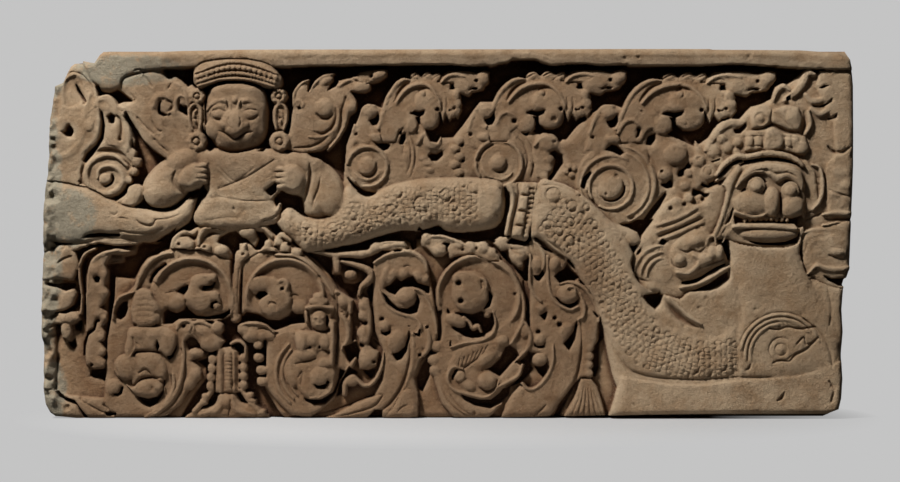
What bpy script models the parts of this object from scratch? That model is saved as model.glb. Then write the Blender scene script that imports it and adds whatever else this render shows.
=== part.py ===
"""Carved stone lintel: a bird man holds a many headed serpent under a plain lip, with leaves above and
scrolls below. One closed solid, metres, +Z up, the carved face towards -Y, its foot on Z = 0."""
import math

import bmesh
import bpy
import numpy as np

# Sizes in metres
LENGTH = 1.222          # along X
HEIGHT = 0.556          # along Z
THICKNESS = 0.170       # along Y, from the back to the highest carving
RELIEF_DEPTH = 0.050    # from the plane of the lip back to the ground of the carving
ARRIS_SETBACK = 0.012   # how far behind the face the worn edges end

# The carving is laid out on a face of this size in mm, then fitted to LENGTH and HEIGHT.
# Its heights run from 0 at the ground to LIP_LEVEL at the lip and HIGHEST at the great head's nose.
DESIGN_LENGTH = 1222.0
DESIGN_HEIGHT = 556.0
LIP_LEVEL = 50.0
HIGHEST = 64.0
GROUND_LEVEL = 16.0     # the shallow ground behind the leaves; it drops to 0 below the lip
RASTER_STEP = 3.0       # mm between samples of the carving
MESH_STEP = 3.0         # mm between vertices before the mesh is thinned
FACE_TRIANGLES = 9600   # about how many triangles stay after thinning
STONE_COLOUR = (0.33, 0.24, 0.17, 1.0)


def start_empty():
    for old in list(bpy.data.objects):
        bpy.data.objects.remove(old, do_unlink=True)


def smooth_curve(points, closed=False, per_span=7):
    """A Catmull-Rom curve through the points, as many rows as it needs."""
    p = np.asarray(points, float)
    if len(p) < 3 and not closed:
        return p
    n = len(p)
    spans = n if closed else n - 1
    rows = []
    for i in range(spans):
        if closed:
            a, b, c, d = p[i - 1], p[i], p[(i + 1) % n], p[(i + 2) % n]
        else:
            b, c = p[i], p[i + 1]
            a = p[i - 1] if i else 2 * b - c
            d = p[i + 2] if i + 2 < n else 2 * c - b
        for k in range(per_span):
            t = k / per_span
            first = (c - a) * t
            second = (2 * a - 5 * b + 4 * c - d) * t**2
            third = (3 * b - a - 3 * c + d) * t**3
            rows.append(0.5 * (2 * b + first + second + third))
    if not closed:
        rows.append(p[-1])
    return np.array(rows)


def blur(h, sigma):
    """Gaussian blur of the height field; sigma in cells."""
    if sigma <= 0:
        return h
    r = int(3 * sigma + 1)
    k = np.exp(-0.5 * (np.arange(-r, r + 1) / sigma) ** 2)
    k /= k.sum()
    out = np.pad(h, ((r, r), (0, 0)), mode="edge")
    out = sum(k[i] * out[i:i + h.shape[0]] for i in range(2 * r + 1))
    out = np.pad(out, ((0, 0), (r, r)), mode="edge")
    return sum(k[i] * out[:, i:i + h.shape[1]] for i in range(2 * r + 1))


def noise(shape, cell, rng):
    """Smooth value noise in -1..1 whose features are about `cell` cells wide."""
    ny, nx = int(shape[0] / cell) + 3, int(shape[1] / cell) + 3
    g = rng.uniform(-1, 1, (ny, nx))
    y, x = np.arange(shape[0]) / cell, np.arange(shape[1]) / cell
    yi, xi = y.astype(int), x.astype(int)
    fy, fx = y - yi, x - xi
    fy, fx = (fy * fy * (3 - 2 * fy))[:, None], (fx * fx * (3 - 2 * fx))[None]
    a, b = g[yi][:, xi], g[yi][:, xi + 1]
    c, d = g[yi + 1][:, xi], g[yi + 1][:, xi + 1]
    return (a * (1 - fx) + b * fx) * (1 - fy) + (c * (1 - fx) + d * fx) * fy


# Cross sections: how far below the crest, as a share of the drop, at s = -1 (right of the path) .. 1 (left)
def round_section(s):
    return 1 - np.sqrt(np.clip(1 - s * s, 0, 1))


def flat_section(s):
    e = np.clip((np.abs(s) - 0.72) / 0.28, 0, 1)
    return e * e


def hollow_section(s):
    a = np.abs(s)
    return np.where(a < 0.74, 1 - (a / 0.74) ** 2, 0.5 * ((a - 0.74) / 0.26) ** 2)


def left_rim(s):
    """Highest at the left edge, falling in a hollow to the right one."""
    u = (s + 1) / 2
    return np.where(u < 0.86, 1 - (u / 0.86) ** 2.2, 0.4 * ((u - 0.86) / 0.14) ** 2)


def right_rim(s):
    return left_rim(-s)


def worn_section(s):
    return np.abs(s) ** 3


def ridge_section(s):
    return np.abs(s)


SECTIONS = {"round": round_section, "flat": flat_section, "hollow": hollow_section, "left": left_rim,
            "right": right_rim, "worn": worn_section, "ridge": ridge_section}


class Relief:
    def __init__(self, step, margin=6.0):
        self.step, self.margin = step, margin
        self.nx = int(round((DESIGN_LENGTH + 2 * margin) / step)) + 1
        self.nz = int(round((DESIGN_HEIGHT + 2 * margin) / step)) + 1
        self.x = np.arange(self.nx) * step - margin
        self.z = np.arange(self.nz) * step - margin
        self.h = np.zeros((self.nz, self.nx))

    def window(self, x0, z0, x1, z1):
        i0 = max(0, int((x0 + self.margin) / self.step))
        i1 = min(self.nx, int((x1 + self.margin) / self.step) + 2)
        j0 = max(0, int((z0 + self.margin) / self.step))
        j1 = min(self.nz, int((z1 + self.margin) / self.step) + 2)
        return slice(j0, max(j1, j0)), slice(i0, max(i1, i0))

    def apply(self, win, inside, value, mode):
        h = self.h[win]
        if mode == "raise":
            h[inside] = np.maximum(h[inside], value[inside])
        elif mode == "set":
            h[inside] = value[inside]
        elif mode == "cut":
            h[inside] = np.minimum(h[inside], value[inside])
        elif mode == "add":
            h[inside] += value[inside]

    def along(self, path, half):
        """Window, distance to the path, place along it 0..1 and side, for cells within half of it."""
        seg = np.diff(path, axis=0)
        lengths = np.hypot(seg[:, 0], seg[:, 1])
        keep = lengths > 1e-9
        starts, seg, lengths = path[:-1][keep], seg[keep], lengths[keep]
        cum = np.concatenate([[0], np.cumsum(lengths)])
        total = cum[-1]
        r = half + self.step
        lo, hi = path.min(0) - r, path.max(0) + r
        win = self.window(lo[0], lo[1], hi[0], hi[1])
        x, z = self.x[win[1]], self.z[win[0]]
        d = np.full((len(z), len(x)), 1e9)
        t = np.zeros_like(d)
        side = np.ones_like(d)
        for p, v, length, c in zip(starts, seg, lengths, cum):
            q = p + v
            i0 = np.searchsorted(x, min(p[0], q[0]) - r)
            i1 = np.searchsorted(x, max(p[0], q[0]) + r)
            j0 = np.searchsorted(z, min(p[1], q[1]) - r)
            j1 = np.searchsorted(z, max(p[1], q[1]) + r)
            dx, dz = x[i0:i1][None] - p[0], z[j0:j1][:, None] - p[1]
            u = np.clip((dx * v[0] + dz * v[1]) / length**2, 0, 1)
            ex, ez = dx - u * v[0], dz - u * v[1]
            dist = np.hypot(ex, ez)
            sub = (slice(j0, j1), slice(i0, i1))
            better = dist < d[sub]
            d[sub][better] = dist[better]
            t[sub][better] = ((c + u * length) / total)[better]
            side[sub][better] = np.sign(v[0] * dz - v[1] * dx + 1e-12)[better]
        return win, d, t, side

    def stroke(self, points, width, crest, drop=6.0, section="worn", mode="raise", smooth=True):
        """A band along a curve. width, crest and drop are one number, or one for each point."""
        path = smooth_curve(points) if smooth else np.asarray(points, float)
        half = np.atleast_1d(np.asarray(width, float)) / 2
        win, d, t, side = self.along(path, half.max())
        w = self.spread(half, t, points)
        inside = d < w
        s = np.clip(d / np.maximum(w, 1e-6), 0, 1) * side
        fall = self.spread(drop, t, points) * SECTIONS[section](s)
        value = self.spread(crest, t, points) - fall
        self.apply(win, inside, value, mode)

    @staticmethod
    def spread(values, t, points):
        values = np.atleast_1d(np.asarray(values, float))
        if len(values) == 1:
            return np.full_like(t, values[0])
        if len(values) == len(points):
            p = np.asarray(points, float)
            seg = np.hypot(*np.diff(p, axis=0).T)
            at = np.concatenate([[0], np.cumsum(seg)]) / seg.sum()
        else:
            at = np.linspace(0, 1, len(values))
        return np.interp(t, at, values)

    def cap(self, x, z, r, crest, drop=None, mode="raise", tilt=0.0, section="round"):
        """A rounded boss. r is a radius or (half length, half width); tilt turns it, in degrees."""
        rx, rz = (r, r) if np.isscalar(r) else r
        drop = min(rx, rz) * 0.8 if drop is None else drop
        reach = max(rx, rz) + self.step
        win = self.window(x - reach, z - reach, x + reach, z + reach)
        dx, dz = self.x[win[1]][None] - x, self.z[win[0]][:, None] - z
        c, s = math.cos(math.radians(tilt)), math.sin(math.radians(tilt))
        u, v = (dx * c + dz * s) / rx, (-dx * s + dz * c) / rz
        rho = np.hypot(u, v)
        value = crest - drop * SECTIONS[section](np.clip(rho, 0, 1))
        self.apply(win, rho < 1, value, mode)

    def inside(self, path, win):
        x, z = self.x[win[1]][None], self.z[win[0]][:, None]
        odd = np.zeros((z.shape[0], x.shape[1]), bool)
        for (ax, az), (bx, bz) in zip(path, np.roll(path, -1, axis=0)):
            if az == bz:
                continue
            cross = ((az > z) != (bz > z)) & (x < (bx - ax) * (z - az) / (bz - az) + ax)
            odd ^= cross
        return odd

    def patch(self, points, crest, drop=6.0, edge=8.0, section="round", mode="raise", smooth=True,
              lean=(0, 0)):
        """A closed shape, rounded over within `edge` of its outline. lean raises it to one side."""
        path = smooth_curve(points, closed=True) if smooth else np.asarray(points, float)
        ring = np.vstack([path, path[:1]])
        win, d, _, _ = self.along(ring, edge + 1)
        inside = self.inside(path, win)
        s = 1 - np.clip(d / edge, 0, 1)
        value = crest - drop * SECTIONS[section](s)
        if lean != (0, 0):
            cx, cz = path.mean(0)
            value = value + lean[0] * (self.x[win[1]][None] - cx) + lean[1] * (self.z[win[0]][:, None] - cz)
        self.apply(win, inside, value, mode)

    def groove(self, points, width, depth, smooth=True):
        """A V-shaped cut with soft shoulders along a curve."""
        path = smooth_curve(points) if smooth else np.asarray(points, float)
        half = np.atleast_1d(np.asarray(width, float)) / 2
        win, d, t, _ = self.along(path, half.max())
        w = self.spread(half, t, points)
        s = np.clip(d / np.maximum(w, 1e-6), 0, 1)
        deep = np.minimum(self.spread(depth, t, points), 2.2 * w)
        self.apply(win, d < w, -deep * (1 - s * s), "add")

    def dish(self, x, z, radius, crest, floor, rim=4.0, wall=9.0, start=0, end=360):
        """A thin round rim, there between two angles only, about a hollow that levels out."""
        reach = radius + rim + self.step
        win = self.window(x - reach, z - reach, x + reach, z + reach)
        dx, dz = self.x[win[1]][None] - x, self.z[win[0]][:, None] - z
        rho = np.hypot(dx, dz)
        turn = (np.degrees(np.arctan2(dz, dx)) - end) % 360
        span = (start - end) % 360 or 360
        there = np.clip(np.minimum(turn, span - turn) / 14, 0, 1)
        hollow = floor + 5 * np.clip((radius - wall - rho) / radius, 0, 1)
        steep = np.clip((rho - radius + wall) / wall, 0, 1) ** 1.6
        value = hollow + (crest - floor) * steep * there + 6 * steep * (1 - there)
        over = np.clip((rho - radius) / rim, 0, 1)
        value = value - 9 * over * over
        self.apply(win, rho < radius - rim / 2, value, "set")
        self.apply(win, (rho < radius + rim) & (there > 0), value, "raise")

    def gap(self, points, floor=0.0, wall=4.0, smooth=False):
        """A pocket cut down to `floor`, its sides sloping in over `wall`."""
        self.patch(points, floor, -50, wall, "ridge", "cut", smooth)

    def drill(self, x, z, r, depth):
        """A drilled pit."""
        self.cap(x, z, r, -depth, -depth, mode="add")

    def pearls(self, points, count, r, crest, drop=None, smooth=True):
        """Equal beads along a curve."""
        path = smooth_curve(points) if smooth else np.asarray(points, float)
        seg = np.hypot(*np.diff(path, axis=0).T)
        at = np.concatenate([[0], np.cumsum(seg)])
        for a in np.linspace(0, at[-1], count):
            x, z = np.interp(a, at, path[:, 0]), np.interp(a, at, path[:, 1])
            self.cap(x, z, r, crest, drop)


def arc(x, z, r, a0, a1, n=9, rz=None):
    """Points on an arc, from angle a0 to a1 in degrees."""
    a = np.radians(np.linspace(a0, a1, n))
    return np.stack([x + r * np.cos(a), z + (r if rz is None else rz) * np.sin(a)], 1)


def corner_leaf(r):
    """Weathered leaf in the upper left corner, below the broken end of the lip."""
    r.patch([(-8, 240), (-5, 460), (14, 530), (85, 536), (95, 560), (240, 560), (240, 526), (185, 526),
             (188, 508), (165, 470), (140, 420), (135, 370), (128, 330), (60, 300)], 41, 8, 14)
    r.patch([(70, 565), (70, 517), (86, 500), (100, 494), (118, 499), (124, 512), (150, 522), (182, 526),
             (240, 530), (240, 565)], 47, 5, 7)
    r.patch([(34, 505), (36, 470), (52, 470), (64, 480), (62, 505), (48, 516)], 37, -4, 8, mode="set")
    r.stroke([(20, 390), (45, 400), (60, 425), (66, 470), (74, 490)], [14, 16, 14, 10, 6], 43, 4)
    r.gap([(23, 434), (32, 433), (36, 441), (41, 445), (48, 437), (51, 428), (47, 422), (36, 423),
           (29, 430)], 4)
    r.cap(70, 441, 9, 45, 4)
    r.stroke([(80, 476), (95, 483), (107, 475), (111, 462), (104, 455)], [8, 14, 14, 12, 8], 44, 7)
    r.gap([(70, 509), (77, 503), (86, 503), (90, 495), (100, 492), (113, 498), (124, 491), (140, 478),
           (134, 475), (122, 474), (112, 470), (104, 482), (84, 484), (78, 492)], 0, 5)
    r.gap([(90, 458), (99, 452), (104, 460), (110, 459), (108, 446), (103, 442)], 10)
    r.stroke([(103, 445), (105, 430), (108, 412)], [14, 24, 26], 44, 5)
    r.stroke([(124, 462), (128, 440), (131, 420), (128, 404)], [10, 12, 10, 8], 44, 6)
    r.gap([(134, 426), (139, 409), (131, 403), (133, 411)], 6, 3)
    r.stroke([(48, 455), (52, 430), (30, 400)], 10, 40, 4)


def left_volute(r):
    """Snail curl above the serpent's stump, a deep crescent below it."""
    r.gap([(76, 352), (84, 340), (98, 332), (112, 326), (124, 334), (140, 352), (152, 372), (158, 392),
           (156, 408), (148, 400), (146, 384), (136, 364), (122, 350), (104, 342), (88, 344)], 0, 3)
    r.patch([*arc(98, 368, 44, 20, 215, 16), (70, 340), (126, 350), (140, 384)], 34, 7, 6, mode="set",
            smooth=False)
    r.stroke(arc(98, 368, 42, 30, 190, 12), [4, 6, 7, 7, 5], 41, 5)
    r.cap(97, 364, 33, 36, 6, mode="set", section="flat")
    r.stroke([(128, 380), (112, 394), (92, 396), (72, 384), (66, 362), (78, 344), (98, 338), (116, 346),
              (122, 362), (114, 376), (98, 380), (86, 374), (84, 362)],
             [4, 6, 8, 8, 9, 10, 10, 9, 8, 7, 6, 5, 4], 43, 6)
    r.cap(96, 360, (10, 9), 44, 7)
    r.gap([(104, 370), (110, 362), (106, 352), (96, 348), (88, 351), (96, 352), (103, 358)], 14, 2, True)
    r.gap([(61, 385), (64, 396), (73, 404), (83, 414), (80, 402), (70, 393)], 4, 3)
    for x, z, size in ((134, 398, 9), (142, 386, 8), (138, 372, 7), (130, 358, 6)):
        r.cap(x, z, size, 41, 6)
    r.patch([(126, 335), (129, 347), (138, 353), (148, 352), (154, 344), (150, 328), (136, 318),
             (118, 322)], 42, 8, 6)
    r.stroke([(60, 348), (84, 330), (108, 316), (130, 312)], [10, 14, 16, 16], 42, 6)


def back_leaf(r):
    """Large leaf that rises behind the head on its left."""
    r.patch([(112, 470), (126, 458), (132, 446), (141, 438), (148, 420), (162, 406), (188, 390), (205, 396),
             (240, 408), (246, 470), (230, 500), (214, 506), (202, 516), (190, 512), (166, 522), (130, 516),
             (120, 508), (122, 496), (140, 480), (126, 474)], 45, 7, 9, mode="set")
    r.gap([(179, 526), (190, 512), (200, 514), (210, 508), (219, 497), (226, 503), (229, 530)], 0, 4)
    r.stroke([(168, 468), (172, 481), (182, 486), (193, 482), (199, 472)], [5, 9, 10, 8, 4], 48, 6)
    r.cap(182, 470, 7, 46, 5)
    r.stroke([(202, 466), (202, 478), (208, 486), (217, 482)], [4, 5, 5, 3], 48, 5)
    r.gap([(204, 470), (206, 480), (210, 480), (208, 474), (214, 471), (220, 473), (220, 462), (224, 451),
           (212, 458), (205, 463)], 8, 3)
    r.stroke([(220, 470), (216, 490), (206, 503)], [4, 6, 4], 48, 4)
    r.patch([(180, 445), (195, 458), (225, 448), (240, 425), (240, 410), (205, 402), (188, 412)], 42, -4,
            12, mode="set")


def rosette(r, x, z, size, crest=50):
    """A flower of eight petals round a bead."""
    r.cap(x, z, size * 1.1, crest - 6, 8, section="flat")
    for px, pz in arc(x, z, size * 0.68, 0, 315, 8):
        r.cap(px, pz, size * 0.3, crest, 4)
    r.cap(x, z, size * 0.28, crest + 2, 3)


def headdress(r):
    """Band of beads and petals round the brow."""
    r.patch([(228, 522), (240, 535), (262, 540), (290, 542), (318, 540), (344, 532), (360, 516), (361, 500),
             (348, 496), (330, 499), (312, 504), (290, 507), (266, 505), (250, 500), (238, 496),
             (230, 504)], 51, 8, 7, mode="set")
    line = [(236, 500), (250, 504), (268, 509), (290, 511), (314, 509), (334, 504), (350, 499)]
    rows = [[(292 + (x - 292) * (1 + lift / 400), z + lift * (1 - abs(x - 292) / 260)) for x,
             z in line] for lift in (0, 8, 17, 26)]
    r.stroke(rows[0], 5, 55, 4)
    r.pearls(rows[1], 24, (2.7, 3.4), 56, 4)
    r.pearls(rows[2], 16, (4.0, 4.0), 56, 4)
    r.pearls(rows[3], 32, (1.9, 2.4), 54, 3)
    r.cap(234, 512, (7, 12), 50, 6)
    r.cap(356, 508, (7, 10), 50, 6)


def head(r):
    """Broad mask of the bird man: heavy brows, bulging eyes, a short hooked beak over a thin mouth."""
    r.patch([(246, 455), (246, 480), (252, 498), (268, 506), (292, 508), (318, 505), (334, 497), (340, 478),
             (341, 448), (337, 424), (324, 408), (304, 401), (282, 400), (264, 407), (252, 424),
             (247, 440)], 56, 34, 26, mode="set")
    r.cap(291, 492, (36, 12), 56, 5)
    # brows that run up from the beak and out over the eyes
    for side in (-1, 1):
        r.stroke([(291 + 6 * side, 466), (291 + 10 * side, 476), (291 + 22 * side, 478),
                  (291 + 34 * side, 473), (291 + 42 * side, 464)], [6, 8, 9, 8, 4], [60, 60, 58, 55, 48], 5)
        r.stroke([(291 + 14 * side, 466), (291 + 20 * side, 470), (291 + 31 * side, 467),
                  (291 + 38 * side, 458)], [4, 5, 5, 4], [56, 57, 56, 50], 4)
        # the eyeball with its heavy upper lid
        r.cap(291 + 24 * side, 458, (12, 9.5), 58, 8, tilt=-8 * side)
        r.cap(291 + 31 * side, 436, (14, 16), 51, 7)
    r.cap(291, 479, (5, 6), 60, 4)
    # beak
    r.patch([(286, 468), (296, 468), (300, 458), (309, 450), (315, 441), (311, 433), (301, 429), (291, 423),
             (281, 429), (271, 433), (267, 441), (273, 450), (282, 458)], 62, 12, 18)
    r.cap(291, 446, (22, 24), 64, 15)
    r.cap(291, 434, (13, 9), 64, 7)
    for side in (-1, 1):
        r.cap(291 + 15 * side, 442, (8, 7), 61, 6)
    # ears with their rosettes and pendants
    r.gap([(343, 494), (348, 490), (347, 440), (342, 410), (334, 400), (322, 401), (334, 410), (340, 430)],
          10, 3)
    r.gap([(240, 490), (244, 488), (244, 440), (250, 420), (262, 405), (252, 400), (243, 409), (239, 440)],
          12, 3)
    for x, side in ((359, 1), (232, -1)):
        r.cap(x, 456, (13, 22), 40, 8, mode="set")
        r.stroke([(x - 6 * side, 436), (x - 8 * side, 452), (x - 6 * side, 468), (x + 2 * side, 473),
                  (x + 9 * side, 466), (x + 10 * side, 450), (x + 5 * side, 434)], [5, 6, 6, 5, 5, 5, 4],
                 48, 5)
        r.stroke([(x - side, 464), (x + 3 * side, 458), (x, 446)], [3, 4, 3], 47, 3)
        rosette(r, x - 2 * side, 485, 12)
        rosette(r, x - side, 417, 15)


def bird_man_body(r):
    """Shoulders, arms that clutch the serpent, belly and waist cloth."""
    r.patch([(214, 396), (240, 407), (300, 407), (348, 406), (374, 396), (376, 372), (362, 346), (350, 332),
             (352, 322), (360, 312), (358, 298), (340, 290), (300, 284), (256, 286), (232, 292), (228, 306),
             (238, 326), (244, 346), (238, 366), (220, 378)], 47, 16, 18, mode="set")
    # chest and belly
    r.cap(294, 384, (60, 24), 51, 6)
    r.patch([(262, 345), (276, 352), (300, 362), (326, 379), (348, 392), (364, 380), (362, 356), (350, 338),
             (326, 330), (300, 332), (276, 334)], 50, 8, 18)
    r.cap(294, 326, (40, 18), 50, 9)
    r.stroke([(330, 300), (346, 306), (356, 314), (358, 322)], [6, 10, 9, 5], 48, 6)
    # arm on the left
    r.patch([(150, 345), (156, 364), (172, 382), (196, 398), (220, 405), (244, 402), (250, 388), (240, 380),
             (232, 360), (222, 342), (210, 328), (196, 318), (178, 316), (162, 324)], 52, 30, 26)
    r.cap(212, 388, (26, 17), 55, 12, tilt=20)
    r.cap(184, 342, (32, 24), 55, 16, tilt=25)
    r.patch([(204, 352), (206, 368), (216, 380), (230, 386), (242, 382), (248, 370), (246, 356), (236, 346),
             (220, 342)], 60, 18, 13)
    r.gap([(213, 334), (222, 342), (232, 348), (246, 350), (252, 342), (248, 332), (240, 327), (232, 330),
           (226, 328)], 10, 4)
    for z in (381, 373, 365, 357):
        r.cap(243, z, (7, 4.4), 57, 5)
    # arm on the right
    r.patch([(345, 402), (372, 402), (400, 396), (428, 384), (448, 366), (456, 344), (452, 324), (438, 308),
             (418, 300), (402, 303), (390, 316), (384, 334), (366, 345), (350, 372)], 52, 30, 26)
    r.cap(398, 384, (30, 16), 55, 12, tilt=-20)
    r.cap(430, 338, (24, 34), 55, 16, tilt=15)
    r.gap([(334, 344), (340, 336), (346, 333), (354, 340), (358, 350), (352, 358), (344, 352)], 14, 3)
    r.gap([(358, 341), (368, 334), (380, 320), (394, 304), (398, 312), (394, 334), (386, 338), (370, 342)],
          8, 4)
    r.groove([(404, 384), (405, 364), (401, 344), (396, 328)], [3, 7, 8, 6], 8)
    r.patch([(357, 350), (358, 370), (368, 383), (386, 384), (399, 370), (397, 350), (384, 337),
             (367, 340)], 60, 18, 13)
    for z in (375, 366, 357, 348):
        r.cap(360, z, (7, 4.6), 57, 5)


def right_leaf(r):
    """Leaf to the right of the head, its long tip under the lip."""
    r.gap([(372, 520), (404, 524), (520, 532), (540, 516), (520, 486), (500, 478), (486, 474), (474, 440),
           (462, 446), (456, 426), (440, 400), (424, 388), (406, 392), (396, 400), (372, 402), (366, 440),
           (370, 490)], 0, 4)
    r.patch([(366, 404), (378, 470), (380, 490), (390, 505), (403, 511), (402, 494), (414, 509), (426, 517),
             (440, 521), (440, 508), (452, 512), (471, 515), (478, 522), (498, 526), (521, 527), (521, 516),
             (510, 508), (496, 504), (492, 494), (480, 490), (466, 492), (474, 480), (474, 466), (464, 454),
             (458, 436), (442, 414), (420, 402), (392, 398)], 37, 9, 4, mode="set", smooth=False)
    r.stroke([(378, 472), (380, 490), (390, 504), (402, 510)], [4, 6, 6, 4], 41, 5)
    r.cap(392, 492, (9, 14), 40, 5, tilt=-20)
    r.stroke([(404, 492), (412, 506), (426, 516), (439, 519)], [4, 6, 7, 5], 41, 5)
    r.cap(428, 509, (12, 7), 42, 6, tilt=25)
    r.gap([(399, 492), (402, 490), (405, 504), (402, 508)], 4, 2)
    r.gap([(427, 488), (432, 494), (443, 500), (448, 508), (441, 511), (434, 504)], 2, 2)
    r.stroke([(381, 468), (380, 476), (388, 480), (394, 474), (390, 467)], [3, 5, 5, 5, 3], 41, 4)
    r.gap([(383, 468), (388, 472), (392, 467), (387, 463)], 10, 2)
    r.cap(426, 468, (14, 15), 45, 10)
    r.stroke([(402, 424), (420, 424), (440, 436), (447, 454), (444, 474), (436, 484)], [3, 5, 6, 6, 5, 3],
             41, 4)
    r.groove([(410, 432), (424, 428), (437, 437), (443, 452), (443, 468)], [3, 7, 7, 5, 3], 20)
    r.stroke([(430, 404), (446, 422), (457, 444), (460, 464), (464, 476), (471, 476)], [3, 5, 6, 7, 10, 7],
             41, 5)
    r.cap(467, 470, (8, 11), 43, 7)
    r.stroke([(446, 500), (458, 508), (472, 512), (482, 508)], [5, 7, 7, 5], 41, 5)
    r.cap(482, 499, (14, 9), 42, 6)
    r.cap(508, 518, (13, 8), 43, 6, tilt=20)
    r.gap([(484, 507), (492, 505), (500, 508), (498, 502), (488, 503)], 12, 2)



def left_hollows(r):
    """Deep hollows between the leaves at the left, and the rims beside them."""
    r.gap([(87, 466), (92, 462), (96, 440), (93, 420), (86, 408), (78, 398), (66, 384), (60, 387),
           (66, 400), (80, 413), (87, 426), (89, 445)], 4, 2)
    r.gap([(126, 464), (136, 449), (144, 434), (153, 419), (168, 404), (189, 390), (185, 381), (162, 388),
           (148, 404), (138, 422), (132, 438), (123, 454)], 0, 2)
    r.stroke([(124, 474), (133, 456), (146, 436), (157, 420), (172, 406), (190, 394)], [4, 6, 7, 6, 5, 3],
             45, 5)
    r.stroke([(64, 518), (78, 500), (84, 476), (86, 452), (84, 430), (74, 414), (62, 402)],
             [4, 6, 6, 6, 6, 5, 3], 44, 5)
    r.gap([(49, 504), (53, 503), (60, 491), (68, 478), (65, 474), (58, 482), (51, 494)], 16, 2)
    r.stroke([(80, 470), (88, 482), (100, 484), (110, 474), (113, 460)], [4, 7, 8, 7, 5], 45, 6)
    r.gap([(97, 456), (104, 460), (111, 456), (109, 444), (102, 443)], 2, 2)
    r.cap(128, 408, (7, 8), 42, 6)
    r.stroke([(168, 456), (165, 474), (176, 488), (192, 487), (200, 472)], [4, 6, 7, 6, 3], 47, 5)
    r.gap([(173, 468), (176, 478), (184, 481), (180, 474), (180, 462), (190, 458), (197, 464), (195, 456),
           (182, 453), (174, 458)], 22, 2)
    r.cap(186, 468, 8, 46, 6)


def lip(r):
    r.patch([(176, 575), (178, 527), (230, 529), (350, 528), (400, 530), (470, 531), (560, 533), (620, 532),
             (655, 529), (675, 529), (690, 534), (702, 536), (710, 541), (722, 540), (735, 541), (745, 540),
             (755, 535), (768, 531), (790, 533), (815, 534), (840, 531), (900, 531), (960, 531),
             (1000, 531), (1040, 533), (1080, 531), (1120, 528), (1160, 526), (1180, 525), (1240, 525),
             (1240, 575)], 50, 3, 2.5, smooth=False)


def foliage_ground(r):
    """The lit ground behind the leaves, and the mass that they grow from."""
    r.patch([(452, 330), (458, 412), (468, 440), (486, 470), (507, 470), (560, 450), (600, 424), (620, 424),
             (640, 450), (660, 478), (680, 478), (745, 430), (790, 420), (806, 440), (830, 462), (860, 474),
             (872, 470), (940, 430), (985, 410), (1015, 430), (1050, 452), (1070, 440), (1060, 380),
             (1010, 300), (900, 300), (840, 320), (800, 345), (740, 352), (640, 360), (540, 352),
             (480, 345)], 32, 6, 10, smooth=False)


def leaf_a(r):
    curled_leaf(r, 533, 477, 0.69)


def between_a_and_volutes(r):
    """Petals and a stem between the first two curls."""
    r.patch([(470, 420), (500, 440), (530, 440), (552, 448), (572, 436), (600, 428), (606, 400), (640, 430),
             (650, 366), (500, 340), (460, 380)], 34, 5, 6)
    r.gap([(533, 443), (540, 447), (545, 438), (542, 428), (536, 427)], 4, 3)
    r.stroke([(522, 434), (521, 444), (528, 451), (540, 450)], [5, 7, 7, 4], 41, 5)
    r.gap([(494, 420), (505, 415), (514, 418), (526, 412), (522, 405), (514, 402), (505, 410)], 2, 2)
    r.cap(506, 422, (13, 7), 42, 6, tilt=-15)
    r.stroke([(566, 414), (574, 426), (586, 430), (597, 424)], [5, 8, 8, 5], 41, 6)
    r.cap(588, 418, (14, 14), 44, 10)
    r.gap([(580, 396), (586, 401), (594, 400), (604, 406), (606, 396), (596, 386), (586, 386)], 2, 3)
    for x, z in ((574, 392), (580, 384), (584, 374)):
        r.cap(x, z, (7, 5), 38, 5)
    for x, z in ((628, 418), (622, 406), (629, 394), (622, 382), (628, 370)):
        r.cap(x, z, (8, 7), 40, 6)


def snail(r, x, z, radius, ball, turn):
    """Round curl: a thin rim, a shallow hollow and a big ball with a deep crescent beside it."""
    r.cap(x, z, radius + 3, 36, 6, mode="set", section="flat")
    r.stroke(arc(x, z, radius, turn, turn - 330, 20), [4, 5, 6, 6, 6, 6, 5, 4], 42, 5)
    r.stroke(arc(x, z, radius - 10, turn + 110, turn - 20, 12), [2, 4, 5, 4], 40, 4)
    r.cap(x, z, ball * 1.5, 39, 8)
    r.gap([*arc(x, z, ball * 1.16, -120, 10, 10), *arc(x - 0.14 * ball, z + 0.14 * ball, ball * 0.9, 10,
                                                       -120, 10)], 16, 3)
    r.cap(x, z, ball, 45, ball * 0.6)


def volutes(r):
    """Three snail curls that grow up from the serpent's back."""
    r.gap([(455, 368), (469, 346), (492, 333), (513, 341), (525, 358), (522, 378), (518, 362), (506, 350),
           (490, 346), (472, 354)], 0, 2)
    snail(r, 490, 379, 30, 15, 230)
    r.gap([(456, 380), (462, 384), (470, 386), (464, 378)], 10, 2)
    r.gap([(650, 412), (662, 419), (674, 417), (690, 420), (682, 412), (664, 410)], 4, 2)
    r.cap(668, 424, (13, 7), 42, 6)
    snail(r, 688, 384, 35, 13, 215)
    # the great curl
    r.patch(arc(866, 354, 64, 0, 340, 20), 36, 7, 7, smooth=False)
    for radius, crest in ((59, 41), (50, 40)):
        r.stroke(arc(864, 352, radius, 70, -70, 14), [3, 6, 7, 6, 3], crest, 5)
    r.stroke(arc(858, 350, 46, 195, 60, 12), [3, 5, 6, 4], 41, 5)
    r.gap([(811, 348), (815, 364), (826, 373), (831, 368), (822, 358), (818, 344)], 2, 2)
    snail(r, 857, 348, 33, 21, 210)
    r.gap([(846, 404), (856, 416), (868, 412), (880, 400), (872, 394), (860, 400)], 2, 3)
    r.cap(860, 420, (14, 7), 41, 6)
    for x, z in ((790, 372), (798, 366), (794, 380), (802, 376)):
        r.cap(x, z, 4.5, 38, 4)


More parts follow.
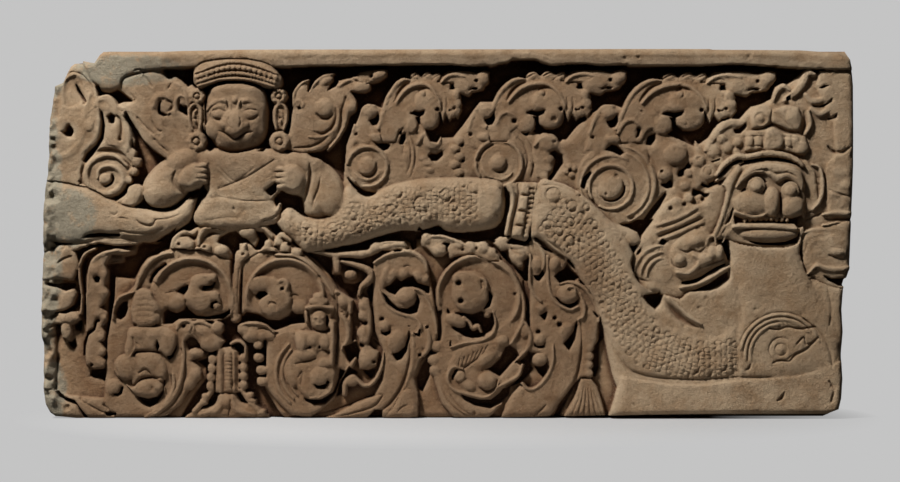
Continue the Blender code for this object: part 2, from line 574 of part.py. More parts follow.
def knobs(r):
    """Hooked shoots that stand between the long leaves."""
    for x, z, size in ((475, 436, 1.0), (648, 436, 1.05), (832, 432, 1.1)):
        def at(*points):
            return [(x + u * size, z + v * size) for u, v in points]
        r.patch(at((-14, -26), (-6, 6), (4, 26), (14, 36), (24, 38), (32, 34), (34, 26), (28, 14), (24, 6),
                   (34, -10), (10, -30)), 36, 7, 5, smooth=False)
        r.stroke(at((-6, -2), (2, 20), (14, 34), (26, 34)), [5, 7, 7, 5], 40, 5)
        r.cap(x + 20 * size, z + 26 * size, (11 * size, 9 * size), 43, 8)
        r.gap(at((16, 14), (26, 18), (32, 26), (34, 14), (30, 6), (22, 4)), 2, 2)


def leaf_b(r):
    curled_leaf(r, 702, 478, 0.88)
    # curl and fan between it and the serpent
    r.patch([(676, 425), (684, 448), (696, 464), (712, 464), (724, 450), (722, 430), (740, 428), (752, 420),
             (744, 400), (736, 360), (700, 360)], 34, 5, 6)
    r.stroke([(684, 440), (690, 456), (702, 461), (714, 455)], [5, 7, 7, 4], 40, 5)
    r.gap([(720, 434), (726, 426), (732, 424), (736, 434), (728, 430)], 4, 2)
    r.patch([(738, 404), (742, 424), (756, 431), (772, 428), (781, 414), (778, 402), (766, 398), (768, 384),
             (764, 362), (744, 362)], 36, 7, 5, smooth=False)
    r.cap(762, 416, (17, 14), 43, 9)
    r.stroke([(742, 410), (750, 420), (762, 424), (772, 420)], [4, 5, 5, 3], 44, 4)
    r.gap([(764, 402), (774, 406), (786, 398), (788, 384), (776, 368), (764, 352), (756, 356), (768, 372),
           (772, 390)], 2, 3)
    for x, z in ((764, 390), (762, 376), (757, 364)):
        r.cap(x, z, (7, 6), 39, 5)


def leaf_c(r):
    curled_leaf(r, 903, 476, 1.0)
    # leaves between its stem, the great curl and the beads at the serpent's crown
    r.stroke([(868, 430), (876, 444), (890, 450), (900, 442)], [6, 9, 10, 7], 41, 6)
    r.gap([(896, 440), (904, 436), (900, 424), (893, 420), (897, 430)], 4, 2)
    r.patch([(868, 430), (884, 424), (900, 412), (915, 408), (940, 420), (960, 414), (972, 400), (966, 384),
             (950, 382), (950, 366), (936, 358), (926, 366), (920, 390), (890, 400)], 35, 6, 6,
            smooth=False)
    r.cap(954, 398, (19, 17), 44, 11)
    r.gap([(958, 374), (968, 380), (976, 392), (982, 388), (978, 372), (966, 362), (956, 362)], 2, 4)
    r.cap(938, 368, (11, 10), 41, 7)
    r.gap([(930, 354), (940, 356), (950, 364), (953, 350), (944, 344), (934, 348)], 4, 3)
    for x, z in ((992, 400), (984, 386), (976, 370), (968, 350)):
        r.cap(x, z, (9, 7), 37, 5)


def curled_leaf(r, x, z, wide):
    """A long curling leaf from its slot at (x, z): two rims, a hollow, a rolled middle, lobes and a tip."""
    def at(*points):
        return [(x + u * wide, z + v) for u, v in points]

    r.gap(at((60, -40), (74, -62), (92, -64), (112, -40), (136, -30), (148, -6), (164, 3), (186, 6),
             (206, 20), (212, 40), (206, 56), (100, 52), (20, 40), (-4, 20), (6, 6), (50, -22)), 0, 4)
    # the whole leaf with the lobes on its back
    r.patch(at((-40, -30), (-24, -14), (-16, 10), (-2, 24), (14, 34), (30, 34), (36, 41), (48, 43),
               (60, 38), (70, 44), (82, 43), (90, 38), (98, 42), (112, 40), (124, 30), (120, 20), (134, 20),
               (144, 8), (140, -4), (146, -12), (136, -26), (128, -20), (118, -30), (110, -20), (104, -32),
               (96, -14), (92, -32), (80, -42), (64, -42), (54, -34), (52, -22), (44, -24), (48, -42),
               (36, -50), (22, -48), (16, -40), (8, -46), (0, -62), (-30, -62)), 37, 9, 4, mode="set",
            smooth=False)
    r.patch(at((90, 30), (100, 40), (112, 47), (134, 48), (162, 47), (176, 44), (196, 49), (206, 46),
               (205, 34), (192, 18), (168, 14), (160, 8), (140, 12), (128, 26)), 39, 9, 4, mode="set",
            smooth=False)
    r.patch(at((6, 2), (20, 18), (38, 26), (60, 26), (78, 20), (90, 6), (84, -4), (60, -14), (24, -16),
               (4, -10)), 34, -3, 16, mode="set")
    r.stroke(at((-38, -40), (-26, -12), (-15, 10), (0, 25), (16, 33), (30, 33)), [5, 7, 8, 9, 8, 4], 41, 5)
    r.stroke(at((1, -2), (13, 12), (32, 23), (56, 27), (74, 23), (90, 9), (98, -8)), [4, 6, 7, 7, 7, 6, 3],
             42, 5)
    for u, v, tilt in ((42, 39, 10), (68, 40, 20), (90, 38, 35)):
        r.cap(x + u * wide, z + v, (11 * wide, 6), 40, 5, tilt=tilt)
    # the rolled middle
    r.cap(x + 66 * wide, z + 1, (25 * wide, 18), 41, 5)
    r.cap(x + 76 * wide, z - 23, (21 * wide, 19), 43, 8)
    r.cap(x + 58 * wide, z + 12, (5 * wide, 4), 43, 3)
    r.gap(at((28, -18), (40, -13), (50, -14), (66, -12), (62, -20), (52, -24), (40, -21)), 4, 2)
    r.cap(x + 34 * wide, z - 34, (14 * wide, 14), 42, 7)
    r.gap(at((6, -64), (10, -50), (22, -45), (23, -56), (16, -66)), 2, 2)
    # lobes of its right side
    for u, v, size in ((124, -14, 11), (135, -4, 10), (132, 10, 9)):
        r.cap(x + u * wide, z + v, (size * wide, size), 41, 7)
    r.gap(at((112, -8), (120, -12), (126, -8), (124, -14), (116, -16)), 10, 2)
    # the tip
    r.stroke(at((100, 29), (112, 38), (130, 41), (150, 38)), [4, 6, 7, 5], 43, 5)
    r.cap(x + 150 * wide, z + 26, (24 * wide, 13), 42, 7)
    r.cap(x + 190 * wide, z + 35, (15 * wide, 12), 43, 7, tilt=30)
    r.gap(at((158, 16), (166, 18), (176, 17), (184, 21), (172, 23), (160, 20)), 14, 2)


def serpent_body(r):
    # left: the broken stump and the strands that spring from it
    r.patch([(-8, 255), (-8, 350), (60, 350), (100, 332), (130, 320), (190, 313), (218, 330), (238, 350),
             (232, 325), (224, 300), (206, 284), (186, 276), (150, 268), (100, 270), (62, 262), (25, 258)],
            50, 20, 26, mode="set")
    r.stroke([(70, 280), (82, 292), (110, 291), (140, 286), (178, 284), (196, 291), (210, 302)],
             [8, 14, 14, 12, 10, 8, 4], 46, 8)
    r.gap([(58, 270), (66, 278), (84, 281), (118, 279), (119, 273), (84, 272)], 12, 3)
    r.gap([(8, 272), (18, 267), (30, 266), (50, 266), (66, 271), (60, 266), (34, 258), (20, 259)], 12, 3)
    r.stroke([(24, 256), (60, 264), (90, 269), (130, 268), (165, 270), (184, 280)], [10, 10, 9, 9, 9, 7],
             38, 7)
    r.gap([(140, 262), (150, 268), (170, 266), (185, 278), (196, 286), (205, 290), (196, 268), (192, 252),
           (184, 252), (175, 244), (160, 240), (150, 226), (140, 205), (110, 208), (98, 216), (92, 232),
           (100, 236), (118, 238), (119, 246), (136, 250)], 0, 5)
    # middle: thick tube with scales
    r.patch([(352, 300), (372, 318), (392, 306), (410, 302), (430, 304), (447, 325), (452, 340), (462, 350),
             (490, 334), (520, 350), (560, 360), (600, 363), (650, 363), (690, 358), (698, 335), (697, 308),
             (688, 291), (672, 284), (640, 280), (612, 281), (596, 290), (575, 282), (540, 282), (500, 271),
             (470, 262), (440, 256), (410, 250), (394, 252), (376, 270), (360, 284)], 54, 24, 26,
            mode="set")
    r.cap(612, 298, 9, 52, 7)
    r.gap([(604, 292), (612, 288), (620, 296), (618, 290), (610, 285)], 30, 2)
    r.cap(671, 292, 5, 48, 4)
    r.cap(572, 298, (14, 8), 49, 6)
    r.gap([(562, 282), (568, 292), (574, 286), (590, 290), (599, 294), (600, 284), (580, 278)], 8, 3)
    r.patch([(668, 350), (690, 345), (694, 320), (684, 308), (672, 316)], 55, 5, 8)
    r.gap([(540, 282), (566, 280), (598, 290), (613, 281), (640, 279), (672, 283), (690, 291), (694, 276),
           (682, 262), (672, 266), (650, 260), (640, 266), (622, 271), (600, 275), (580, 279), (568, 270),
           (566, 254), (556, 250), (552, 262), (536, 270), (512, 268), (494, 262)], 0, 4)
    r.gap([(436, 255), (448, 250), (486, 252), (496, 256), (490, 270), (470, 264), (448, 260)], 6, 3)


def collar(r):
    """Jewelled collar round the serpent's body, two columns of blocks between plain edges."""
    r.patch([(700, 352), (748, 354), (746, 330), (740, 300), (733, 272), (728, 267), (706, 272), (702, 300),
             (708, 330)], 44, 5, 6, mode="set")
    r.stroke([(704, 352), (710, 330), (704, 300), (700, 278)], 8, 52, 7)
    r.stroke([(744, 352), (744, 330), (737, 300), (730, 274)], 5, 50, 4)
    for z0, z1, x, w in ((274, 289, 716, 15), (292, 311, 720, 14), (314, 335, 724, 14),
                         (338, 354, 727, 13)):
        r.patch([(x - w / 2, z0 + 1), (x - w / 2 + 3, z1), (x + w / 2 + 2, z1), (x + w / 2, z0 - 2)], 52, 5,
                3, smooth=False)
    for k in range(11):
        z = 275 + 7.4 * k
        r.cap(730 + 0.12 * (z - 275), z, (4.5, 3.2), 50, 4)
    r.gap([(698, 262), (706, 274), (728, 268), (734, 272), (737, 262), (728, 258)], 12, 3)


def serpent_turn(r):
    """The body bends down behind the great curl and runs right along the ledge, below the raised breast."""
    r.patch([(748, 354), (775, 356), (800, 346), (822, 330), (850, 303), (870, 292), (888, 284), (880, 262),
             (886, 245), (893, 222), (930, 215), (975, 215), (1010, 225), (1040, 240), (1100, 240),
             (1160, 215), (1240, 205), (1240, 60), (1185, 50), (1150, 40), (1100, 36), (1050, 30),
             (960, 26), (920, 30), (872, 40), (854, 90), (845, 140), (832, 180), (812, 208), (797, 236),
             (774, 252), (748, 272), (736, 278)], 49, 14, 22, mode="set")
    r.patch([(748, 354), (775, 356), (800, 346), (822, 330), (850, 303), (872, 280), (890, 252), (902, 222),
             (914, 194), (924, 168), (940, 146), (970, 130), (1012, 124), (1042, 140), (1050, 100),
             (1040, 66), (985, 57), (920, 61), (885, 72), (862, 100), (845, 140), (832, 180), (812, 208),
             (797, 236), (774, 252), (748, 272), (736, 278)], 55, 9, 26)
    r.patch([(1042, 296), (1140, 296), (1142, 250), (1152, 218), (1170, 186), (1190, 150), (1200, 110),
             (1180, 70), (1060, 60), (1042, 110), (1052, 160), (1046, 200), (1038, 240)], 54, 7, 24)
    # dark hollow and slit below the small head's neck
    r.gap([(904, 184), (912, 186), (924, 184), (937, 186), (934, 172), (924, 162), (912, 172)], 2, 4)
    r.groove([(934, 180), (946, 168), (960, 153), (978, 141), (988, 137)], [6, 11, 13, 8, 3], 16)
    r.stroke([(944, 182), (960, 166), (976, 152), (992, 142)], [3, 6, 6, 3], 56, 4)


def ledge(r):
    r.patch([(872, 66), (900, 60), (940, 54), (990, 53), (1050, 59), (1100, 63), (1135, 66), (1162, 73),
             (1186, 83), (1240, 100), (1240, -20), (846, -20), (862, 30)], 53, 8, 5, smooth=False)
    r.cap(1165, 35, (26, 20), 50, -3, mode="raise")


def small_head(r):
    """Serpent head that looks right, left of the great one."""
    r.patch([(905, 276), (922, 300), (940, 325), (960, 332), (985, 322), (1000, 330), (1012, 350),
             (1030, 345), (1020, 300), (1010, 275), (1022, 266), (1030, 250), (1035, 232), (1035, 208),
             (1012, 193), (975, 190), (962, 180), (940, 185), (920, 190), (898, 206), (888, 230),
             (892, 250)], 42, 6, 8, mode="set")
    r.gap([(894, 285), (904, 284), (920, 300), (934, 318), (944, 336), (941, 346), (934, 338), (918, 320),
           (904, 300)], 4, 4)
    r.gap([(938, 344), (952, 346), (953, 358), (946, 362), (938, 352)], 6, 3)
    r.cap(888, 272, (14, 12), 48, 8, tilt=-30)
    r.gap([(893, 246), (898, 254), (905, 262), (904, 250), (898, 244)], 14, 3)
    # crown of bands and petals
    for x, z, size in ((944, 300, 9), (958, 310, 11), (974, 316, 10), (990, 312, 9), (956, 326, 8),
                       (974, 332, 8), (1004, 320, 8), (1006, 338, 7)):
        r.cap(x, z, size, 44, 7)
    for lift in (0, 12, 22):
        r.stroke([(930 - 0.3 * lift, 268 + lift), (960, 280 + lift), (994 - 0.4 * lift, 295 + lift)],
                 [5, 7, 8], 47, 5)
    r.gap([(928, 262), (934, 272), (944, 268), (938, 260)], 14, 2)
    r.gap([(978, 335), (980, 348), (992, 345), (1000, 340), (1008, 340), (1004, 332), (998, 330),
           (992, 336), (984, 332)], 8, 3)
    r.gap([(1000, 354), (1006, 350), (1014, 350), (1015, 364), (1010, 358)], 8, 3)
    # fan of the ear
    for k, radius in enumerate((44, 34, 25)):
        r.stroke(arc(936, 216, radius, 182, 92, 9), [3, 6, 6, 3], 45 + k, 5)
    r.cap(936, 222, (18, 22), 46, 6)
    # face
    r.patch([(950, 262), (972, 280), (996, 290), (1008, 276), (1016, 262), (1028, 246), (1018, 234),
             (1000, 224), (976, 212), (954, 214), (944, 236)], 50, 9, 12)
    r.cap(986, 268, (20, 10), 54, 7, tilt=20)
    r.cap(960, 240, (10, 8), 56, 8)
    r.stroke([(956, 220), (972, 218), (984, 226), (990, 238), (980, 246)], [5, 8, 9, 7, 5], 55, 6)
    r.cap(998, 238, (13, 12), 57, 9)
    r.cap(1010, 250, (9, 10), 57, 8)
    r.stroke([(1000, 262), (1004, 272), (1012, 274), (1016, 262)], [5, 6, 5, 3], 53, 5)
    r.cap(1020, 250, (7, 12), 59, 8)
    r.gap([(962, 202), (964, 207), (978, 209), (992, 214), (1004, 222), (1016, 229), (1033, 236),
           (1030, 229), (1004, 215), (988, 204), (972, 200)], 8, 3)
    r.stroke([(962, 197), (984, 201), (1008, 212), (1034, 228)], [5, 6, 7, 5], 52, 5)
    r.gap([(966, 190), (985, 195), (1004, 204), (1020, 215), (1035, 224), (1036, 209), (1022, 198),
           (1008, 192), (988, 190)], 12, 3)
    r.cap(914, 198, (15, 9), 45, 7)
    r.gap([(905, 186), (914, 188), (926, 190), (938, 186), (934, 174), (924, 164), (914, 172)], 6, 3)
    r.gap([(926, 186), (930, 194), (934, 188), (932, 180)], 12, 2)


def great_head(r):
    """The great serpent head from the front: heavy brow, bulging eyes, blunt muzzle, teeth and jaw."""
    r.patch([(1008, 266), (1010, 290), (1018, 322), (1026, 348), (1040, 370), (1058, 383), (1086, 389),
             (1116, 388), (1140, 380), (1149, 362), (1151, 330), (1150, 300), (1142, 284), (1136, 262),
             (1100, 256), (1050, 262), (1030, 270)], 50, 12, 8, mode="set")
    # the mane that falls at the left
    r.stroke([(1048, 374), (1034, 350), (1027, 328), (1020, 304), (1013, 280)], [14, 20, 20, 18, 12], 54, 8)
    r.gap([(1058, 350), (1048, 338), (1040, 322), (1034, 304), (1026, 290), (1018, 276), (1014, 270),
           (1012, 264), (1020, 270), (1030, 284), (1038, 298), (1044, 318), (1052, 334), (1062, 344)], 34,
          2)
    for dx, dz in ((0, 0), (7, -7)):
        r.stroke([(1018 + dx, 272 + dz), (1028 + dx, 288 + dz), (1040 + dx, 296 + dz)], [3, 5, 4], 51, 4)
    # brow
    r.patch([(1044, 346), (1052, 366), (1066, 379), (1090, 384), (1118, 382), (1138, 374), (1147, 356),
             (1144, 342), (1136, 352), (1120, 360), (1106, 354), (1092, 366), (1074, 368), (1058, 358)],
            58, 6, 7)
    r.gap([(1058, 352), (1064, 362), (1076, 366), (1088, 362), (1094, 356), (1088, 350)], 44, 2)
    r.gap([(1112, 352), (1118, 358), (1130, 358), (1140, 350), (1136, 340), (1116, 342)], 44, 2)
    for x, z in ((1075, 350), (1126, 343)):
        r.stroke(arc(x, z, 12, 0, 360, 20), 3, 56, 3)
        r.cap(x, z, (11, 11), 61, 9)
    # muzzle
    r.cap(1070, 324, (32, 20), 59, 10)
    r.cap(1098, 326, (14, 23), 62, 11)
    r.cap(1129, 319, (18, 18), 61, 10)
    r.gap([(1110, 346), (1114, 340), (1115, 306), (1111, 304), (1109, 320)], 46, 1.5)
    r.stroke([(1042, 311), (1054, 307), (1070, 303), (1084, 305), (1094, 310), (1104, 305)],
             [4, 5, 5, 5, 4, 3], 57, 4)
    r.gap([(1040, 308), (1052, 303), (1070, 299), (1086, 300), (1110, 303), (1128, 302), (1146, 308),
           (1150, 300), (1148, 288), (1138, 284), (1132, 292), (1050, 293), (1042, 290)], 34, 2)
    r.pearls([(1058, 298), (1090, 300), (1122, 298)], 9, (3.6, 3.4), 52, 4)
    # lower lip and jaw
    r.stroke([(1040, 288), (1062, 289), (1100, 289), (1134, 285)], [6, 8, 9, 7], 58, 5)
    r.cap(1093, 277, (44, 9), 57, 8)
    r.gap([(1050, 274), (1064, 269), (1090, 266), (1120, 268), (1136, 275), (1139, 286), (1144, 276),
           (1138, 262), (1110, 258), (1076, 260), (1056, 267)], 30, 3)
    # the worn band right of the face
    r.patch([(1144, 318), (1144, 384), (1160, 388), (1174, 370), (1178, 344), (1172, 322), (1160, 311)], 43,
            5, 9)


def roundel(r):
    """Shallow wheel on the serpent's breast, its middle flaked away."""
    x, z = 1112, 96
    for radius, first, last in ((64, 20, 170), (57, 35, 185), (50, 95, 190)):
        r.stroke(arc(x, z, radius - 3.5, first, last, 22), 5, 56, 1.5)
    r.cap(x, z + 8, 5, 56, 2)
    r.patch([(1130, 128), (1152, 130), (1166, 120), (1156, 100), (1138, 94), (1124, 104)], 54, -1.5, 5,
            mode="cut")


def crown(r):
    """Tall crown of the great head, with leaves around it that reach the corner of the frieze."""
    r.patch([(985, 420), (1000, 400), (1024, 448), (1052, 452), (1070, 470), (1086, 474), (1100, 482),
             (1104, 500), (1124, 504), (1146, 521), (1168, 522), (1224, 521), (1226, 300), (1172, 300),
             (1164, 372), (1150, 390), (1060, 390), (1030, 380), (1012, 352), (985, 345), (978, 372)], 37,
            7, 6, mode="set", smooth=False)
    # the worn corner under the lip
    r.patch([(1172, 524), (1166, 500), (1176, 474), (1192, 450), (1196, 400), (1180, 380), (1184, 300),
             (1240, 300), (1240, 525)], 45, 5, 12, mode="set", smooth=False)
    # rope over the brow
    r.stroke([(1016, 366), (1028, 382), (1046, 394), (1062, 393), (1090, 398), (1116, 396), (1136, 388),
              (1145, 380)], [5, 9, 10, 9, 10, 10, 9, 6], 55, 6)
    r.stroke([(1016, 358), (1030, 366), (1040, 378), (1056, 386)], [4, 7, 7, 4], 48, 5)
    # blocks, with the tall lozenge at the middle
    r.patch([(1058, 402), (1060, 432), (1080, 434), (1100, 440), (1120, 430), (1150, 424), (1156, 404),
             (1148, 394), (1124, 401), (1100, 404), (1076, 402)], 45, 6, 5, mode="set", smooth=False)
    r.patch([(1088, 405), (1090, 432), (1100, 438), (1112, 430), (1118, 416), (1110, 404)], 52, 7, 6)
    for x in (1066, 1079, 1124, 1134):
        r.cap(x, 416, (6, 11), 50, 5)
    r.cap(1144, 407, (11, 11), 52, 9)
    r.gap([(1134, 398), (1144, 392), (1156, 396), (1160, 406), (1154, 398), (1144, 395)], 24, 2)
    # the top
    r.patch([(1068, 436), (1066, 456), (1076, 471), (1090, 473), (1102, 466), (1124, 472), (1140, 468),
             (1146, 450), (1142, 432), (1122, 434), (1100, 444), (1082, 436)], 47, 8, 6, mode="set",
            smooth=False)
    r.stroke(arc(1082, 451, 11, 60, 400, 16), 4, 50, 4)
    r.cap(1081, 451, (6, 6), 51, 5)
    r.cap(1130, 454, (11, 14), 51, 7)
    r.stroke([(1150, 428), (1158, 444), (1154, 462)], [6, 8, 5], 46, 6)
    # leaves that rise to the corner
    for points, width in (([(1102, 478), (1108, 494), (1118, 500), (1126, 494)], 11),
                          ([(1118, 478), (1134, 490), (1146, 504), (1154, 520), (1164, 518)], 15),
                          ([(1150, 488), (1160, 478), (1176, 480), (1186, 492)], 13),
                          ([(1176, 500), (1184, 512), (1196, 524)], 14),
                          ([(1158, 466), (1172, 458), (1186, 466), (1194, 476)], 12),
                          ([(1200, 412), (1204, 428), (1210, 440)], 24)):
        swelling = np.sin(np.linspace(0.5, 2.6, len(points)))
        r.stroke(points, [float(width * share) for share in swelling], 45, 8)
    r.gap([(1122, 476), (1130, 480), (1128, 488), (1120, 484)], 16, 2)
    r.gap([(1168, 497), (1176, 496), (1190, 502), (1178, 503)], 18, 2)
    r.gap([(1156, 474), (1170, 471), (1184, 476), (1194, 488), (1190, 476), (1178, 468), (1162, 468)], 16,
          2)
    r.gap([(1178, 452), (1192, 454), (1200, 464), (1198, 452), (1186, 448)], 20, 2)
    r.groove([(1184, 410), (1192, 402), (1206, 401), (1216, 408)], [3, 7, 8, 4], 9)
    # buds at the left of the crown
    r.stroke([(1000, 404), (1012, 424), (1026, 440), (1044, 446), (1058, 440)], [8, 12, 14, 12, 8], 43, 8)
    r.gap([(1040, 436), (1050, 438), (1062, 448), (1064, 440), (1054, 428), (1044, 428)], 18, 2)
    for x, z, size in ((1048, 415, 8), (1012, 402, 11), (1032, 408, 10), (1024, 420, 8), (1046, 402, 6),
                       (1004, 370, 13), (990, 388, 10), (1020, 386, 8)):
        r.cap(x, z, size, 44, 8)
    r.gap([(1002, 392), (1010, 388), (1020, 392), (1024, 400), (1022, 388), (1010, 384)], 12, 2)
    r.gap([(994, 356), (1004, 352), (1016, 356), (1020, 366), (1018, 352), (1004, 346), (992, 350)], 10, 2)
    for x, z in ((1190, 372), (1208, 366), (1196, 350), (1208, 336), (1188, 328)):
        r.cap(x, z, (10, 7), 42, 6, tilt=20)


def right_edge(r):
    """Half a head and the hood folds at the broken right edge."""
    r.patch([(1136, 284), (1142, 400), (1236, 400), (1236, 278), (1150, 274)], 38, 2, 6, smooth=False)
    # a looped band beside the face, with worn beads
    r.stroke([(1160, 382), (1172, 376), (1176, 352), (1172, 328), (1160, 314)], [3, 5, 7, 7, 4], 49, 5)
    for x, z in ((1198, 372), (1210, 350), (1194, 338), (1208, 370), (1204, 324)):
        r.cap(x, z, (10, 8), 48, 4)
    for z, crest in ((309, 49), (292, 49)):
        r.stroke([(1176, z - 2), (1196, z), (1222, z - 1)], [4, 8, 8], crest, 5)
    # the half head: brow, cheek, snout and open mouth
    r.patch([(1143, 262), (1150, 280), (1180, 290), (1240, 291), (1240, 200), (1196, 196), (1160, 212),
             (1148, 226)], 46, 7, 8, mode="set")
    for k in range(3):
        r.stroke([(1142 + 4 * k, 276 - 9 * k), (1160 + 4 * k, 284 - 8 * k), (1182 + 3 * k, 284 - 7 * k)],
                 [3, 5, 4], 47, 4)
    r.cap(1192, 262, (26, 20), 50, 9)
    r.cap(1198, 250, (14, 8), 53, 7, tilt=-10)
    r.stroke([(1154, 218), (1166, 230), (1178, 226), (1194, 224), (1216, 226)], [4, 8, 9, 9, 8], 52, 6)
    r.stroke([(1150, 208), (1164, 216), (1176, 214)], [3, 5, 3], 46, 4)
    r.gap([(1172, 218), (1190, 212), (1218, 213), (1218, 196), (1200, 198), (1184, 206)], 14, 3)




def under_leaves(r):
    """Leaves that hang below the middle of the body."""
    r.patch([(570, 268), (574, 278), (584, 280), (592, 277), (606, 276), (624, 270), (640, 263), (656, 266),
             (668, 264), (680, 254), (690, 246), (690, 236), (672, 236), (650, 246), (628, 244), (614, 240),
             (612, 250), (604, 244), (592, 244), (586, 250), (580, 256), (572, 260)], 36, 8, 4, mode="set",
            smooth=False)
    r.cap(579, 271, (8, 9), 42, 6)
    r.cap(598, 253, (12, 10), 43, 8)
    r.stroke([(588, 274), (602, 274), (622, 268), (640, 260)], [4, 6, 6, 4], 42, 5)
    r.gap([(601, 262), (606, 266), (616, 264), (612, 256), (613, 248), (608, 252), (608, 260)], 6, 2)
    for x, z, size in ((628, 262, 7), (645, 258, 9), (664, 258, 9), (678, 250, 7)):
        r.cap(x, z, size, 41, 6)
    r.patch([(680, 268), (690, 275), (702, 272), (730, 268), (738, 250), (730, 238), (716, 240), (704, 252),
             (698, 262)], 38, 7, 5, smooth=False)
    r.patch([(500, 262), (512, 266), (530, 268), (548, 264), (552, 256), (540, 250), (516, 252),
             (502, 254)], 37, 7, 4, smooth=False)
    r.cap(504, 259, (8, 7), 42, 6)
    r.gap([(528, 253), (536, 256), (546, 254), (540, 250), (530, 250)], 10, 2)





def scroll_ground(r):
    """The lit ground that the lower scrolls stand on."""
    r.patch([(-10, -10), (-10, 262), (100, 262), (190, 268), (340, 280), (420, 262), (560, 270), (680, 275),
             (760, 262), (800, 235), (840, 175), (862, 90), (880, -10)], 19, 8, 12, smooth=False)


def lower_left(r):
    """Leaf lobes along the broken end, a tall leaf beside them, a bud and a leaf at the foot."""
    r.patch([(12, 30), (12, 160), (62, 170), (62, 250), (140, 240), (110, 60), (118, 20)], 22, 6, 8,
            mode="set", smooth=False)
    r.gap([(104, 240), (111, 215), (109, 180), (105, 150), (105, 62), (94, 52), (86, 58), (76, 58),
           (68, 62), (70, 74), (92, 76), (96, 160), (98, 232)], 0, 3)
    r.patch([(-10, -10), (-10, 268), (8, 266), (16, 240), (18, 160), (20, 130), (19, 60), (14, 16)], 36, 8,
            5, smooth=False)
    for lobe in ([(-8, 207), (-8, 258), (20, 254), (38, 257), (51, 250), (55, 236), (52, 216), (46, 207),
                  (20, 210)],
                 [(-8, 160), (-8, 199), (16, 199), (34, 193), (48, 195), (52, 186), (46, 170), (34, 162),
                  (20, 159)],
                 [(14, 141), (15, 157), (34, 161), (55, 160), (58, 149), (46, 141)],
                 [(30, 121), (27, 138), (34, 146), (43, 141), (45, 128), (40, 117)]):
        r.patch(lobe, 41, 8, 5, mode="set", smooth=False)
    r.gap([(4, 206), (20, 203), (36, 206), (51, 204), (49, 196), (35, 190), (20, 196), (4, 200)], 4, 2)
    r.gap([(29, 126), (33, 116), (42, 116), (48, 122), (52, 108), (46, 102), (38, 108)], 2, 2)
    r.gap([(46, 141), (47, 132), (58, 129), (60, 146), (56, 149), (50, 143)], 2, 2)
    r.gap([(20, 158), (36, 162), (48, 174), (54, 190), (58, 206), (60, 190), (56, 172), (48, 162),
           (36, 157)], 6, 1.5)
    r.cap(50, 151, (7, 6), 43, 5)
    r.cap(34, 134, (7, 9), 43, 6)
    # the row of buds above and the stem
    r.stroke([(8, 258), (34, 251), (54, 258), (80, 267), (110, 263), (142, 264)], [6, 7, 8, 8, 7, 5], 40, 6)
    for x, z in ((24, 254), (38, 253), (50, 257), (63, 262), (77, 266)):
        r.cap(x, z, (6, 5), 43, 5)
    r.stroke([(58, 158), (60, 180), (57, 205), (56, 228), (64, 247), (80, 256)], [5, 5, 5, 5, 5, 4], 39, 5)
    # tall leaf
    r.patch([(64, 90), (66, 130), (66, 180), (67, 215), (74, 238), (90, 250), (112, 257), (136, 252),
             (122, 247), (104, 246), (96, 232), (100, 214), (95, 200), (101, 186), (95, 174), (88, 167),
             (98, 159), (99, 147), (90, 138), (96, 127), (88, 116), (96, 103), (92, 92), (99, 82), (90, 74),
             (78, 73), (66, 80)], 38, 9, 4, mode="set", smooth=False)
    r.stroke([(68, 160), (69, 200), (75, 234), (92, 248), (114, 253)], [4, 5, 6, 6, 4], 42, 4)
    for x, z, size in ((91, 216, 8), (93, 188, 8), (84, 157, 7), (92, 150, 6), (88, 122, 7), (90, 100, 7),
                       (88, 83, 9)):
        r.cap(x, z, size, 42, 6)
    r.cap(79, 222, (8, 13), 43, 7)
    r.gap([(76, 212), (82, 216), (88, 212), (86, 203), (79, 204)], 8, 2)
    r.gap([(80, 150), (76, 136), (66, 130), (60, 112), (60, 92), (64, 92), (66, 110), (70, 124), (80, 132),
           (84, 148)], 10, 1.5)
    r.patch([(98, 222), (102, 234), (120, 236), (122, 244), (131, 246), (141, 236), (139, 224), (126, 218),
             (110, 219)], 38, 8, 5, mode="set", smooth=False)
    r.cap(112, 228, (11, 8), 42, 6)
    r.gap([(122, 243), (124, 234), (132, 226), (136, 228), (130, 236), (128, 244)], 12, 2)
    # bud and the sweeping leaf at the foot
    r.gap([(100, 38), (110, 30), (122, 30), (124, 48), (118, 60), (96, 60)], 2, 2)
    r.patch([(94, 50), (100, 61), (112, 62), (119, 52), (116, 40), (104, 38)], 40, 10, 5, mode="set",
            smooth=False)
    r.cap(106, 51, (11, 10), 44, 8)
    r.patch([(-10, 44), (14, 44), (40, 34), (100, 30), (135, 26), (150, 12), (175, 10), (192, 30),
             (196, 60), (190, 100), (206, 104), (214, 84), (212, 50), (198, 22), (172, -2), (120, -20),
             (-10, -20)], 36, 8, 5, mode="set", smooth=False)
    r.stroke([(160, -4), (188, 12), (204, 36), (210, 70), (206, 104)], [8, 12, 14, 12, 8], 44, 6)
    r.gap([(16, 42), (24, 44), (36, 33), (50, 28), (60, 14), (74, -2), (60, -2), (50, 18), (38, 22),
           (22, 28)], 6, 4)
    r.patch([(12, 26), (34, 24), (48, 16), (56, 2), (30, -4), (10, 6)], 28, 10, 8)


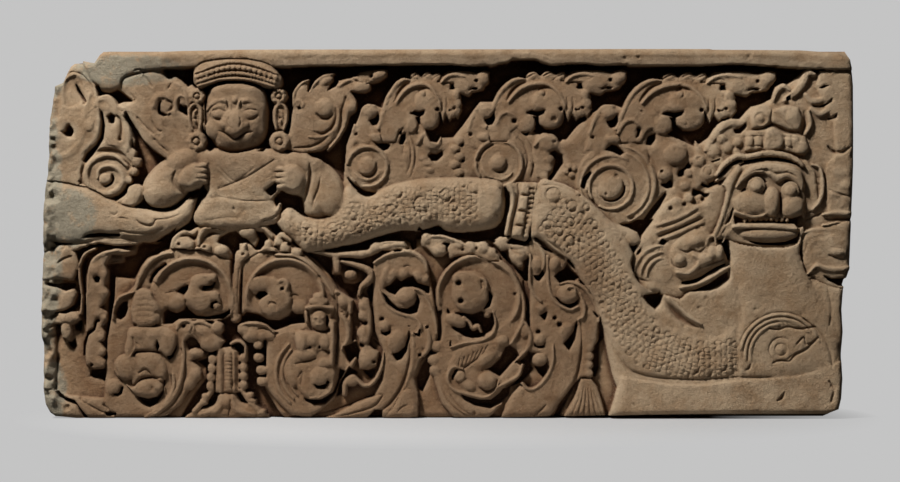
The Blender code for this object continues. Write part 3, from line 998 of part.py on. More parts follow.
def scroll_one(r):
    """First scroll: a round rim about a lit hollow, with a leaf that curls up inside it."""
    r.patch([(92, 20), (97, 120), (104, 158), (112, 180), (126, 188), (138, 200), (148, 226), (168, 246),
             (195, 256), (240, 254), (285, 238), (290, 190), (284, 160), (262, 146), (226, 146), (214, 118),
             (222, 100), (244, 95), (226, 86), (238, 76), (240, 60), (222, 44), (208, 20), (180, 0),
             (110, 0)], 33, 9, 5, mode="set", smooth=False)
    r.stroke([(107, 150), (109, 168), (116, 181), (128, 187), (138, 190)], [4, 5, 6, 5, 3], 42, 6)
    r.gap([(107, 158), (112, 170), (120, 177), (129, 178), (130, 164), (126, 152), (118, 146), (110, 150)],
          6, 3)
    r.stroke([(140, 192), (148, 214), (160, 234), (178, 246), (196, 249)], [6, 9, 9, 8, 4], 43, 7)
    r.dish(226, 180, 60, 44, 31, 4, 8, 160, -35)
    r.gap([(160, 203), (163, 216), (171, 226), (186, 235), (189, 231), (176, 221), (168, 211), (165, 202)],
          4, 2)
    r.patch([(166, 205), (182, 190), (205, 192), (216, 182), (214, 168), (203, 160), (193, 161), (188, 166),
             (180, 160), (172, 150), (150, 160)], 34, 6, 7, mode="set")
    r.cap(203, 174, (13, 13), 40, 8)
    r.patch([(222, 200), (227, 211), (238, 218), (251, 218), (259, 213), (260, 207), (254, 207), (253, 201),
             (242, 201), (241, 192), (251, 192), (261, 191), (268, 183), (270, 170), (264, 163), (255, 166),
             (240, 158), (228, 162), (221, 172), (214, 181), (216, 190)], 44, 7, 7, smooth=False)
    r.cap(238, 206, (15, 11), 47, 7)
    r.cap(236, 178, (19, 15), 46, 8)
    r.cap(258, 183, (9, 9), 47, 6)
    r.cap(257, 212, (6, 6), 48, 5)
    r.gap([(241, 200), (253, 200), (258, 206), (262, 205), (258, 196), (250, 195), (243, 192), (240, 194)],
          8, 2)
    r.gap([(252, 168), (254, 175), (262, 178), (270, 172), (262, 166), (256, 164)], 6, 2)
    r.cap(262, 170, (6, 5), 42, 5)
    r.gap([(200, 190), (208, 198), (221, 202), (220, 193), (213, 184), (208, 187)], 2, 2)
    r.gap([(181, 140), (180, 160), (188, 167), (192, 163), (202, 160), (211, 164), (216, 173), (221, 165),
           (232, 156), (246, 154), (266, 158), (284, 165), (284, 156), (272, 148), (228, 148), (206, 148),
           (196, 140)], 0, 3)


def figure_one(r):
    """Worn small figure seated in the first scroll."""
    r.patch([(137, 178), (141, 190), (152, 196), (164, 191), (168, 180), (176, 170), (178, 158), (172, 141),
             (141, 139), (134, 160)], 46, 7, 9)
    r.patch([(130, 133), (140, 138), (170, 138), (190, 136), (201, 128), (203, 118), (200, 104), (190, 92),
             (183, 96), (176, 101), (150, 101), (138, 100), (128, 92), (124, 104), (128, 120)], 45, 8, 8)
    r.cap(147, 126, (11, 8), 48, 5)
    r.cap(166, 126, (10, 8), 48, 5)
    r.cap(190, 118, (10, 14), 47, 6)
    r.stroke([(137, 128), (141, 112), (131, 92)], [7, 6, 6], 46, 5)
    r.gap([(170, 108), (174, 121), (178, 108), (174, 99)], 12, 2)
    r.gap([(203, 120), (204, 106), (198, 91), (190, 86), (184, 94), (193, 96), (199, 106)], 4, 3)
    r.cap(127, 77, (19, 20), 47, 10)
    r.patch([(142, 98), (166, 100), (180, 92), (188, 74), (186, 60), (178, 54), (168, 62), (150, 60),
             (138, 50), (134, 66), (140, 84)], 43, 8, 9)
    r.cap(157, 82, (17, 15), 46, 8)
    r.patch([(126, 52), (136, 46), (148, 56), (168, 60), (178, 54), (186, 44), (176, 33), (160, 31),
             (146, 33), (136, 40)], 46, 8, 9)
    r.cap(174, 47, (8, 8), 49, 7)
    r.gap([(136, 40), (142, 27), (152, 18), (162, 14), (174, 21), (184, 36), (187, 58), (182, 60),
           (181, 44), (172, 34), (158, 31), (144, 34)], 0, 4)
    for middle in ([(212, 118), (213, 96), (211, 70), (204, 44), (190, 22), (166, 3)],
                   [(197, 66), (198, 48), (190, 30), (176, 13), (156, 1)]):
        r.stroke(middle, [4, 6, 7, 7, 6, 4][:len(middle)], 40, 5)
    r.cap(108, 47, (14, 13), 40, 8)
    r.gap([(102, 37), (110, 33), (120, 35), (123, 48), (118, 48), (114, 38)], 6, 2)
    r.gap([(92, 10), (100, 10), (112, 9), (112, 3), (96, 2)], 12, 2)


def stalk(r):
    """Jewelled stalk between the first two scrolls, with a leaf head on either side."""
    r.gap([(204, 148), (222, 151), (262, 147), (284, 157), (300, 157), (330, 149), (356, 147), (378, 142),
           (340, 128), (338, 44), (356, 14), (372, -6), (200, -6), (214, 18), (228, 40), (244, 60),
           (244, 74), (228, 86), (250, 94), (240, 112), (214, 130)], 0, 4)
    r.patch([(218, -4), (232, 12), (258, 20), (266, 36), (290, 38), (300, 24), (322, 18), (336, -4)], 32, 8,
            7)
    r.cap(278, 26, (12, 11), 38, 7)
    for side in (-1, 1):
        r.stroke([(278 + 8 * side, 34), (278 + 14 * side, 14), (278 + 40 * side, 4)], [6, 12, 8], 37, 6)
        r.stroke([(278 + 22 * side, 42), (278 + 34 * side, 26), (278 + 50 * side, 10)], [8, 10, 8], 36, 6)
    for x, z in ((246, 32), (243, 24), (312, 34), (316, 24), (330, 8)):
        r.cap(x, z, (7, 6), 38, 6)
    r.patch([(260, 38), (262, 100), (270, 108), (288, 108), (296, 100), (297, 38)], 34, 5, 4, mode="set",
            smooth=False)
    r.stroke([(268, 102), (268, 40)], 7, 38, 4, smooth=False)
    r.stroke([(289, 100), (289, 40)], 4, 38, 3, smooth=False)
    r.pearls([(280, 99), (281, 43)], 11, (6, 3.4), 40, 5, smooth=False)
    for k in range(4):
        z = 88 - 13.5 * k
        r.cap(256 - k, z, (7, 8), 39, 7)
        r.cap(303, z + 2, (7, 8), 39, 7)
    r.stroke([(284, 112), (296, 116), (306, 108), (306, 92)], [5, 6, 6, 6], 42, 5)
    r.patch([(202, 128), (200, 138), (206, 146), (216, 149), (228, 146), (242, 147), (256, 141), (266, 146),
             (273, 137), (270, 126), (276, 116), (268, 104), (254, 98), (240, 104), (232, 118), (224, 124),
             (212, 112)], 38, 6, 6, smooth=False)
    r.stroke([(203, 134), (208, 144), (218, 147), (227, 142), (229, 134)], [4, 5, 5, 4, 3], 44, 4)
    r.stroke([(222, 132), (226, 142), (240, 145), (254, 139)], [4, 5, 6, 4], 44, 4)
    r.cap(264, 136, (10, 10), 46, 8)
    r.cap(255, 114, (16, 14), 45, 9)
    r.cap(244, 130, (14, 8), 43, 6, tilt=-20)
    r.gap([(268, 125), (272, 118), (279, 116), (276, 128)], 4, 2)
    r.cap(232, 98, (12, 7), 38, 7, tilt=-10)
    r.cap(230, 66, (10, 10), 40, 7)
    r.cap(222, 52, (9, 12), 39, 6, tilt=-35)
    r.patch([(294, 134), (300, 144), (322, 144), (340, 140), (352, 127), (348, 118), (334, 118), (332, 106),
             (320, 104), (316, 116), (302, 118)], 38, 6, 6, smooth=False)
    r.stroke([(298, 140), (312, 143), (332, 141), (348, 130)], [4, 5, 5, 3], 44, 4)
    r.cap(302, 134, (9, 9), 44, 7)
    r.cap(314, 124, (12, 11), 44, 8)
    r.cap(331, 124, (7, 7), 42, 6)
    r.cap(325, 109, (8, 6), 42, 6)
    for x, z in ((326, 91), (330, 72), (331, 55)):
        r.cap(x, z, (9, 8), 39, 7)
    r.cap(291, 151, (9, 9), 34, 8)
    r.stroke([(291, 160), (292, 190), (294, 218), (298, 246)], [10, 13, 12, 16], 36, 6)
    r.groove([(285, 162), (286, 200), (285, 236), (288, 262)], [5, 4, 5, 8], 26)


def leaf_crown(r):
    """Leaves that stand on top of the first two scrolls, below the waist cloth."""
    r.patch([(190, 250), (194, 268), (206, 278), (220, 282), (236, 290), (262, 292), (290, 290), (316, 296),
             (340, 290), (352, 276), (372, 270), (392, 250), (404, 240), (388, 236), (360, 242), (330, 238),
             (306, 222), (298, 240), (282, 240), (262, 236), (226, 244)], 32, 6, 6, mode="set",
            smooth=False)
    r.gap([(262, 264), (266, 274), (280, 282), (292, 284), (300, 276), (308, 272), (320, 260), (324, 270),
           (318, 284), (334, 282), (342, 270), (330, 252), (320, 252), (312, 262), (298, 262), (299, 244),
           (290, 222), (286, 224), (284, 246), (276, 258)], 0, 3)
    for points, wide in (([(196, 252), (198, 268), (212, 280), (224, 278)], [6, 8, 8, 5]),
                         ([(236, 262), (238, 276), (250, 288), (268, 286)], [5, 7, 8, 5]),
                         ([(296, 288), (314, 294), (332, 288), (346, 274)], [6, 9, 9, 6]),
                         ([(300, 238), (302, 252), (306, 262)], [8, 10, 6]),
                         ([(326, 244), (336, 256), (350, 254)], [6, 8, 5]),
                         ([(352, 262), (360, 276), (374, 268)], [6, 9, 6])):
        r.stroke(points, wide, 42, 6)
    for x, z, rx, rz in ((214, 262, 16, 12), (246, 256, 9, 7), (270, 252, 11, 8), (268, 240, 8, 5),
                         (236, 252, 8, 6), (309, 280, 13, 9), (304, 246, 7, 8), (346, 250, 8, 6),
                         (366, 256, 8, 10), (384, 250, 9, 7), (356, 266, 7, 6), (340, 262, 6, 7)):
        r.cap(x, z, (rx, rz), 43, 7)
    r.groove([(218, 280), (226, 272), (232, 274), (234, 282)], [3, 8, 6, 3], 20)
    r.groove([(244, 272), (254, 278), (266, 278)], [3, 7, 4], 16)


def scroll_two(r):
    """Second scroll, the mirror of the first."""
    r.patch([(302, 236), (330, 252), (372, 250), (406, 238), (436, 206), (446, 190), (462, 178), (468, 140),
             (466, 108), (474, 112), (466, 80), (448, 56), (440, 28), (404, 0), (376, 4), (352, 26),
             (336, 46), (336, 120), (352, 126), (376, 140), (396, 142), (396, 166), (372, 140), (300, 158)],
            33, 8, 5, mode="set", smooth=False)
    r.dish(366, 182, 57, 44, 31, 4, 8, 192, -30)
    r.stroke([(352, 246), (382, 244), (408, 228), (428, 204), (438, 186)], [4, 7, 8, 7, 5], 42, 6)
    r.gap([(298, 152), (306, 162), (326, 158), (340, 150), (356, 149), (370, 156), (378, 168), (386, 164),
           (394, 160), (398, 142), (376, 140), (350, 130), (336, 140), (316, 146)], 0, 3)
    r.patch([(312, 196), (315, 207), (330, 215), (350, 213), (359, 207), (367, 207), (374, 192), (377, 178),
             (371, 162), (356, 152), (340, 152), (330, 160), (326, 172), (332, 182), (336, 190), (324, 186),
             (318, 188)], 43, 7, 7, smooth=False)
    r.cap(330, 203, (16, 11), 47, 8)
    r.cap(350, 168, (18, 14), 46, 8)
    r.cap(356, 190, (14, 16), 45, 7)
    r.stroke([(356, 206), (364, 208), (370, 202), (368, 194)], [5, 6, 6, 4], 47, 4)
    r.gap([(320, 185), (326, 192), (336, 192), (342, 187), (333, 181), (328, 178)], 2, 2)
    r.cap(387, 168, (13, 12), 39, 7)


def rider(r):
    """Small figure with a staff on its mount, in the second scroll."""
    for inset in (0, 9, 18):
        r.stroke([(372 + 0.4 * inset, 112 - inset), (357 + inset, 92 - 0.4 * inset), (352 + inset, 66),
                  (358 + inset, 42 + 0.3 * inset), (374 + 0.6 * inset, 22 + 0.7 * inset)], [3, 5, 6, 5, 3],
                 39, 5)
    r.gap([(390, 34), (396, 24), (410, 18), (428, 20), (444, 36), (450, 56), (462, 70), (446, 78),
           (444, 60), (436, 40), (420, 30), (402, 30)], 0, 4)
    r.patch([(376, 98), (388, 106), (410, 108), (432, 100), (440, 80), (444, 66), (438, 44), (424, 30),
             (404, 28), (388, 40), (380, 52), (366, 62), (364, 80)], 40, 8, 8)
    r.cap(420, 62, (18, 17), 49, 12)
    r.gap([(406, 54), (414, 44), (426, 43), (434, 54), (430, 60), (426, 52), (416, 50)], 12, 2)
    r.stroke([(438, 66), (436, 44), (420, 32), (404, 30)], [5, 5, 5, 4], 43, 4)
    r.cap(376, 62, (10, 16), 42, 7, tilt=20)
    r.cap(398, 96, (16, 9), 46, 7)
    r.patch([(420, 90), (434, 90), (434, 78), (416, 78)], 44, 5, 4)
    r.patch([(382, 128), (396, 132), (424, 130), (440, 130), (444, 118), (436, 100), (424, 104), (412, 98),
             (402, 106), (388, 100), (382, 112)], 44, 7, 7)
    for x, z, rx, rz in ((391, 114, 8, 13), (408, 118, 8, 10), (426, 115, 8, 11)):
        r.cap(x, z, (rx, rz), 49, 7)
    r.gap([(398, 104), (404, 112), (408, 104)], 16, 2)
    r.gap([(414, 104), (418, 112), (422, 104)], 16, 2)
    r.stroke([(438, 140), (438, 112), (437, 82)], 7, 49, 6, smooth=False)
    r.patch([(399, 168), (404, 150), (410, 134), (428, 132), (436, 150), (440, 166), (430, 178),
             (408, 178)], 40, 6, 5, mode="set")
    r.cap(418, 148, (12, 15), 52, 11)
    r.cap(417, 183, (9, 7), 50, 8)
    r.cap(417, 176, (15, 7), 50, 8)
    r.stroke([(399, 166), (417, 169), (438, 166)], 6, 50, 5)
    r.stroke([(398, 160), (399, 146)], 5, 46, 5)
    r.cap(436, 142, (6, 8), 45, 6)
    for side in (-1, 1):
        r.cap(418 + 5 * side, 152, (3.4, 1.8), 54, 2)
        r.cap(418 + 3 * side, 141.5, (3.4, 1.6), 53.5, 2)
    r.stroke([(418, 154), (418, 147)], 3.4, 54.5, 2.5)
    r.gap([(427, 158), (432, 154), (434, 146), (430, 134), (426, 142)], 22, 2)
    r.stroke([(444, 190), (456, 190), (464, 178), (464, 160)], [6, 9, 9, 6], 42, 6)
    r.cap(454, 178, (9, 12), 42, 7)
    r.stroke([(452, 156), (460, 140), (461, 120), (452, 104)], [5, 8, 8, 4], 42, 6)
    r.gap([(454, 107), (462, 112), (468, 108), (464, 100), (456, 101)], 4, 2)
    r.stroke([(454, 60), (466, 80), (472, 100), (471, 116)], [5, 9, 8, 4], 42, 6)


def ornaments(r):
    """Hooked leaves and lobes between the second scroll and the arching leaf."""
    r.gap([(392, 256), (412, 250), (430, 246), (438, 240), (438, 218), (452, 218), (456, 206), (470, 204),
           (486, 210), (484, 200), (476, 186), (478, 172), (462, 180), (444, 192), (430, 216), (412, 236),
           (400, 244)], 0, 3)
    r.gap([(448, 238), (454, 241), (474, 232), (492, 228), (500, 214), (500, 172), (492, 176), (486, 192),
           (494, 204), (490, 218), (474, 226), (456, 234)], 2, 3)
    r.patch([(438, 242), (460, 242), (480, 240), (500, 246), (512, 252), (530, 258), (550, 258), (546, 266),
             (520, 268), (504, 264), (490, 254), (440, 250), (404, 256), (402, 250), (420, 246)], 42, 7, 6,
            smooth=False)
    r.cap(502, 256, (9, 8), 45, 7)
    r.stroke([(442, 244), (444, 232), (445, 222)], [12, 12, 10], 42, 7)
    r.cap(465, 216, (10, 8), 38, 7)
    r.stroke([(452, 236), (468, 232), (486, 226), (497, 216), (490, 205), (481, 198), (478, 186)],
             [5, 8, 10, 12, 12, 8, 5], 43, 7)
    r.patch([(478, 178), (482, 186), (492, 180), (497, 160), (498, 130), (492, 112), (500, 104), (508, 100),
             (504, 78), (490, 72), (478, 74), (477, 96), (484, 108), (478, 118), (476, 134), (484, 142),
             (478, 158)], 38, 7, 6, smooth=False)
    for x, z in ((484, 170), (484, 154), (482, 128), (486, 118)):
        r.cap(x, z, (8, 8), 42, 7)
    r.cap(490, 88, (12, 13), 42, 8)
    r.gap([(481, 75), (490, 73), (505, 76), (502, 66), (496, 57), (490, 62), (484, 68)], 2, 2)
    r.gap([(452, 108), (456, 92), (464, 78), (474, 72), (478, 66), (468, 64), (458, 58), (454, 36),
           (440, 28), (446, 52), (460, 76), (472, 90), (476, 76), (480, 100), (474, 118)], 0, 3)
    r.stroke([(456, 36), (457, 52), (467, 62), (476, 56), (484, 49), (494, 50), (504, 60), (512, 78),
              (516, 100)], [8, 9, 8, 6, 6, 6, 6, 6, 4], 42, 6)
    r.cap(466, 55, (10, 8), 42, 6)


def arch_leaf(r):
    """Large leaf that arches over a ball, with its long stem to the foot of the stone."""
    r.patch([(400, -6), (440, 4), (470, 22), (500, 34), (512, 58), (516, 96), (502, 130), (498, 180),
             (500, 236), (520, 247), (542, 252), (558, 251), (574, 243), (582, 228), (586, 205), (592, 178),
             (597, 146), (597, 120), (590, 112), (580, 104), (570, 84), (562, 60), (567, 36), (566, -6)],
            35, 8, 5, mode="set", smooth=False)
    r.stroke([(500, 234), (520, 246), (544, 251), (562, 248), (576, 236), (581, 222)], [4, 6, 7, 7, 7, 5],
             43, 6)
    r.stroke([(518, 222), (514, 208), (514, 200)], [12, 14, 9], 40, 7)
    r.cap(528, 212, (9, 13), 42, 6, tilt=-25)
    for x, z, size in ((545, 217, 8), (566, 214, 9), (577, 209, 7)):
        r.cap(x, z, size, 42, 7)
    r.gap([(513, 197), (524, 203), (534, 214), (541, 208), (550, 214), (559, 216), (567, 205), (577, 202),
           (585, 200), (585, 186), (572, 188), (558, 197), (544, 195), (532, 184), (522, 188)], 0, 3)
    r.gap([(511, 191), (520, 170), (534, 160), (554, 155), (566, 159), (570, 176), (565, 190), (560, 172),
           (550, 166), (538, 166), (528, 174), (518, 186)], 2, 2)
    r.cap(549, 183, (16, 15), 46, 12)
    r.stroke([(562, 195), (574, 189), (584, 172), (592, 150), (595, 128)], [4, 6, 6, 6, 4], 43, 6)
    r.stroke([(508, 194), (514, 178), (526, 164), (544, 156), (560, 152), (570, 140), (567, 128),
              (559, 127)], [3, 4, 5, 5, 5, 6, 7, 5], 41, 5)
    r.gap([(558, 130), (562, 124), (570, 122), (572, 134), (568, 136), (566, 128)], 8, 2)
    r.cap(516, 139, (9, 9), 41, 6)
    r.gap([(509, 136), (514, 130), (522, 132), (526, 141), (526, 128), (518, 123), (511, 126)], 6, 2)
    r.cap(534, 116, (13, 17), 41, 6, tilt=-20)
    r.gap([(526, 97), (536, 100), (546, 108), (551, 124), (553, 136), (550, 140), (554, 140), (555, 122),
           (550, 100), (542, 88), (534, 85)], 0, 2)
    r.stroke([(559, 118), (560, 96), (556, 72), (548, 50)], [4, 5, 5, 3], 39, 4)
    r.stroke([(578, 138), (583, 124), (582, 106), (574, 94)], [5, 8, 9, 6], 41, 6)
    r.gap([(590, 118), (586, 100), (578, 90), (570, 80), (562, 60), (564, 44), (574, 36), (586, 62),
           (592, 90)], 0, 3)
    r.patch([(516, 2), (530, 18), (541, 40), (550, 46), (562, 42), (568, 28), (566, 8), (562, -6),
             (520, -6)], 38, 7, 6, mode="set", smooth=False)
    r.gap([(484, -4), (500, 14), (514, 14), (514, -4)], 4, 3)


def scroll_three(r):
    """Third scroll, with a round bud, a leaf combed by the chisel and a ball at its foot."""
    r.patch([(590, 60), (588, 84), (596, 104), (602, 130), (600, 200), (612, 228), (634, 246), (656, 249),
             (684, 242), (706, 226), (720, 206), (730, 176), (730, 150), (737, 126), (732, 104), (714, 84),
             (724, 80), (718, 64), (700, 50), (694, 20), (668, -6), (626, -6), (602, 22)], 34, 8, 5,
            mode="set", smooth=False)
    for x, z in ((594, 108), (589, 88), (592, 72)):
        r.cap(x, z, (9, 9), 38, 7)
    r.gap([(614, 118), (617, 118), (618, 106), (613, 106)], 10, 2)
    r.dish(658, 183, 61, 43, 31, 4, 8, 200, -38)
    r.stroke([(676, 238), (700, 224), (716, 204), (726, 178), (726, 152), (718, 132), (706, 110)],
             [4, 6, 6, 6, 6, 6, 4], 42, 5)
    r.cap(646, 190, (29, 32), 45, 10)
    r.cap(634, 210, (16, 12), 45, 6)
    r.cap(636, 192, (9, 8), 47, 6)
    r.stroke([(661, 211), (668, 207), (670, 197)], [4, 5, 4], 46, 4)
    r.gap([(672, 197), (681, 184), (676, 168), (664, 162), (682, 158), (684, 142), (679, 130), (666, 122),
           (650, 118), (636, 122), (624, 130), (618, 134), (610, 156), (608, 172), (616, 160), (634, 160),
           (648, 158), (664, 164), (672, 178)], 0, 3)
    r.cap(671, 156, (6, 6), 34, 6)
    r.cap(624, 147, (17, 10), 42, 8, tilt=-25)
    r.stroke([(636, 152), (644, 144), (650, 134), (656, 139), (662, 130)], [5, 6, 7, 8, 5], 40, 6)
    r.stroke([(680, 160), (684, 142), (678, 126), (662, 117), (636, 113), (616, 107)], [3, 4, 5, 5, 4, 3],
             41, 5)
    r.patch([(606, 60), (612, 84), (624, 104), (650, 114), (676, 118), (690, 126), (702, 122), (702, 112),
             (692, 104), (682, 86), (662, 70), (640, 78), (624, 74), (616, 60)], 37, 6, 8, smooth=False)
    r.cap(694, 117, (9, 8), 43, 6)
    r.cap(668, 88, (15, 9), 41, 6, tilt=30)
    r.gap([(697, 108), (690, 92), (676, 78), (660, 71), (672, 72), (690, 60), (700, 70), (712, 84),
           (722, 92), (716, 104), (706, 112)], 0, 3)
    r.stroke([(634, 74), (620, 77), (612, 66), (613, 52), (622, 42), (634, 38), (650, 34), (668, 31),
              (682, 40), (688, 54)], [3, 5, 5, 5, 5, 5, 5, 5, 4, 3], 41, 5)
    r.cap(629, 63, (9, 9), 43, 7)
    r.gap([(634, 74), (622, 74), (616, 62), (620, 52), (622, 62), (628, 72)], 8, 2)
    r.cap(641, 50, (14, 8), 40, 7, tilt=-25)
    r.cap(671, 56, (15, 14), 46, 11)
    r.gap([(628, 38), (636, 26), (652, 17), (676, 13), (694, 22), (706, 34), (708, 48), (694, 46),
           (688, 38), (676, 29), (660, 29), (642, 33)], 0, 3)
    r.groove([(726, 206), (731, 180), (731, 154)], [4, 7, 7], 22)


def right_foliage(r):
    """Leaves that hang from the collar, and the sweeping leaf and tassel right of the third scroll."""
    r.gap([(688, 254), (700, 252), (704, 240), (714, 228), (724, 224), (730, 236), (729, 250), (740, 246),
           (734, 232), (738, 204), (726, 206), (710, 226), (692, 244)], 0, 3)
    r.patch([(734, 100), (736, 130), (734, 160), (736, 190), (732, 216), (734, 244), (732, 266), (744, 272),
             (768, 266), (788, 256), (792, 238), (806, 222), (812, 204), (826, 188), (838, 166), (840, 140),
             (838, 116), (828, 62), (812, 60), (804, 52), (782, 24), (766, 2), (740, -6), (690, -6),
             (700, 22), (708, 36), (720, 50), (732, 42), (744, 46), (756, 60), (764, 76), (760, 90),
             (750, 96)], 35, 8, 5, mode="set", smooth=False)
    r.patch([(680, 264), (686, 274), (706, 274), (724, 266), (730, 256), (728, 240), (720, 227), (711, 232),
             (704, 243), (702, 254), (692, 252)], 42, 7, 6, mode="set", smooth=False)
    r.cap(716, 242, (10, 10), 45, 7)
    r.cap(720, 233, (6, 6), 44, 6)
    r.stroke([(736, 246), (735, 220), (736, 200), (742, 186), (752, 176)], [4, 5, 5, 5, 4], 42, 5)
    r.stroke([(740, 270), (752, 256), (757, 238), (754, 222)], [6, 8, 8, 4], 41, 6)
    r.cap(745, 232, (9, 12), 41, 7, tilt=-15)
    r.gap([(739, 216), (748, 216), (756, 226), (758, 216), (750, 205), (744, 208)], 4, 2)
    r.stroke([(746, 274), (772, 262), (788, 250), (790, 238)], [5, 8, 8, 4], 42, 6)
    r.gap([(744, 264), (760, 258), (776, 250), (768, 248), (756, 252)], 14, 3)
    r.stroke([(762, 244), (762, 220), (764, 196), (770, 180), (782, 169), (796, 163), (808, 168)],
             [4, 5, 5, 5, 5, 5, 3], 41, 5)
    r.cap(772, 232, (9, 12), 41, 7, tilt=-20)
    r.gap([(771, 214), (778, 222), (786, 226), (792, 236), (800, 224), (812, 212), (804, 205), (790, 204),
           (780, 201)], 0, 3)
    r.gap([(770, 186), (780, 172), (796, 165), (808, 172), (811, 186), (806, 192), (804, 178), (794, 172),
           (782, 178)], 2, 2)
    r.cap(793, 187, (17, 16), 45, 11)
    r.stroke([(791, 195), (794, 198), (802, 197), (804, 190)], [2.4, 3, 3, 2.4], 48, 3)
    r.stroke([(780, 202), (796, 205), (812, 200), (826, 186), (837, 164), (839, 146)], [3, 5, 6, 6, 6, 4],
             42, 6)
    r.stroke([(811, 188), (817, 170), (816, 154), (808, 148)], [4, 6, 6, 4], 41, 5)
    r.gap([(826, 164), (834, 160), (840, 154), (839, 148), (832, 156)], 10, 2)
    r.cap(752, 166, (8, 6), 40, 6)
    r.gap([(749, 155), (754, 158), (763, 163), (761, 152), (758, 145)], 4, 2)
    r.cap(750, 119, (9, 9), 41, 7)
    r.gap([(741, 116), (746, 109), (755, 110), (758, 120), (758, 106), (748, 104), (741, 108)], 4, 2)
    r.cap(750, 88, (12, 10), 43, 8)
    r.gap([(740, 80), (752, 78), (762, 84), (763, 70), (756, 60), (748, 66)], 2, 2)
    r.stroke([(770, 110), (770, 86), (762, 64), (748, 48), (734, 43), (724, 52), (720, 58)],
             [3, 4, 5, 5, 5, 5, 4], 41, 5)
    r.cap(790, 132, (9, 14), 40, 6, tilt=-30)
    r.gap([(785, 112), (792, 120), (800, 130), (806, 150), (808, 140), (804, 118), (795, 100)], 0, 2)
    r.groove([(811, 150), (814, 120), (812, 90), (806, 62), (794, 36), (780, 18)], [3, 3, 5, 6, 7, 8], 24)
    r.gap([(766, -4), (776, 16), (794, 34), (806, 56), (800, 38), (786, 10), (782, -4)], 0, 3)
    r.gap([(842, 150), (847, 138), (850, 124), (842, 112), (842, 76), (836, 60), (828, 62), (827, 98),
           (832, 110), (838, 118)], 0, 3)
    for k in range(4):
        r.cap(826 - 0.5 * k, 106 - 13 * k, (7, 7), 40, 6)
    r.gap([(734, 104), (741, 94), (739, 82), (743, 74), (732, 60), (722, 52), (708, 46), (706, 34),
           (696, 30), (694, 44), (712, 54), (722, 68), (726, 80), (716, 84), (730, 96)], 0, 3)
    r.stroke([(728, 144), (736, 126), (732, 106), (716, 88)], [5, 7, 7, 4], 41, 6)
    r.cap(727, 132, (8, 12), 40, 6)
    r.stroke([(724, 80), (718, 64), (702, 54), (686, 46)], [5, 7, 7, 4], 41, 6)
    r.patch([(812, 60), (828, 60), (838, 46), (846, 20), (852, -6), (784, -6), (792, 12), (804, 34)], 38, 7,
            6, mode="set", smooth=False)


def edge_line(table):
    """Turns a list of (place, value) pairs into a function that reads between them."""
    places, values = np.array(table, float).T
    return lambda at: np.interp(at, places, values)


# The outline of the face: chipped edges, a corner gone at the upper left, a rounded one at the upper right
left_edge = edge_line([(0, 24), (8, 12), (20, 5), (40, 2), (100, 2), (130, 0), (230, 0), (270, 1), (340, 4),
                       (370, 9), (450, 12), (475, 16), (500, 20), (560, 22)])
right_edge_line = edge_line([(0, 1176), (8, 1184), (14, 1199), (30, 1203), (60, 1205), (95, 1203),
                             (130, 1206), (165, 1204), (190, 1206), (205, 1210), (225, 1216), (300, 1219),
                             (380, 1222), (500, 1222), (526, 1220), (540, 1217), (548, 1211), (556, 1200)])
top_edge = edge_line([(0, 500), (16, 506), (22, 517), (31, 530), (42, 537), (60, 538), (79, 535), (87, 547),
                      (93, 552), (140, 550), (210, 553), (300, 555), (880, 556), (1005, 556), (1010, 555),
                      (1150, 554), (1195, 551), (1212, 548), (1222, 540)])
foot_edge = edge_line([(0, 3), (40, 0), (180, 0), (700, 1), (800, 3), (900, 6), (1000, 7.5), (1222, 7.5)])


def settle(r):
    """The ground lies shallow behind the foliage and deep only below the lip."""
    depth_share = np.clip((r.z - 470) / 35, 0, 1)[:, None]
    ground = (GROUND_LEVEL - 5 * np.clip((300 - r.z) / 30, 0, 1)[:, None]) * (1 - depth_share)
    r.h = np.where(r.h < LIP_LEVEL, ground + r.h * (1 - ground / LIP_LEVEL), r.h)


def face_grid(step):
    """Places of the vertices of the face: an even grid, drawn in at its border to the outline."""
    nx, nz = int(round(DESIGN_LENGTH / step)), int(round(DESIGN_HEIGHT / step))
    x, z = np.meshgrid(np.linspace(0, DESIGN_LENGTH, nx + 1), np.linspace(0, DESIGN_HEIGHT, nz + 1))
    fade = lambda distance, reach: np.clip(1 - distance / reach, 0, 1)
    z2 = z + (top_edge(x) - DESIGN_HEIGHT) * fade(DESIGN_HEIGHT - z, 130) + foot_edge(x) * fade(z, 60)
    from_right = (right_edge_line(z2) - DESIGN_LENGTH) * fade(DESIGN_LENGTH - x, 110)
    x2 = x + left_edge(z2) * fade(x, 70) + from_right
    return x2, z2


def carve(step):
    """The whole carving, as heights above its ground; later motifs lie over earlier ones."""
    r = Relief(step)
    for motif in (corner_leaf, left_volute, back_leaf, left_hollows, lip, foliage_ground, volutes,
                  between_a_and_volutes, leaf_a, leaf_b, leaf_c, knobs, scroll_ground, lower_left,
                  leaf_crown, scroll_one, scroll_two, stalk, figure_one, rider, ornaments, arch_leaf,
                  scroll_three, right_foliage, serpent_body, under_leaves, collar, serpent_turn, ledge,
                  great_head, roundel, crown, right_edge, small_head, bird_man_body, right_leaf, headdress,
                  head):
        motif(r)
    r.h = np.clip(r.h, 0, HIGHEST)
    settle(r)
    return r


def heights_at(r, x, z):
    """Reads the carving between its samples."""
    h = blur(r.h, 0.8)
    i = np.clip((x + r.margin) / r.step, 0, r.nx - 1.001)
    j = np.clip((z + r.margin) / r.step, 0, r.nz - 1.001)
    i0, j0 = i.astype(int), j.astype(int)
    u, v = i - i0, j - j0
    below = h[j0, i0] * (1 - u) + h[j0, i0 + 1] * u
    above = h[j0 + 1, i0] * (1 - u) + h[j0 + 1, i0 + 1] * u
    return below * (1 - v) + above * v


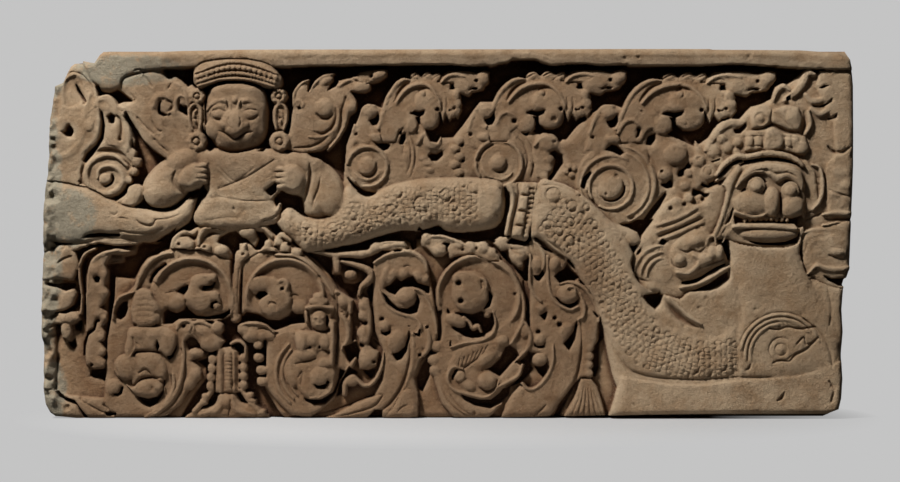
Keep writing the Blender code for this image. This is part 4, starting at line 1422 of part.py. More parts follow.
def border_loop(nz, nx):
    """Grid places round the border of the face, counter-clockwise as seen from the front."""
    foot = [(0, i) for i in range(nx)]
    right = [(j, nx - 1) for j in range(1, nz)]
    top = [(nz - 1, i) for i in range(nx - 2, -1, -1)]
    left = [(j, 0) for j in range(nz - 2, 0, -1)]
    return foot + right + top + left


def solid_mesh(r):
    """The block: carved face, worn arrises, plain sides, flat back and flat underside."""
    x, z = face_grid(MESH_STEP)
    h = heights_at(r, x, z)
    nz, nx = x.shape
    # the arris is worn round where the face meets the sides
    across, up = np.arange(nx)[None], np.arange(nz)[:, None]
    to_side = np.minimum(np.minimum(across, nx - 1 - across), np.minimum(up, nz - 1 - up)) * MESH_STEP
    h = np.maximum(h - 5 * np.clip(1 - to_side / 9, 0, 1) ** 2, 0)
    h *= RELIEF_DEPTH / LIP_LEVEL
    sx, sz = LENGTH / DESIGN_LENGTH, HEIGHT / DESIGN_HEIGHT
    ground_y = -THICKNESS / 2 + h.max()
    face = np.stack([x * sx - LENGTH / 2, ground_y - h, z * sz], -1)
    loop = border_loop(nz, nx)
    rows = np.array([face[j, i] for j, i in loop])
    # behind the face the sides run straight back, and the underside is flat at Z = 0
    shoulder = rows.copy()
    shoulder[:, 1] = np.maximum(rows[:, 1] + ARRIS_SETBACK * 0.4, ground_y + ARRIS_SETBACK)
    foot = np.array([j == 0 for j, i in loop])
    shoulder[foot, 2] = 0.0
    top = np.array([j == nz - 1 and x[j, i] > 95 for j, i in loop])
    shoulder[top, 2] = HEIGHT
    back = shoulder.copy()
    back[:, 1] = THICKNESS / 2

    verts = np.concatenate([face.reshape(-1, 3), shoulder, back])
    index = np.arange(nz * nx).reshape(nz, nx)
    quads = np.stack([index[:-1, :-1], index[:-1, 1:], index[1:, 1:], index[1:, :-1]], -1).reshape(-1, 4)
    front = [int(index[j, i]) for j, i in loop]
    n = len(loop)
    first = nz * nx
    faces = [tuple(int(v) for v in q) for q in quads]
    for k in range(n):
        m = (k + 1) % n
        faces.append((front[m], front[k], first + k, first + m))
        faces.append((first + m, first + k, first + n + k, first + n + m))
    faces.append(tuple(first + n + k for k in reversed(range(n))))
    mesh = bpy.data.meshes.new("lintel")
    mesh.from_pydata([tuple(float(c) for c in v) for v in verts], [], faces)
    return mesh


def stone_material():
    material = bpy.data.materials.new("weathered_sandstone")
    material.use_nodes = True
    shader = material.node_tree.nodes["Principled BSDF"]
    shader.inputs["Base Color"].default_value = STONE_COLOUR
    shader.inputs["Roughness"].default_value = 0.92
    shader.inputs["Metallic"].default_value = 0.0
    return material


def tidy_normals(mesh):
    bm = bmesh.new()
    bm.from_mesh(mesh)
    bmesh.ops.triangulate(bm, faces=bm.faces[:])
    bmesh.ops.recalc_face_normals(bm, faces=bm.faces[:])
    bm.to_mesh(mesh)
    bm.free()


def thin(lintel):
    """Fewer triangles where the stone is plain."""
    total = len(lintel.data.polygons)
    thinner = lintel.modifiers.new("thin", "DECIMATE")
    thinner.decimate_type = "COLLAPSE"
    thinner.ratio = FACE_TRIANGLES / total
    thinner.use_collapse_triangulate = True
    graph = bpy.context.evaluated_depsgraph_get()
    mesh = bpy.data.meshes.new_from_object(lintel.evaluated_get(graph))
    lintel.modifiers.clear()
    lintel.data = mesh


def build():
    start_empty()
    mesh = solid_mesh(carve(RASTER_STEP))
    tidy_normals(mesh)
    lintel = bpy.data.objects.new("lintel", mesh)
    bpy.context.scene.collection.objects.link(lintel)
    thin(lintel)
    lintel.data.name = "lintel"
    lintel.data.materials.clear()
    lintel.data.materials.append(stone_material())
    for polygon in lintel.data.polygons:
        polygon.use_smooth = False


build()
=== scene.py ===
"""The carved lintel as the photograph shows it: worn sandstone, pale floor, soft studio light."""
import math

import bpy
import numpy as np
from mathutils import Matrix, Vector


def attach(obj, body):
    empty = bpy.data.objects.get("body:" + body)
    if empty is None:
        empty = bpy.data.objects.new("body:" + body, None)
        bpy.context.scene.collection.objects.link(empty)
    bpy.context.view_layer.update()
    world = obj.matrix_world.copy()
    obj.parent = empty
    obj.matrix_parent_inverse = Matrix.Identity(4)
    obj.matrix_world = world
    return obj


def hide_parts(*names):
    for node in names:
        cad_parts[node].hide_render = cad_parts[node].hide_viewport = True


# The block, in metres, as in the part's source
LENGTH = 1.222
HEIGHT = 0.556
THICKNESS = 0.170
RELIEF_DEPTH = 0.050
ARRIS_SETBACK = 0.012

# The face on which the carving is laid out, in mm, and the heights of the carving above its ground
DESIGN_LENGTH = 1222.0
DESIGN_HEIGHT = 556.0
LIP_LEVEL = 50.0
HIGHEST = 64.0
GROUND_LEVEL = 16.0     # the shallow ground behind the leaves; it drops to 0 below the lip
RASTER_STEP = 1.0       # mm between samples of the carving
MESH_STEP = 1.25        # mm between vertices before the mesh is thinned
TRIANGLES = 198000      # about how many triangles stay after thinning

# How the stone has worn, in mm
EDGE_WEAR = ((1.2, 0.3, 0.4), (4.0, 1.5, 0.8), (11.0, 4.0, 1.2))    # reach, height kept, most that is lost
UNEVENNESS = ((90, 1.0), (30, 0.8), (11, 0.5), (4.5, 0.35))         # size of a swelling, its height
BROKEN_END = ((34, 9.0), (13, 6.0), (6, 3.0))                       # the same where the end broke off
PITS = 420
CREASE = math.radians(50)   # faces that meet at more than this look sharp

# The camera: the photograph's frame is 900 pixels wide and each shows 1.5 mm of the face
FRAME_WIDTH = 1.350     # metres of the face across the frame
AIM = (0.00375, -0.08, 0.267)
CAMERA_DISTANCE = 4.0
KEY_PLACE = (-1.8, -1.92, 3.28)
KEY_TARGET = (0, 0, 0.28)
KEY_SIZE = 0.5
KEY_POWER = 322
BACKGROUND = 0.552      # how bright the plain pale background is
FILL = 0.075            # how bright it is as a source of light


def smooth_curve(points, closed=False, per_span=7):
    """A Catmull-Rom curve through the points, as many rows as it needs."""
    p = np.asarray(points, float)
    if len(p) < 3 and not closed:
        return p
    n = len(p)
    spans = n if closed else n - 1
    rows = []
    for i in range(spans):
        if closed:
            a, b, c, d = p[i - 1], p[i], p[(i + 1) % n], p[(i + 2) % n]
        else:
            b, c = p[i], p[i + 1]
            a = p[i - 1] if i else 2 * b - c
            d = p[i + 2] if i + 2 < n else 2 * c - b
        for k in range(per_span):
            t = k / per_span
            first = (c - a) * t
            second = (2 * a - 5 * b + 4 * c - d) * t**2
            third = (3 * b - a - 3 * c + d) * t**3
            rows.append(0.5 * (2 * b + first + second + third))
    if not closed:
        rows.append(p[-1])
    return np.array(rows)


def blur(h, sigma):
    """Gaussian blur of the height field; sigma in cells."""
    if sigma <= 0:
        return h
    r = int(3 * sigma + 1)
    k = np.exp(-0.5 * (np.arange(-r, r + 1) / sigma) ** 2)
    k /= k.sum()
    out = np.pad(h, ((r, r), (0, 0)), mode="edge")
    out = sum(k[i] * out[i:i + h.shape[0]] for i in range(2 * r + 1))
    out = np.pad(out, ((0, 0), (r, r)), mode="edge")
    return sum(k[i] * out[:, i:i + h.shape[1]] for i in range(2 * r + 1))


def noise(shape, cell, rng):
    """Smooth value noise in -1..1 whose features are about `cell` cells wide."""
    ny, nx = int(shape[0] / cell) + 3, int(shape[1] / cell) + 3
    g = rng.uniform(-1, 1, (ny, nx))
    y, x = np.arange(shape[0]) / cell, np.arange(shape[1]) / cell
    yi, xi = y.astype(int), x.astype(int)
    fy, fx = y - yi, x - xi
    fy, fx = (fy * fy * (3 - 2 * fy))[:, None], (fx * fx * (3 - 2 * fx))[None]
    a, b = g[yi][:, xi], g[yi][:, xi + 1]
    c, d = g[yi + 1][:, xi], g[yi + 1][:, xi + 1]
    return (a * (1 - fx) + b * fx) * (1 - fy) + (c * (1 - fx) + d * fx) * fy


# Cross sections: how far below the crest, as a share of the drop, at s = -1 (right of the path) .. 1 (left)
def round_section(s):
    return 1 - np.sqrt(np.clip(1 - s * s, 0, 1))


def flat_section(s):
    e = np.clip((np.abs(s) - 0.72) / 0.28, 0, 1)
    return e * e


def hollow_section(s):
    a = np.abs(s)
    return np.where(a < 0.74, 1 - (a / 0.74) ** 2, 0.5 * ((a - 0.74) / 0.26) ** 2)


def left_rim(s):
    """Highest at the left edge, falling in a hollow to the right one."""
    u = (s + 1) / 2
    return np.where(u < 0.86, 1 - (u / 0.86) ** 2.2, 0.4 * ((u - 0.86) / 0.14) ** 2)


def right_rim(s):
    return left_rim(-s)


def worn_section(s):
    return np.abs(s) ** 3


def ridge_section(s):
    return np.abs(s)


SECTIONS = {"round": round_section, "flat": flat_section, "hollow": hollow_section, "left": left_rim,
            "right": right_rim, "worn": worn_section, "ridge": ridge_section}


class Relief:
    def __init__(self, step, margin=6.0):
        self.step, self.margin = step, margin
        self.nx = int(round((DESIGN_LENGTH + 2 * margin) / step)) + 1
        self.nz = int(round((DESIGN_HEIGHT + 2 * margin) / step)) + 1
        self.x = np.arange(self.nx) * step - margin
        self.z = np.arange(self.nz) * step - margin
        self.h = np.zeros((self.nz, self.nx))

    def window(self, x0, z0, x1, z1):
        i0 = max(0, int((x0 + self.margin) / self.step))
        i1 = min(self.nx, int((x1 + self.margin) / self.step) + 2)
        j0 = max(0, int((z0 + self.margin) / self.step))
        j1 = min(self.nz, int((z1 + self.margin) / self.step) + 2)
        return slice(j0, max(j1, j0)), slice(i0, max(i1, i0))

    def apply(self, win, inside, value, mode):
        h = self.h[win]
        if mode == "raise":
            h[inside] = np.maximum(h[inside], value[inside])
        elif mode == "set":
            h[inside] = value[inside]
        elif mode == "cut":
            h[inside] = np.minimum(h[inside], value[inside])
        elif mode == "add":
            h[inside] += value[inside]

    def along(self, path, half):
        """Window, distance to the path, place along it 0..1 and side, for cells within half of it."""
        seg = np.diff(path, axis=0)
        lengths = np.hypot(seg[:, 0], seg[:, 1])
        keep = lengths > 1e-9
        starts, seg, lengths = path[:-1][keep], seg[keep], lengths[keep]
        cum = np.concatenate([[0], np.cumsum(lengths)])
        total = cum[-1]
        r = half + self.step
        lo, hi = path.min(0) - r, path.max(0) + r
        win = self.window(lo[0], lo[1], hi[0], hi[1])
        x, z = self.x[win[1]], self.z[win[0]]
        d = np.full((len(z), len(x)), 1e9)
        t = np.zeros_like(d)
        side = np.ones_like(d)
        for p, v, length, c in zip(starts, seg, lengths, cum):
            q = p + v
            i0 = np.searchsorted(x, min(p[0], q[0]) - r)
            i1 = np.searchsorted(x, max(p[0], q[0]) + r)
            j0 = np.searchsorted(z, min(p[1], q[1]) - r)
            j1 = np.searchsorted(z, max(p[1], q[1]) + r)
            dx, dz = x[i0:i1][None] - p[0], z[j0:j1][:, None] - p[1]
            u = np.clip((dx * v[0] + dz * v[1]) / length**2, 0, 1)
            ex, ez = dx - u * v[0], dz - u * v[1]
            dist = np.hypot(ex, ez)
            sub = (slice(j0, j1), slice(i0, i1))
            better = dist < d[sub]
            d[sub][better] = dist[better]
            t[sub][better] = ((c + u * length) / total)[better]
            side[sub][better] = np.sign(v[0] * dz - v[1] * dx + 1e-12)[better]
        return win, d, t, side

    def stroke(self, points, width, crest, drop=6.0, section="worn", mode="raise", smooth=True):
        """A band along a curve. width, crest and drop are one number, or one for each point."""
        path = smooth_curve(points) if smooth else np.asarray(points, float)
        half = np.atleast_1d(np.asarray(width, float)) / 2
        win, d, t, side = self.along(path, half.max())
        w = self.spread(half, t, points)
        inside = d < w
        s = np.clip(d / np.maximum(w, 1e-6), 0, 1) * side
        fall = self.spread(drop, t, points) * SECTIONS[section](s)
        value = self.spread(crest, t, points) - fall
        self.apply(win, inside, value, mode)

    @staticmethod
    def spread(values, t, points):
        values = np.atleast_1d(np.asarray(values, float))
        if len(values) == 1:
            return np.full_like(t, values[0])
        if len(values) == len(points):
            p = np.asarray(points, float)
            seg = np.hypot(*np.diff(p, axis=0).T)
            at = np.concatenate([[0], np.cumsum(seg)]) / seg.sum()
        else:
            at = np.linspace(0, 1, len(values))
        return np.interp(t, at, values)

    def cap(self, x, z, r, crest, drop=None, mode="raise", tilt=0.0, section="round"):
        """A rounded boss. r is a radius or (half length, half width); tilt turns it, in degrees."""
        rx, rz = (r, r) if np.isscalar(r) else r
        drop = min(rx, rz) * 0.8 if drop is None else drop
        reach = max(rx, rz) + self.step
        win = self.window(x - reach, z - reach, x + reach, z + reach)
        dx, dz = self.x[win[1]][None] - x, self.z[win[0]][:, None] - z
        c, s = math.cos(math.radians(tilt)), math.sin(math.radians(tilt))
        u, v = (dx * c + dz * s) / rx, (-dx * s + dz * c) / rz
        rho = np.hypot(u, v)
        value = crest - drop * SECTIONS[section](np.clip(rho, 0, 1))
        self.apply(win, rho < 1, value, mode)

    def inside(self, path, win):
        x, z = self.x[win[1]][None], self.z[win[0]][:, None]
        odd = np.zeros((z.shape[0], x.shape[1]), bool)
        for (ax, az), (bx, bz) in zip(path, np.roll(path, -1, axis=0)):
            if az == bz:
                continue
            cross = ((az > z) != (bz > z)) & (x < (bx - ax) * (z - az) / (bz - az) + ax)
            odd ^= cross
        return odd

    def patch(self, points, crest, drop=6.0, edge=8.0, section="round", mode="raise", smooth=True,
              lean=(0, 0)):
        """A closed shape, rounded over within `edge` of its outline. lean raises it to one side."""
        path = smooth_curve(points, closed=True) if smooth else np.asarray(points, float)
        ring = np.vstack([path, path[:1]])
        win, d, _, _ = self.along(ring, edge + 1)
        inside = self.inside(path, win)
        s = 1 - np.clip(d / edge, 0, 1)
        value = crest - drop * SECTIONS[section](s)
        if lean != (0, 0):
            cx, cz = path.mean(0)
            value = value + lean[0] * (self.x[win[1]][None] - cx) + lean[1] * (self.z[win[0]][:, None] - cz)
        self.apply(win, inside, value, mode)

    def groove(self, points, width, depth, smooth=True):
        """A V-shaped cut with soft shoulders along a curve."""
        path = smooth_curve(points) if smooth else np.asarray(points, float)
        half = np.atleast_1d(np.asarray(width, float)) / 2
        win, d, t, _ = self.along(path, half.max())
        w = self.spread(half, t, points)
        s = np.clip(d / np.maximum(w, 1e-6), 0, 1)
        deep = np.minimum(self.spread(depth, t, points), 2.2 * w)
        self.apply(win, d < w, -deep * (1 - s * s), "add")

    def dish(self, x, z, radius, crest, floor, rim=4.0, wall=9.0, start=0, end=360):
        """A thin round rim, there between two angles only, about a hollow that levels out."""
        reach = radius + rim + self.step
        win = self.window(x - reach, z - reach, x + reach, z + reach)
        dx, dz = self.x[win[1]][None] - x, self.z[win[0]][:, None] - z
        rho = np.hypot(dx, dz)
        turn = (np.degrees(np.arctan2(dz, dx)) - end) % 360
        span = (start - end) % 360 or 360
        there = np.clip(np.minimum(turn, span - turn) / 14, 0, 1)
        hollow = floor + 5 * np.clip((radius - wall - rho) / radius, 0, 1)
        steep = np.clip((rho - radius + wall) / wall, 0, 1) ** 1.6
        value = hollow + (crest - floor) * steep * there + 6 * steep * (1 - there)
        over = np.clip((rho - radius) / rim, 0, 1)
        value = value - 9 * over * over
        self.apply(win, rho < radius - rim / 2, value, "set")
        self.apply(win, (rho < radius + rim) & (there > 0), value, "raise")

    def gap(self, points, floor=0.0, wall=4.0, smooth=False):
        """A pocket cut down to `floor`, its sides sloping in over `wall`."""
        self.patch(points, floor, -50, wall, "ridge", "cut", smooth)

    def drill(self, x, z, r, depth):
        """A drilled pit."""
        self.cap(x, z, r, -depth, -depth, mode="add")

    def pearls(self, points, count, r, crest, drop=None, smooth=True):
        """Equal beads along a curve."""
        path = smooth_curve(points) if smooth else np.asarray(points, float)
        seg = np.hypot(*np.diff(path, axis=0).T)
        at = np.concatenate([[0], np.cumsum(seg)])
        for a in np.linspace(0, at[-1], count):
            x, z = np.interp(a, at, path[:, 0]), np.interp(a, at, path[:, 1])
            self.cap(x, z, r, crest, drop)


def arc(x, z, r, a0, a1, n=9, rz=None):
    """Points on an arc, from angle a0 to a1 in degrees."""
    a = np.radians(np.linspace(a0, a1, n))
    return np.stack([x + r * np.cos(a), z + (r if rz is None else rz) * np.sin(a)], 1)


def corner_leaf(r):
    """Weathered leaf in the upper left corner, below the broken end of the lip."""
    r.patch([(-8, 240), (-5, 460), (14, 530), (85, 536), (95, 560), (240, 560), (240, 526), (185, 526),
             (188, 508), (165, 470), (140, 420), (135, 370), (128, 330), (60, 300)], 41, 8, 14)
    r.patch([(70, 565), (70, 517), (86, 500), (100, 494), (118, 499), (124, 512), (150, 522), (182, 526),
             (240, 530), (240, 565)], 47, 5, 7)
    r.patch([(34, 505), (36, 470), (52, 470), (64, 480), (62, 505), (48, 516)], 37, -4, 8, mode="set")
    r.stroke([(20, 390), (45, 400), (60, 425), (66, 470), (74, 490)], [14, 16, 14, 10, 6], 43, 4)
    r.groove([(36, 516), (45, 522), (58, 519), (70, 510)], 3, 4)
    r.groove([(51, 503), (58, 490), (67, 477)], [3, 5, 3], 8)
    r.drill(64, 475, 3, 8)
    r.gap([(23, 434), (32, 433), (36, 441), (41, 445), (48, 437), (51, 428), (47, 422), (36, 423),
           (29, 430)], 4)
    r.cap(70, 441, 9, 45, 4)
    r.stroke([(80, 476), (95, 483), (107, 475), (111, 462), (104, 455)], [8, 14, 14, 12, 8], 44, 7)
    r.gap([(70, 509), (77, 503), (86, 503), (90, 495), (100, 492), (113, 498), (124, 491), (140, 478),
           (134, 475), (122, 474), (112, 470), (104, 482), (84, 484), (78, 492)], 0, 5)
    r.gap([(90, 458), (99, 452), (104, 460), (110, 459), (108, 446), (103, 442)], 10)
    r.stroke([(103, 445), (105, 430), (108, 412)], [14, 24, 26], 44, 5)
    r.groove([(89, 462), (92, 440), (91, 425), (86, 410)], [2, 3.5, 3.5, 3], 9)
    r.groove([(113, 455), (119, 448), (121, 430), (118, 420)], [3, 4, 3, 4], 9)
    r.drill(118, 420, 2.5, 8)
    r.stroke([(124, 462), (128, 440), (131, 420), (128, 404)], [10, 12, 10, 8], 44, 6)
    r.gap([(134, 426), (139, 409), (131, 403), (133, 411)], 6, 3)
    r.stroke([(48, 455), (52, 430), (30, 400)], 10, 40, 4)


def left_volute(r):
    """Snail curl above the serpent's stump, a deep crescent below it."""
    r.gap([(76, 352), (84, 340), (98, 332), (112, 326), (124, 334), (140, 352), (152, 372), (158, 392),
           (156, 408), (148, 400), (146, 384), (136, 364), (122, 350), (104, 342), (88, 344)], 0, 3)
    r.patch([*arc(98, 368, 44, 20, 215, 16), (70, 340), (126, 350), (140, 384)], 34, 7, 6, mode="set",
            smooth=False)
    r.stroke(arc(98, 368, 42, 30, 190, 12), [4, 6, 7, 7, 5], 41, 5)
    r.cap(97, 364, 33, 36, 6, mode="set", section="flat")
    r.stroke([(128, 380), (112, 394), (92, 396), (72, 384), (66, 362), (78, 344), (98, 338), (116, 346),
              (122, 362), (114, 376), (98, 380), (86, 374), (84, 362)],
             [4, 6, 8, 8, 9, 10, 10, 9, 8, 7, 6, 5, 4], 43, 6)
    r.cap(96, 360, (10, 9), 44, 7)
    r.gap([(104, 370), (110, 362), (106, 352), (96, 348), (88, 351), (96, 352), (103, 358)], 14, 2, True)
    r.gap([(61, 385), (64, 396), (73, 404), (83, 414), (80, 402), (70, 393)], 4, 3)
    for x, z, size in ((134, 398, 9), (142, 386, 8), (138, 372, 7), (130, 358, 6)):
        r.cap(x, z, size, 41, 6)
    r.drill(141, 395, 2, 7)
    r.groove([(120, 390), (130, 382), (134, 370), (132, 358)], [3, 5, 5, 3], 12)
    r.patch([(126, 335), (129, 347), (138, 353), (148, 352), (154, 344), (150, 328), (136, 318),
             (118, 322)], 42, 8, 6)
    r.groove([(148, 350), (151, 340), (147, 327)], 3, 10)
    r.stroke([(60, 348), (84, 330), (108, 316), (130, 312)], [10, 14, 16, 16], 42, 6)
    r.groove([(82, 322), (90, 318), (98, 317)], 3, 4)


def back_leaf(r):
    """Large leaf that rises behind the head on its left."""
    r.patch([(112, 470), (126, 458), (132, 446), (141, 438), (148, 420), (162, 406), (188, 390), (205, 396),
             (240, 408), (246, 470), (230, 500), (214, 506), (202, 516), (190, 512), (166, 522), (130, 516),
             (120, 508), (122, 496), (140, 480), (126, 474)], 45, 7, 9, mode="set")
    r.gap([(179, 526), (190, 512), (200, 514), (210, 508), (219, 497), (226, 503), (229, 530)], 0, 4)
    for line, w in (([(140, 524), (148, 525), (153, 520)], 3),
                    ([(153, 516), (160, 509), (166, 500)], 3.5),
                    ([(144, 453), (152, 443), (160, 436), (168, 429)], 4),
                    ([(170, 420), (178, 411), (190, 402)], 4),
                    ([(167, 448), (171, 438), (178, 432), (185, 436)], 3.5),
                    ([(191, 498), (195, 504)], 3),
                    ([(168, 462), (167, 475), (174, 486)], 2)):
        r.groove(line, w, 7)
    r.stroke([(168, 468), (172, 481), (182, 486), (193, 482), (199, 472)], [5, 9, 10, 8, 4], 48, 6)
    r.groove([(171, 466), (178, 461), (187, 462), (195, 466), (197, 474), (189, 478)], [3, 5, 4, 6, 5, 3],
             10)
    r.cap(182, 470, 7, 46, 5)
    r.stroke([(202, 466), (202, 478), (208, 486), (217, 482)], [4, 5, 5, 3], 48, 5)
    r.gap([(204, 470), (206, 480), (210, 480), (208, 474), (214, 471), (220, 473), (220, 462), (224, 451),
           (212, 458), (205, 463)], 8, 3)
    r.stroke([(220, 470), (216, 490), (206, 503)], [4, 6, 4], 48, 4)
    r.patch([(180, 445), (195, 458), (225, 448), (240, 425), (240, 410), (205, 402), (188, 412)], 42, -4,
            12, mode="set")


def rosette(r, x, z, size, crest=50):
    """A flower of eight petals round a bead."""
    r.cap(x, z, size * 1.1, crest - 6, 8, section="flat")
    for px, pz in arc(x, z, size * 0.68, 0, 315, 8):
        r.cap(px, pz, size * 0.3, crest, 4)
    r.groove(arc(x, z, size * 0.4, 0, 360, 12), 2.2, 3)
    r.cap(x, z, size * 0.28, crest + 2, 3)


def headdress(r):
    """Band of beads and petals round the brow."""
    r.patch([(228, 522), (240, 535), (262, 540), (290, 542), (318, 540), (344, 532), (360, 516), (361, 500),
             (348, 496), (330, 499), (312, 504), (290, 507), (266, 505), (250, 500), (238, 496),
             (230, 504)], 51, 8, 7, mode="set")
    line = [(236, 500), (250, 504), (268, 509), (290, 511), (314, 509), (334, 504), (350, 499)]
    rows = [[(292 + (x - 292) * (1 + lift / 400), z + lift * (1 - abs(x - 292) / 260)) for x,
             z in line] for lift in (0, 8, 17, 26)]
    r.stroke(rows[0], 5, 55, 4)
    r.groove([(x, z + 4.5) for x, z in rows[0]], 2.6, 5)
    r.pearls(rows[1], 24, (2.7, 3.4), 56, 4)
    r.groove([(x, z + 4.5) for x, z in rows[1]], 2.4, 4)
    r.pearls(rows[2], 16, (4.0, 4.0), 56, 4)
    r.groove([(x, z + 5) for x, z in rows[2]], 2.4, 4)
    r.pearls(rows[3], 32, (1.9, 2.4), 54, 3)
    r.cap(234, 512, (7, 12), 50, 6)
    r.cap(356, 508, (7, 10), 50, 6)


def head(r):
    """Broad mask of the bird man: heavy brows, bulging eyes, a short hooked beak over a thin mouth."""
    r.patch([(246, 455), (246, 480), (252, 498), (268, 506), (292, 508), (318, 505), (334, 497), (340, 478),
             (341, 448), (337, 424), (324, 408), (304, 401), (282, 400), (264, 407), (252, 424),
             (247, 440)], 56, 34, 26, mode="set")
    r.cap(291, 492, (36, 12), 56, 5)
    # brows that run up from the beak and out over the eyes
    for side in (-1, 1):
        r.stroke([(291 + 6 * side, 466), (291 + 10 * side, 476), (291 + 22 * side, 478),
                  (291 + 34 * side, 473), (291 + 42 * side, 464)], [6, 8, 9, 8, 4], [60, 60, 58, 55, 48], 5)
        r.stroke([(291 + 14 * side, 466), (291 + 20 * side, 470), (291 + 31 * side, 467),
                  (291 + 38 * side, 458)], [4, 5, 5, 4], [56, 57, 56, 50], 4)
        # the eyeball with its heavy upper lid
        r.cap(291 + 24 * side, 458, (12, 9.5), 58, 8, tilt=-8 * side)
        r.groove([(291 + 35 * side, 456), (291 + 28 * side, 450), (291 + 19 * side, 450),
                  (291 + 12 * side, 456)], [2.4, 4, 4, 2.4], 6)
        r.groove([(291 + 14 * side, 462), (291 + 22 * side, 465), (291 + 32 * side, 463)], 2.2, 3)
        r.groove([(291 + 11 * side, 478), (291 + 9 * side, 470), (291 + 8 * side, 463)], [3, 5, 3], 8)
        r.cap(291 + 31 * side, 436, (14, 16), 51, 7)
    r.cap(291, 479, (5, 6), 60, 4)
    # beak
    r.patch([(286, 468), (296, 468), (300, 458), (309, 450), (315, 441), (311, 433), (301, 429), (291, 423),
             (281, 429), (271, 433), (267, 441), (273, 450), (282, 458)], 62, 12, 18)
    r.cap(291, 446, (22, 24), 64, 15)
    r.cap(291, 434, (13, 9), 64, 7)
    for side in (-1, 1):
        r.cap(291 + 15 * side, 442, (8, 7), 61, 6)
        r.groove([(291 + 9 * side, 452), (291 + 10 * side, 444), (291 + 7 * side, 438)], 2.4, 2.4)
    r.groove([(266, 433), (273, 431), (281, 426), (291, 420), (301, 425), (309, 430), (318, 431)],
             [2, 3.6, 4.4, 4.4, 4.6, 4, 2], 8)
    r.groove([(266, 428), (264, 422), (268, 416)], [2, 3, 2], 2)
    r.groove([(318, 427), (320, 421), (316, 415)], [2, 3, 2], 2)
    # ears with their rosettes and pendants
    r.gap([(343, 494), (348, 490), (347, 440), (342, 410), (334, 400), (322, 401), (334, 410), (340, 430)],
          10, 3)
    r.gap([(240, 490), (244, 488), (244, 440), (250, 420), (262, 405), (252, 400), (243, 409), (239, 440)],
          12, 3)
    for x, side in ((359, 1), (232, -1)):
        r.cap(x, 456, (13, 22), 40, 8, mode="set")
        r.stroke([(x - 6 * side, 436), (x - 8 * side, 452), (x - 6 * side, 468), (x + 2 * side, 473),
                  (x + 9 * side, 466), (x + 10 * side, 450), (x + 5 * side, 434)], [5, 6, 6, 5, 5, 5, 4],
                 48, 5)
        r.stroke([(x - side, 464), (x + 3 * side, 458), (x, 446)], [3, 4, 3], 47, 3)
        r.drill(x + side, 452, 2.4, 8)
        rosette(r, x - 2 * side, 485, 12)
        rosette(r, x - side, 417, 15)


def bird_man_body(r):
    """Shoulders, arms that clutch the serpent, belly and waist cloth."""
    r.patch([(214, 396), (240, 407), (300, 407), (348, 406), (374, 396), (376, 372), (362, 346), (350, 332),
             (352, 322), (360, 312), (358, 298), (340, 290), (300, 284), (256, 286), (232, 292), (228, 306),
             (238, 326), (244, 346), (238, 366), (220, 378)], 47, 16, 18, mode="set")
    # chest and belly
    r.cap(294, 384, (60, 24), 51, 6)
    r.patch([(262, 345), (276, 352), (300, 362), (326, 379), (348, 392), (364, 380), (362, 356), (350, 338),
             (326, 330), (300, 332), (276, 334)], 50, 8, 18)
    r.cap(294, 326, (40, 18), 50, 9)
    r.groove([(268, 378), (279, 366), (292, 357), (306, 366), (320, 377)], 2.6, 2.2)
    r.groove([(262, 374), (278, 360), (290, 350)], 2.2, 1.6)
    r.groove([(266, 346), (288, 354), (310, 364), (330, 376), (350, 389)], 3, 3.4)
    r.groove([(250, 331), (270, 333), (300, 328), (330, 327), (352, 330)], 2.6, 3)
    r.stroke([(330, 300), (346, 306), (356, 314), (358, 322)], [6, 10, 9, 5], 48, 6)
    r.groove([(240, 297), (268, 301), (300, 303)], 2.6, 2)
    r.groove([(334, 298), (350, 303), (360, 316)], 3, 6)
    r.drill(290, 316, 2.6, 4)
    # arm on the left
    r.patch([(150, 345), (156, 364), (172, 382), (196, 398), (220, 405), (244, 402), (250, 388), (240, 380),
             (232, 360), (222, 342), (210, 328), (196, 318), (178, 316), (162, 324)], 52, 30, 26)
    r.cap(212, 388, (26, 17), 55, 12, tilt=20)
    r.cap(184, 342, (32, 24), 55, 16, tilt=25)
    r.groove([(202, 372), (198, 360), (204, 346), (214, 338)], [3, 6, 6, 3], 5)
    r.patch([(204, 352), (206, 368), (216, 380), (230, 386), (242, 382), (248, 370), (246, 356), (236, 346),
             (220, 342)], 60, 18, 13)
    r.gap([(213, 334), (222, 342), (232, 348), (246, 350), (252, 342), (248, 332), (240, 327), (232, 330),
           (226, 328)], 10, 4)
    for z in (381, 373, 365, 357):
        r.cap(243, z, (7, 4.4), 57, 5)
        r.groove([(233, z - 4), (250, z - 4)], 2.2, 4)
    r.groove([(252, 384), (254, 368), (251, 352)], 3.4, 7)
    # arm on the right
    r.patch([(345, 402), (372, 402), (400, 396), (428, 384), (448, 366), (456, 344), (452, 324), (438, 308),
             (418, 300), (402, 303), (390, 316), (384, 334), (366, 345), (350, 372)], 52, 30, 26)
    r.cap(398, 384, (30, 16), 55, 12, tilt=-20)
    r.cap(430, 338, (24, 34), 55, 16, tilt=15)
    r.gap([(334, 344), (340, 336), (346, 333), (354, 340), (358, 350), (352, 358), (344, 352)], 14, 3)
    r.gap([(358, 341), (368, 334), (380, 320), (394, 304), (398, 312), (394, 334), (386, 338), (370, 342)],
          8, 4)
    r.groove([(404, 384), (405, 364), (401, 344), (396, 328)], [3, 7, 8, 6], 8)
    r.groove([(420, 362), (417, 346), (411, 332), (408, 318)], [2, 4, 5, 4], 4)
    r.patch([(357, 350), (358, 370), (368, 383), (386, 384), (399, 370), (397, 350), (384, 337),
             (367, 340)], 60, 18, 13)
    for z in (375, 366, 357, 348):
        r.cap(360, z, (7, 4.6), 57, 5)
        r.groove([(351, z - 4), (368, z - 4)], 2.2, 4)


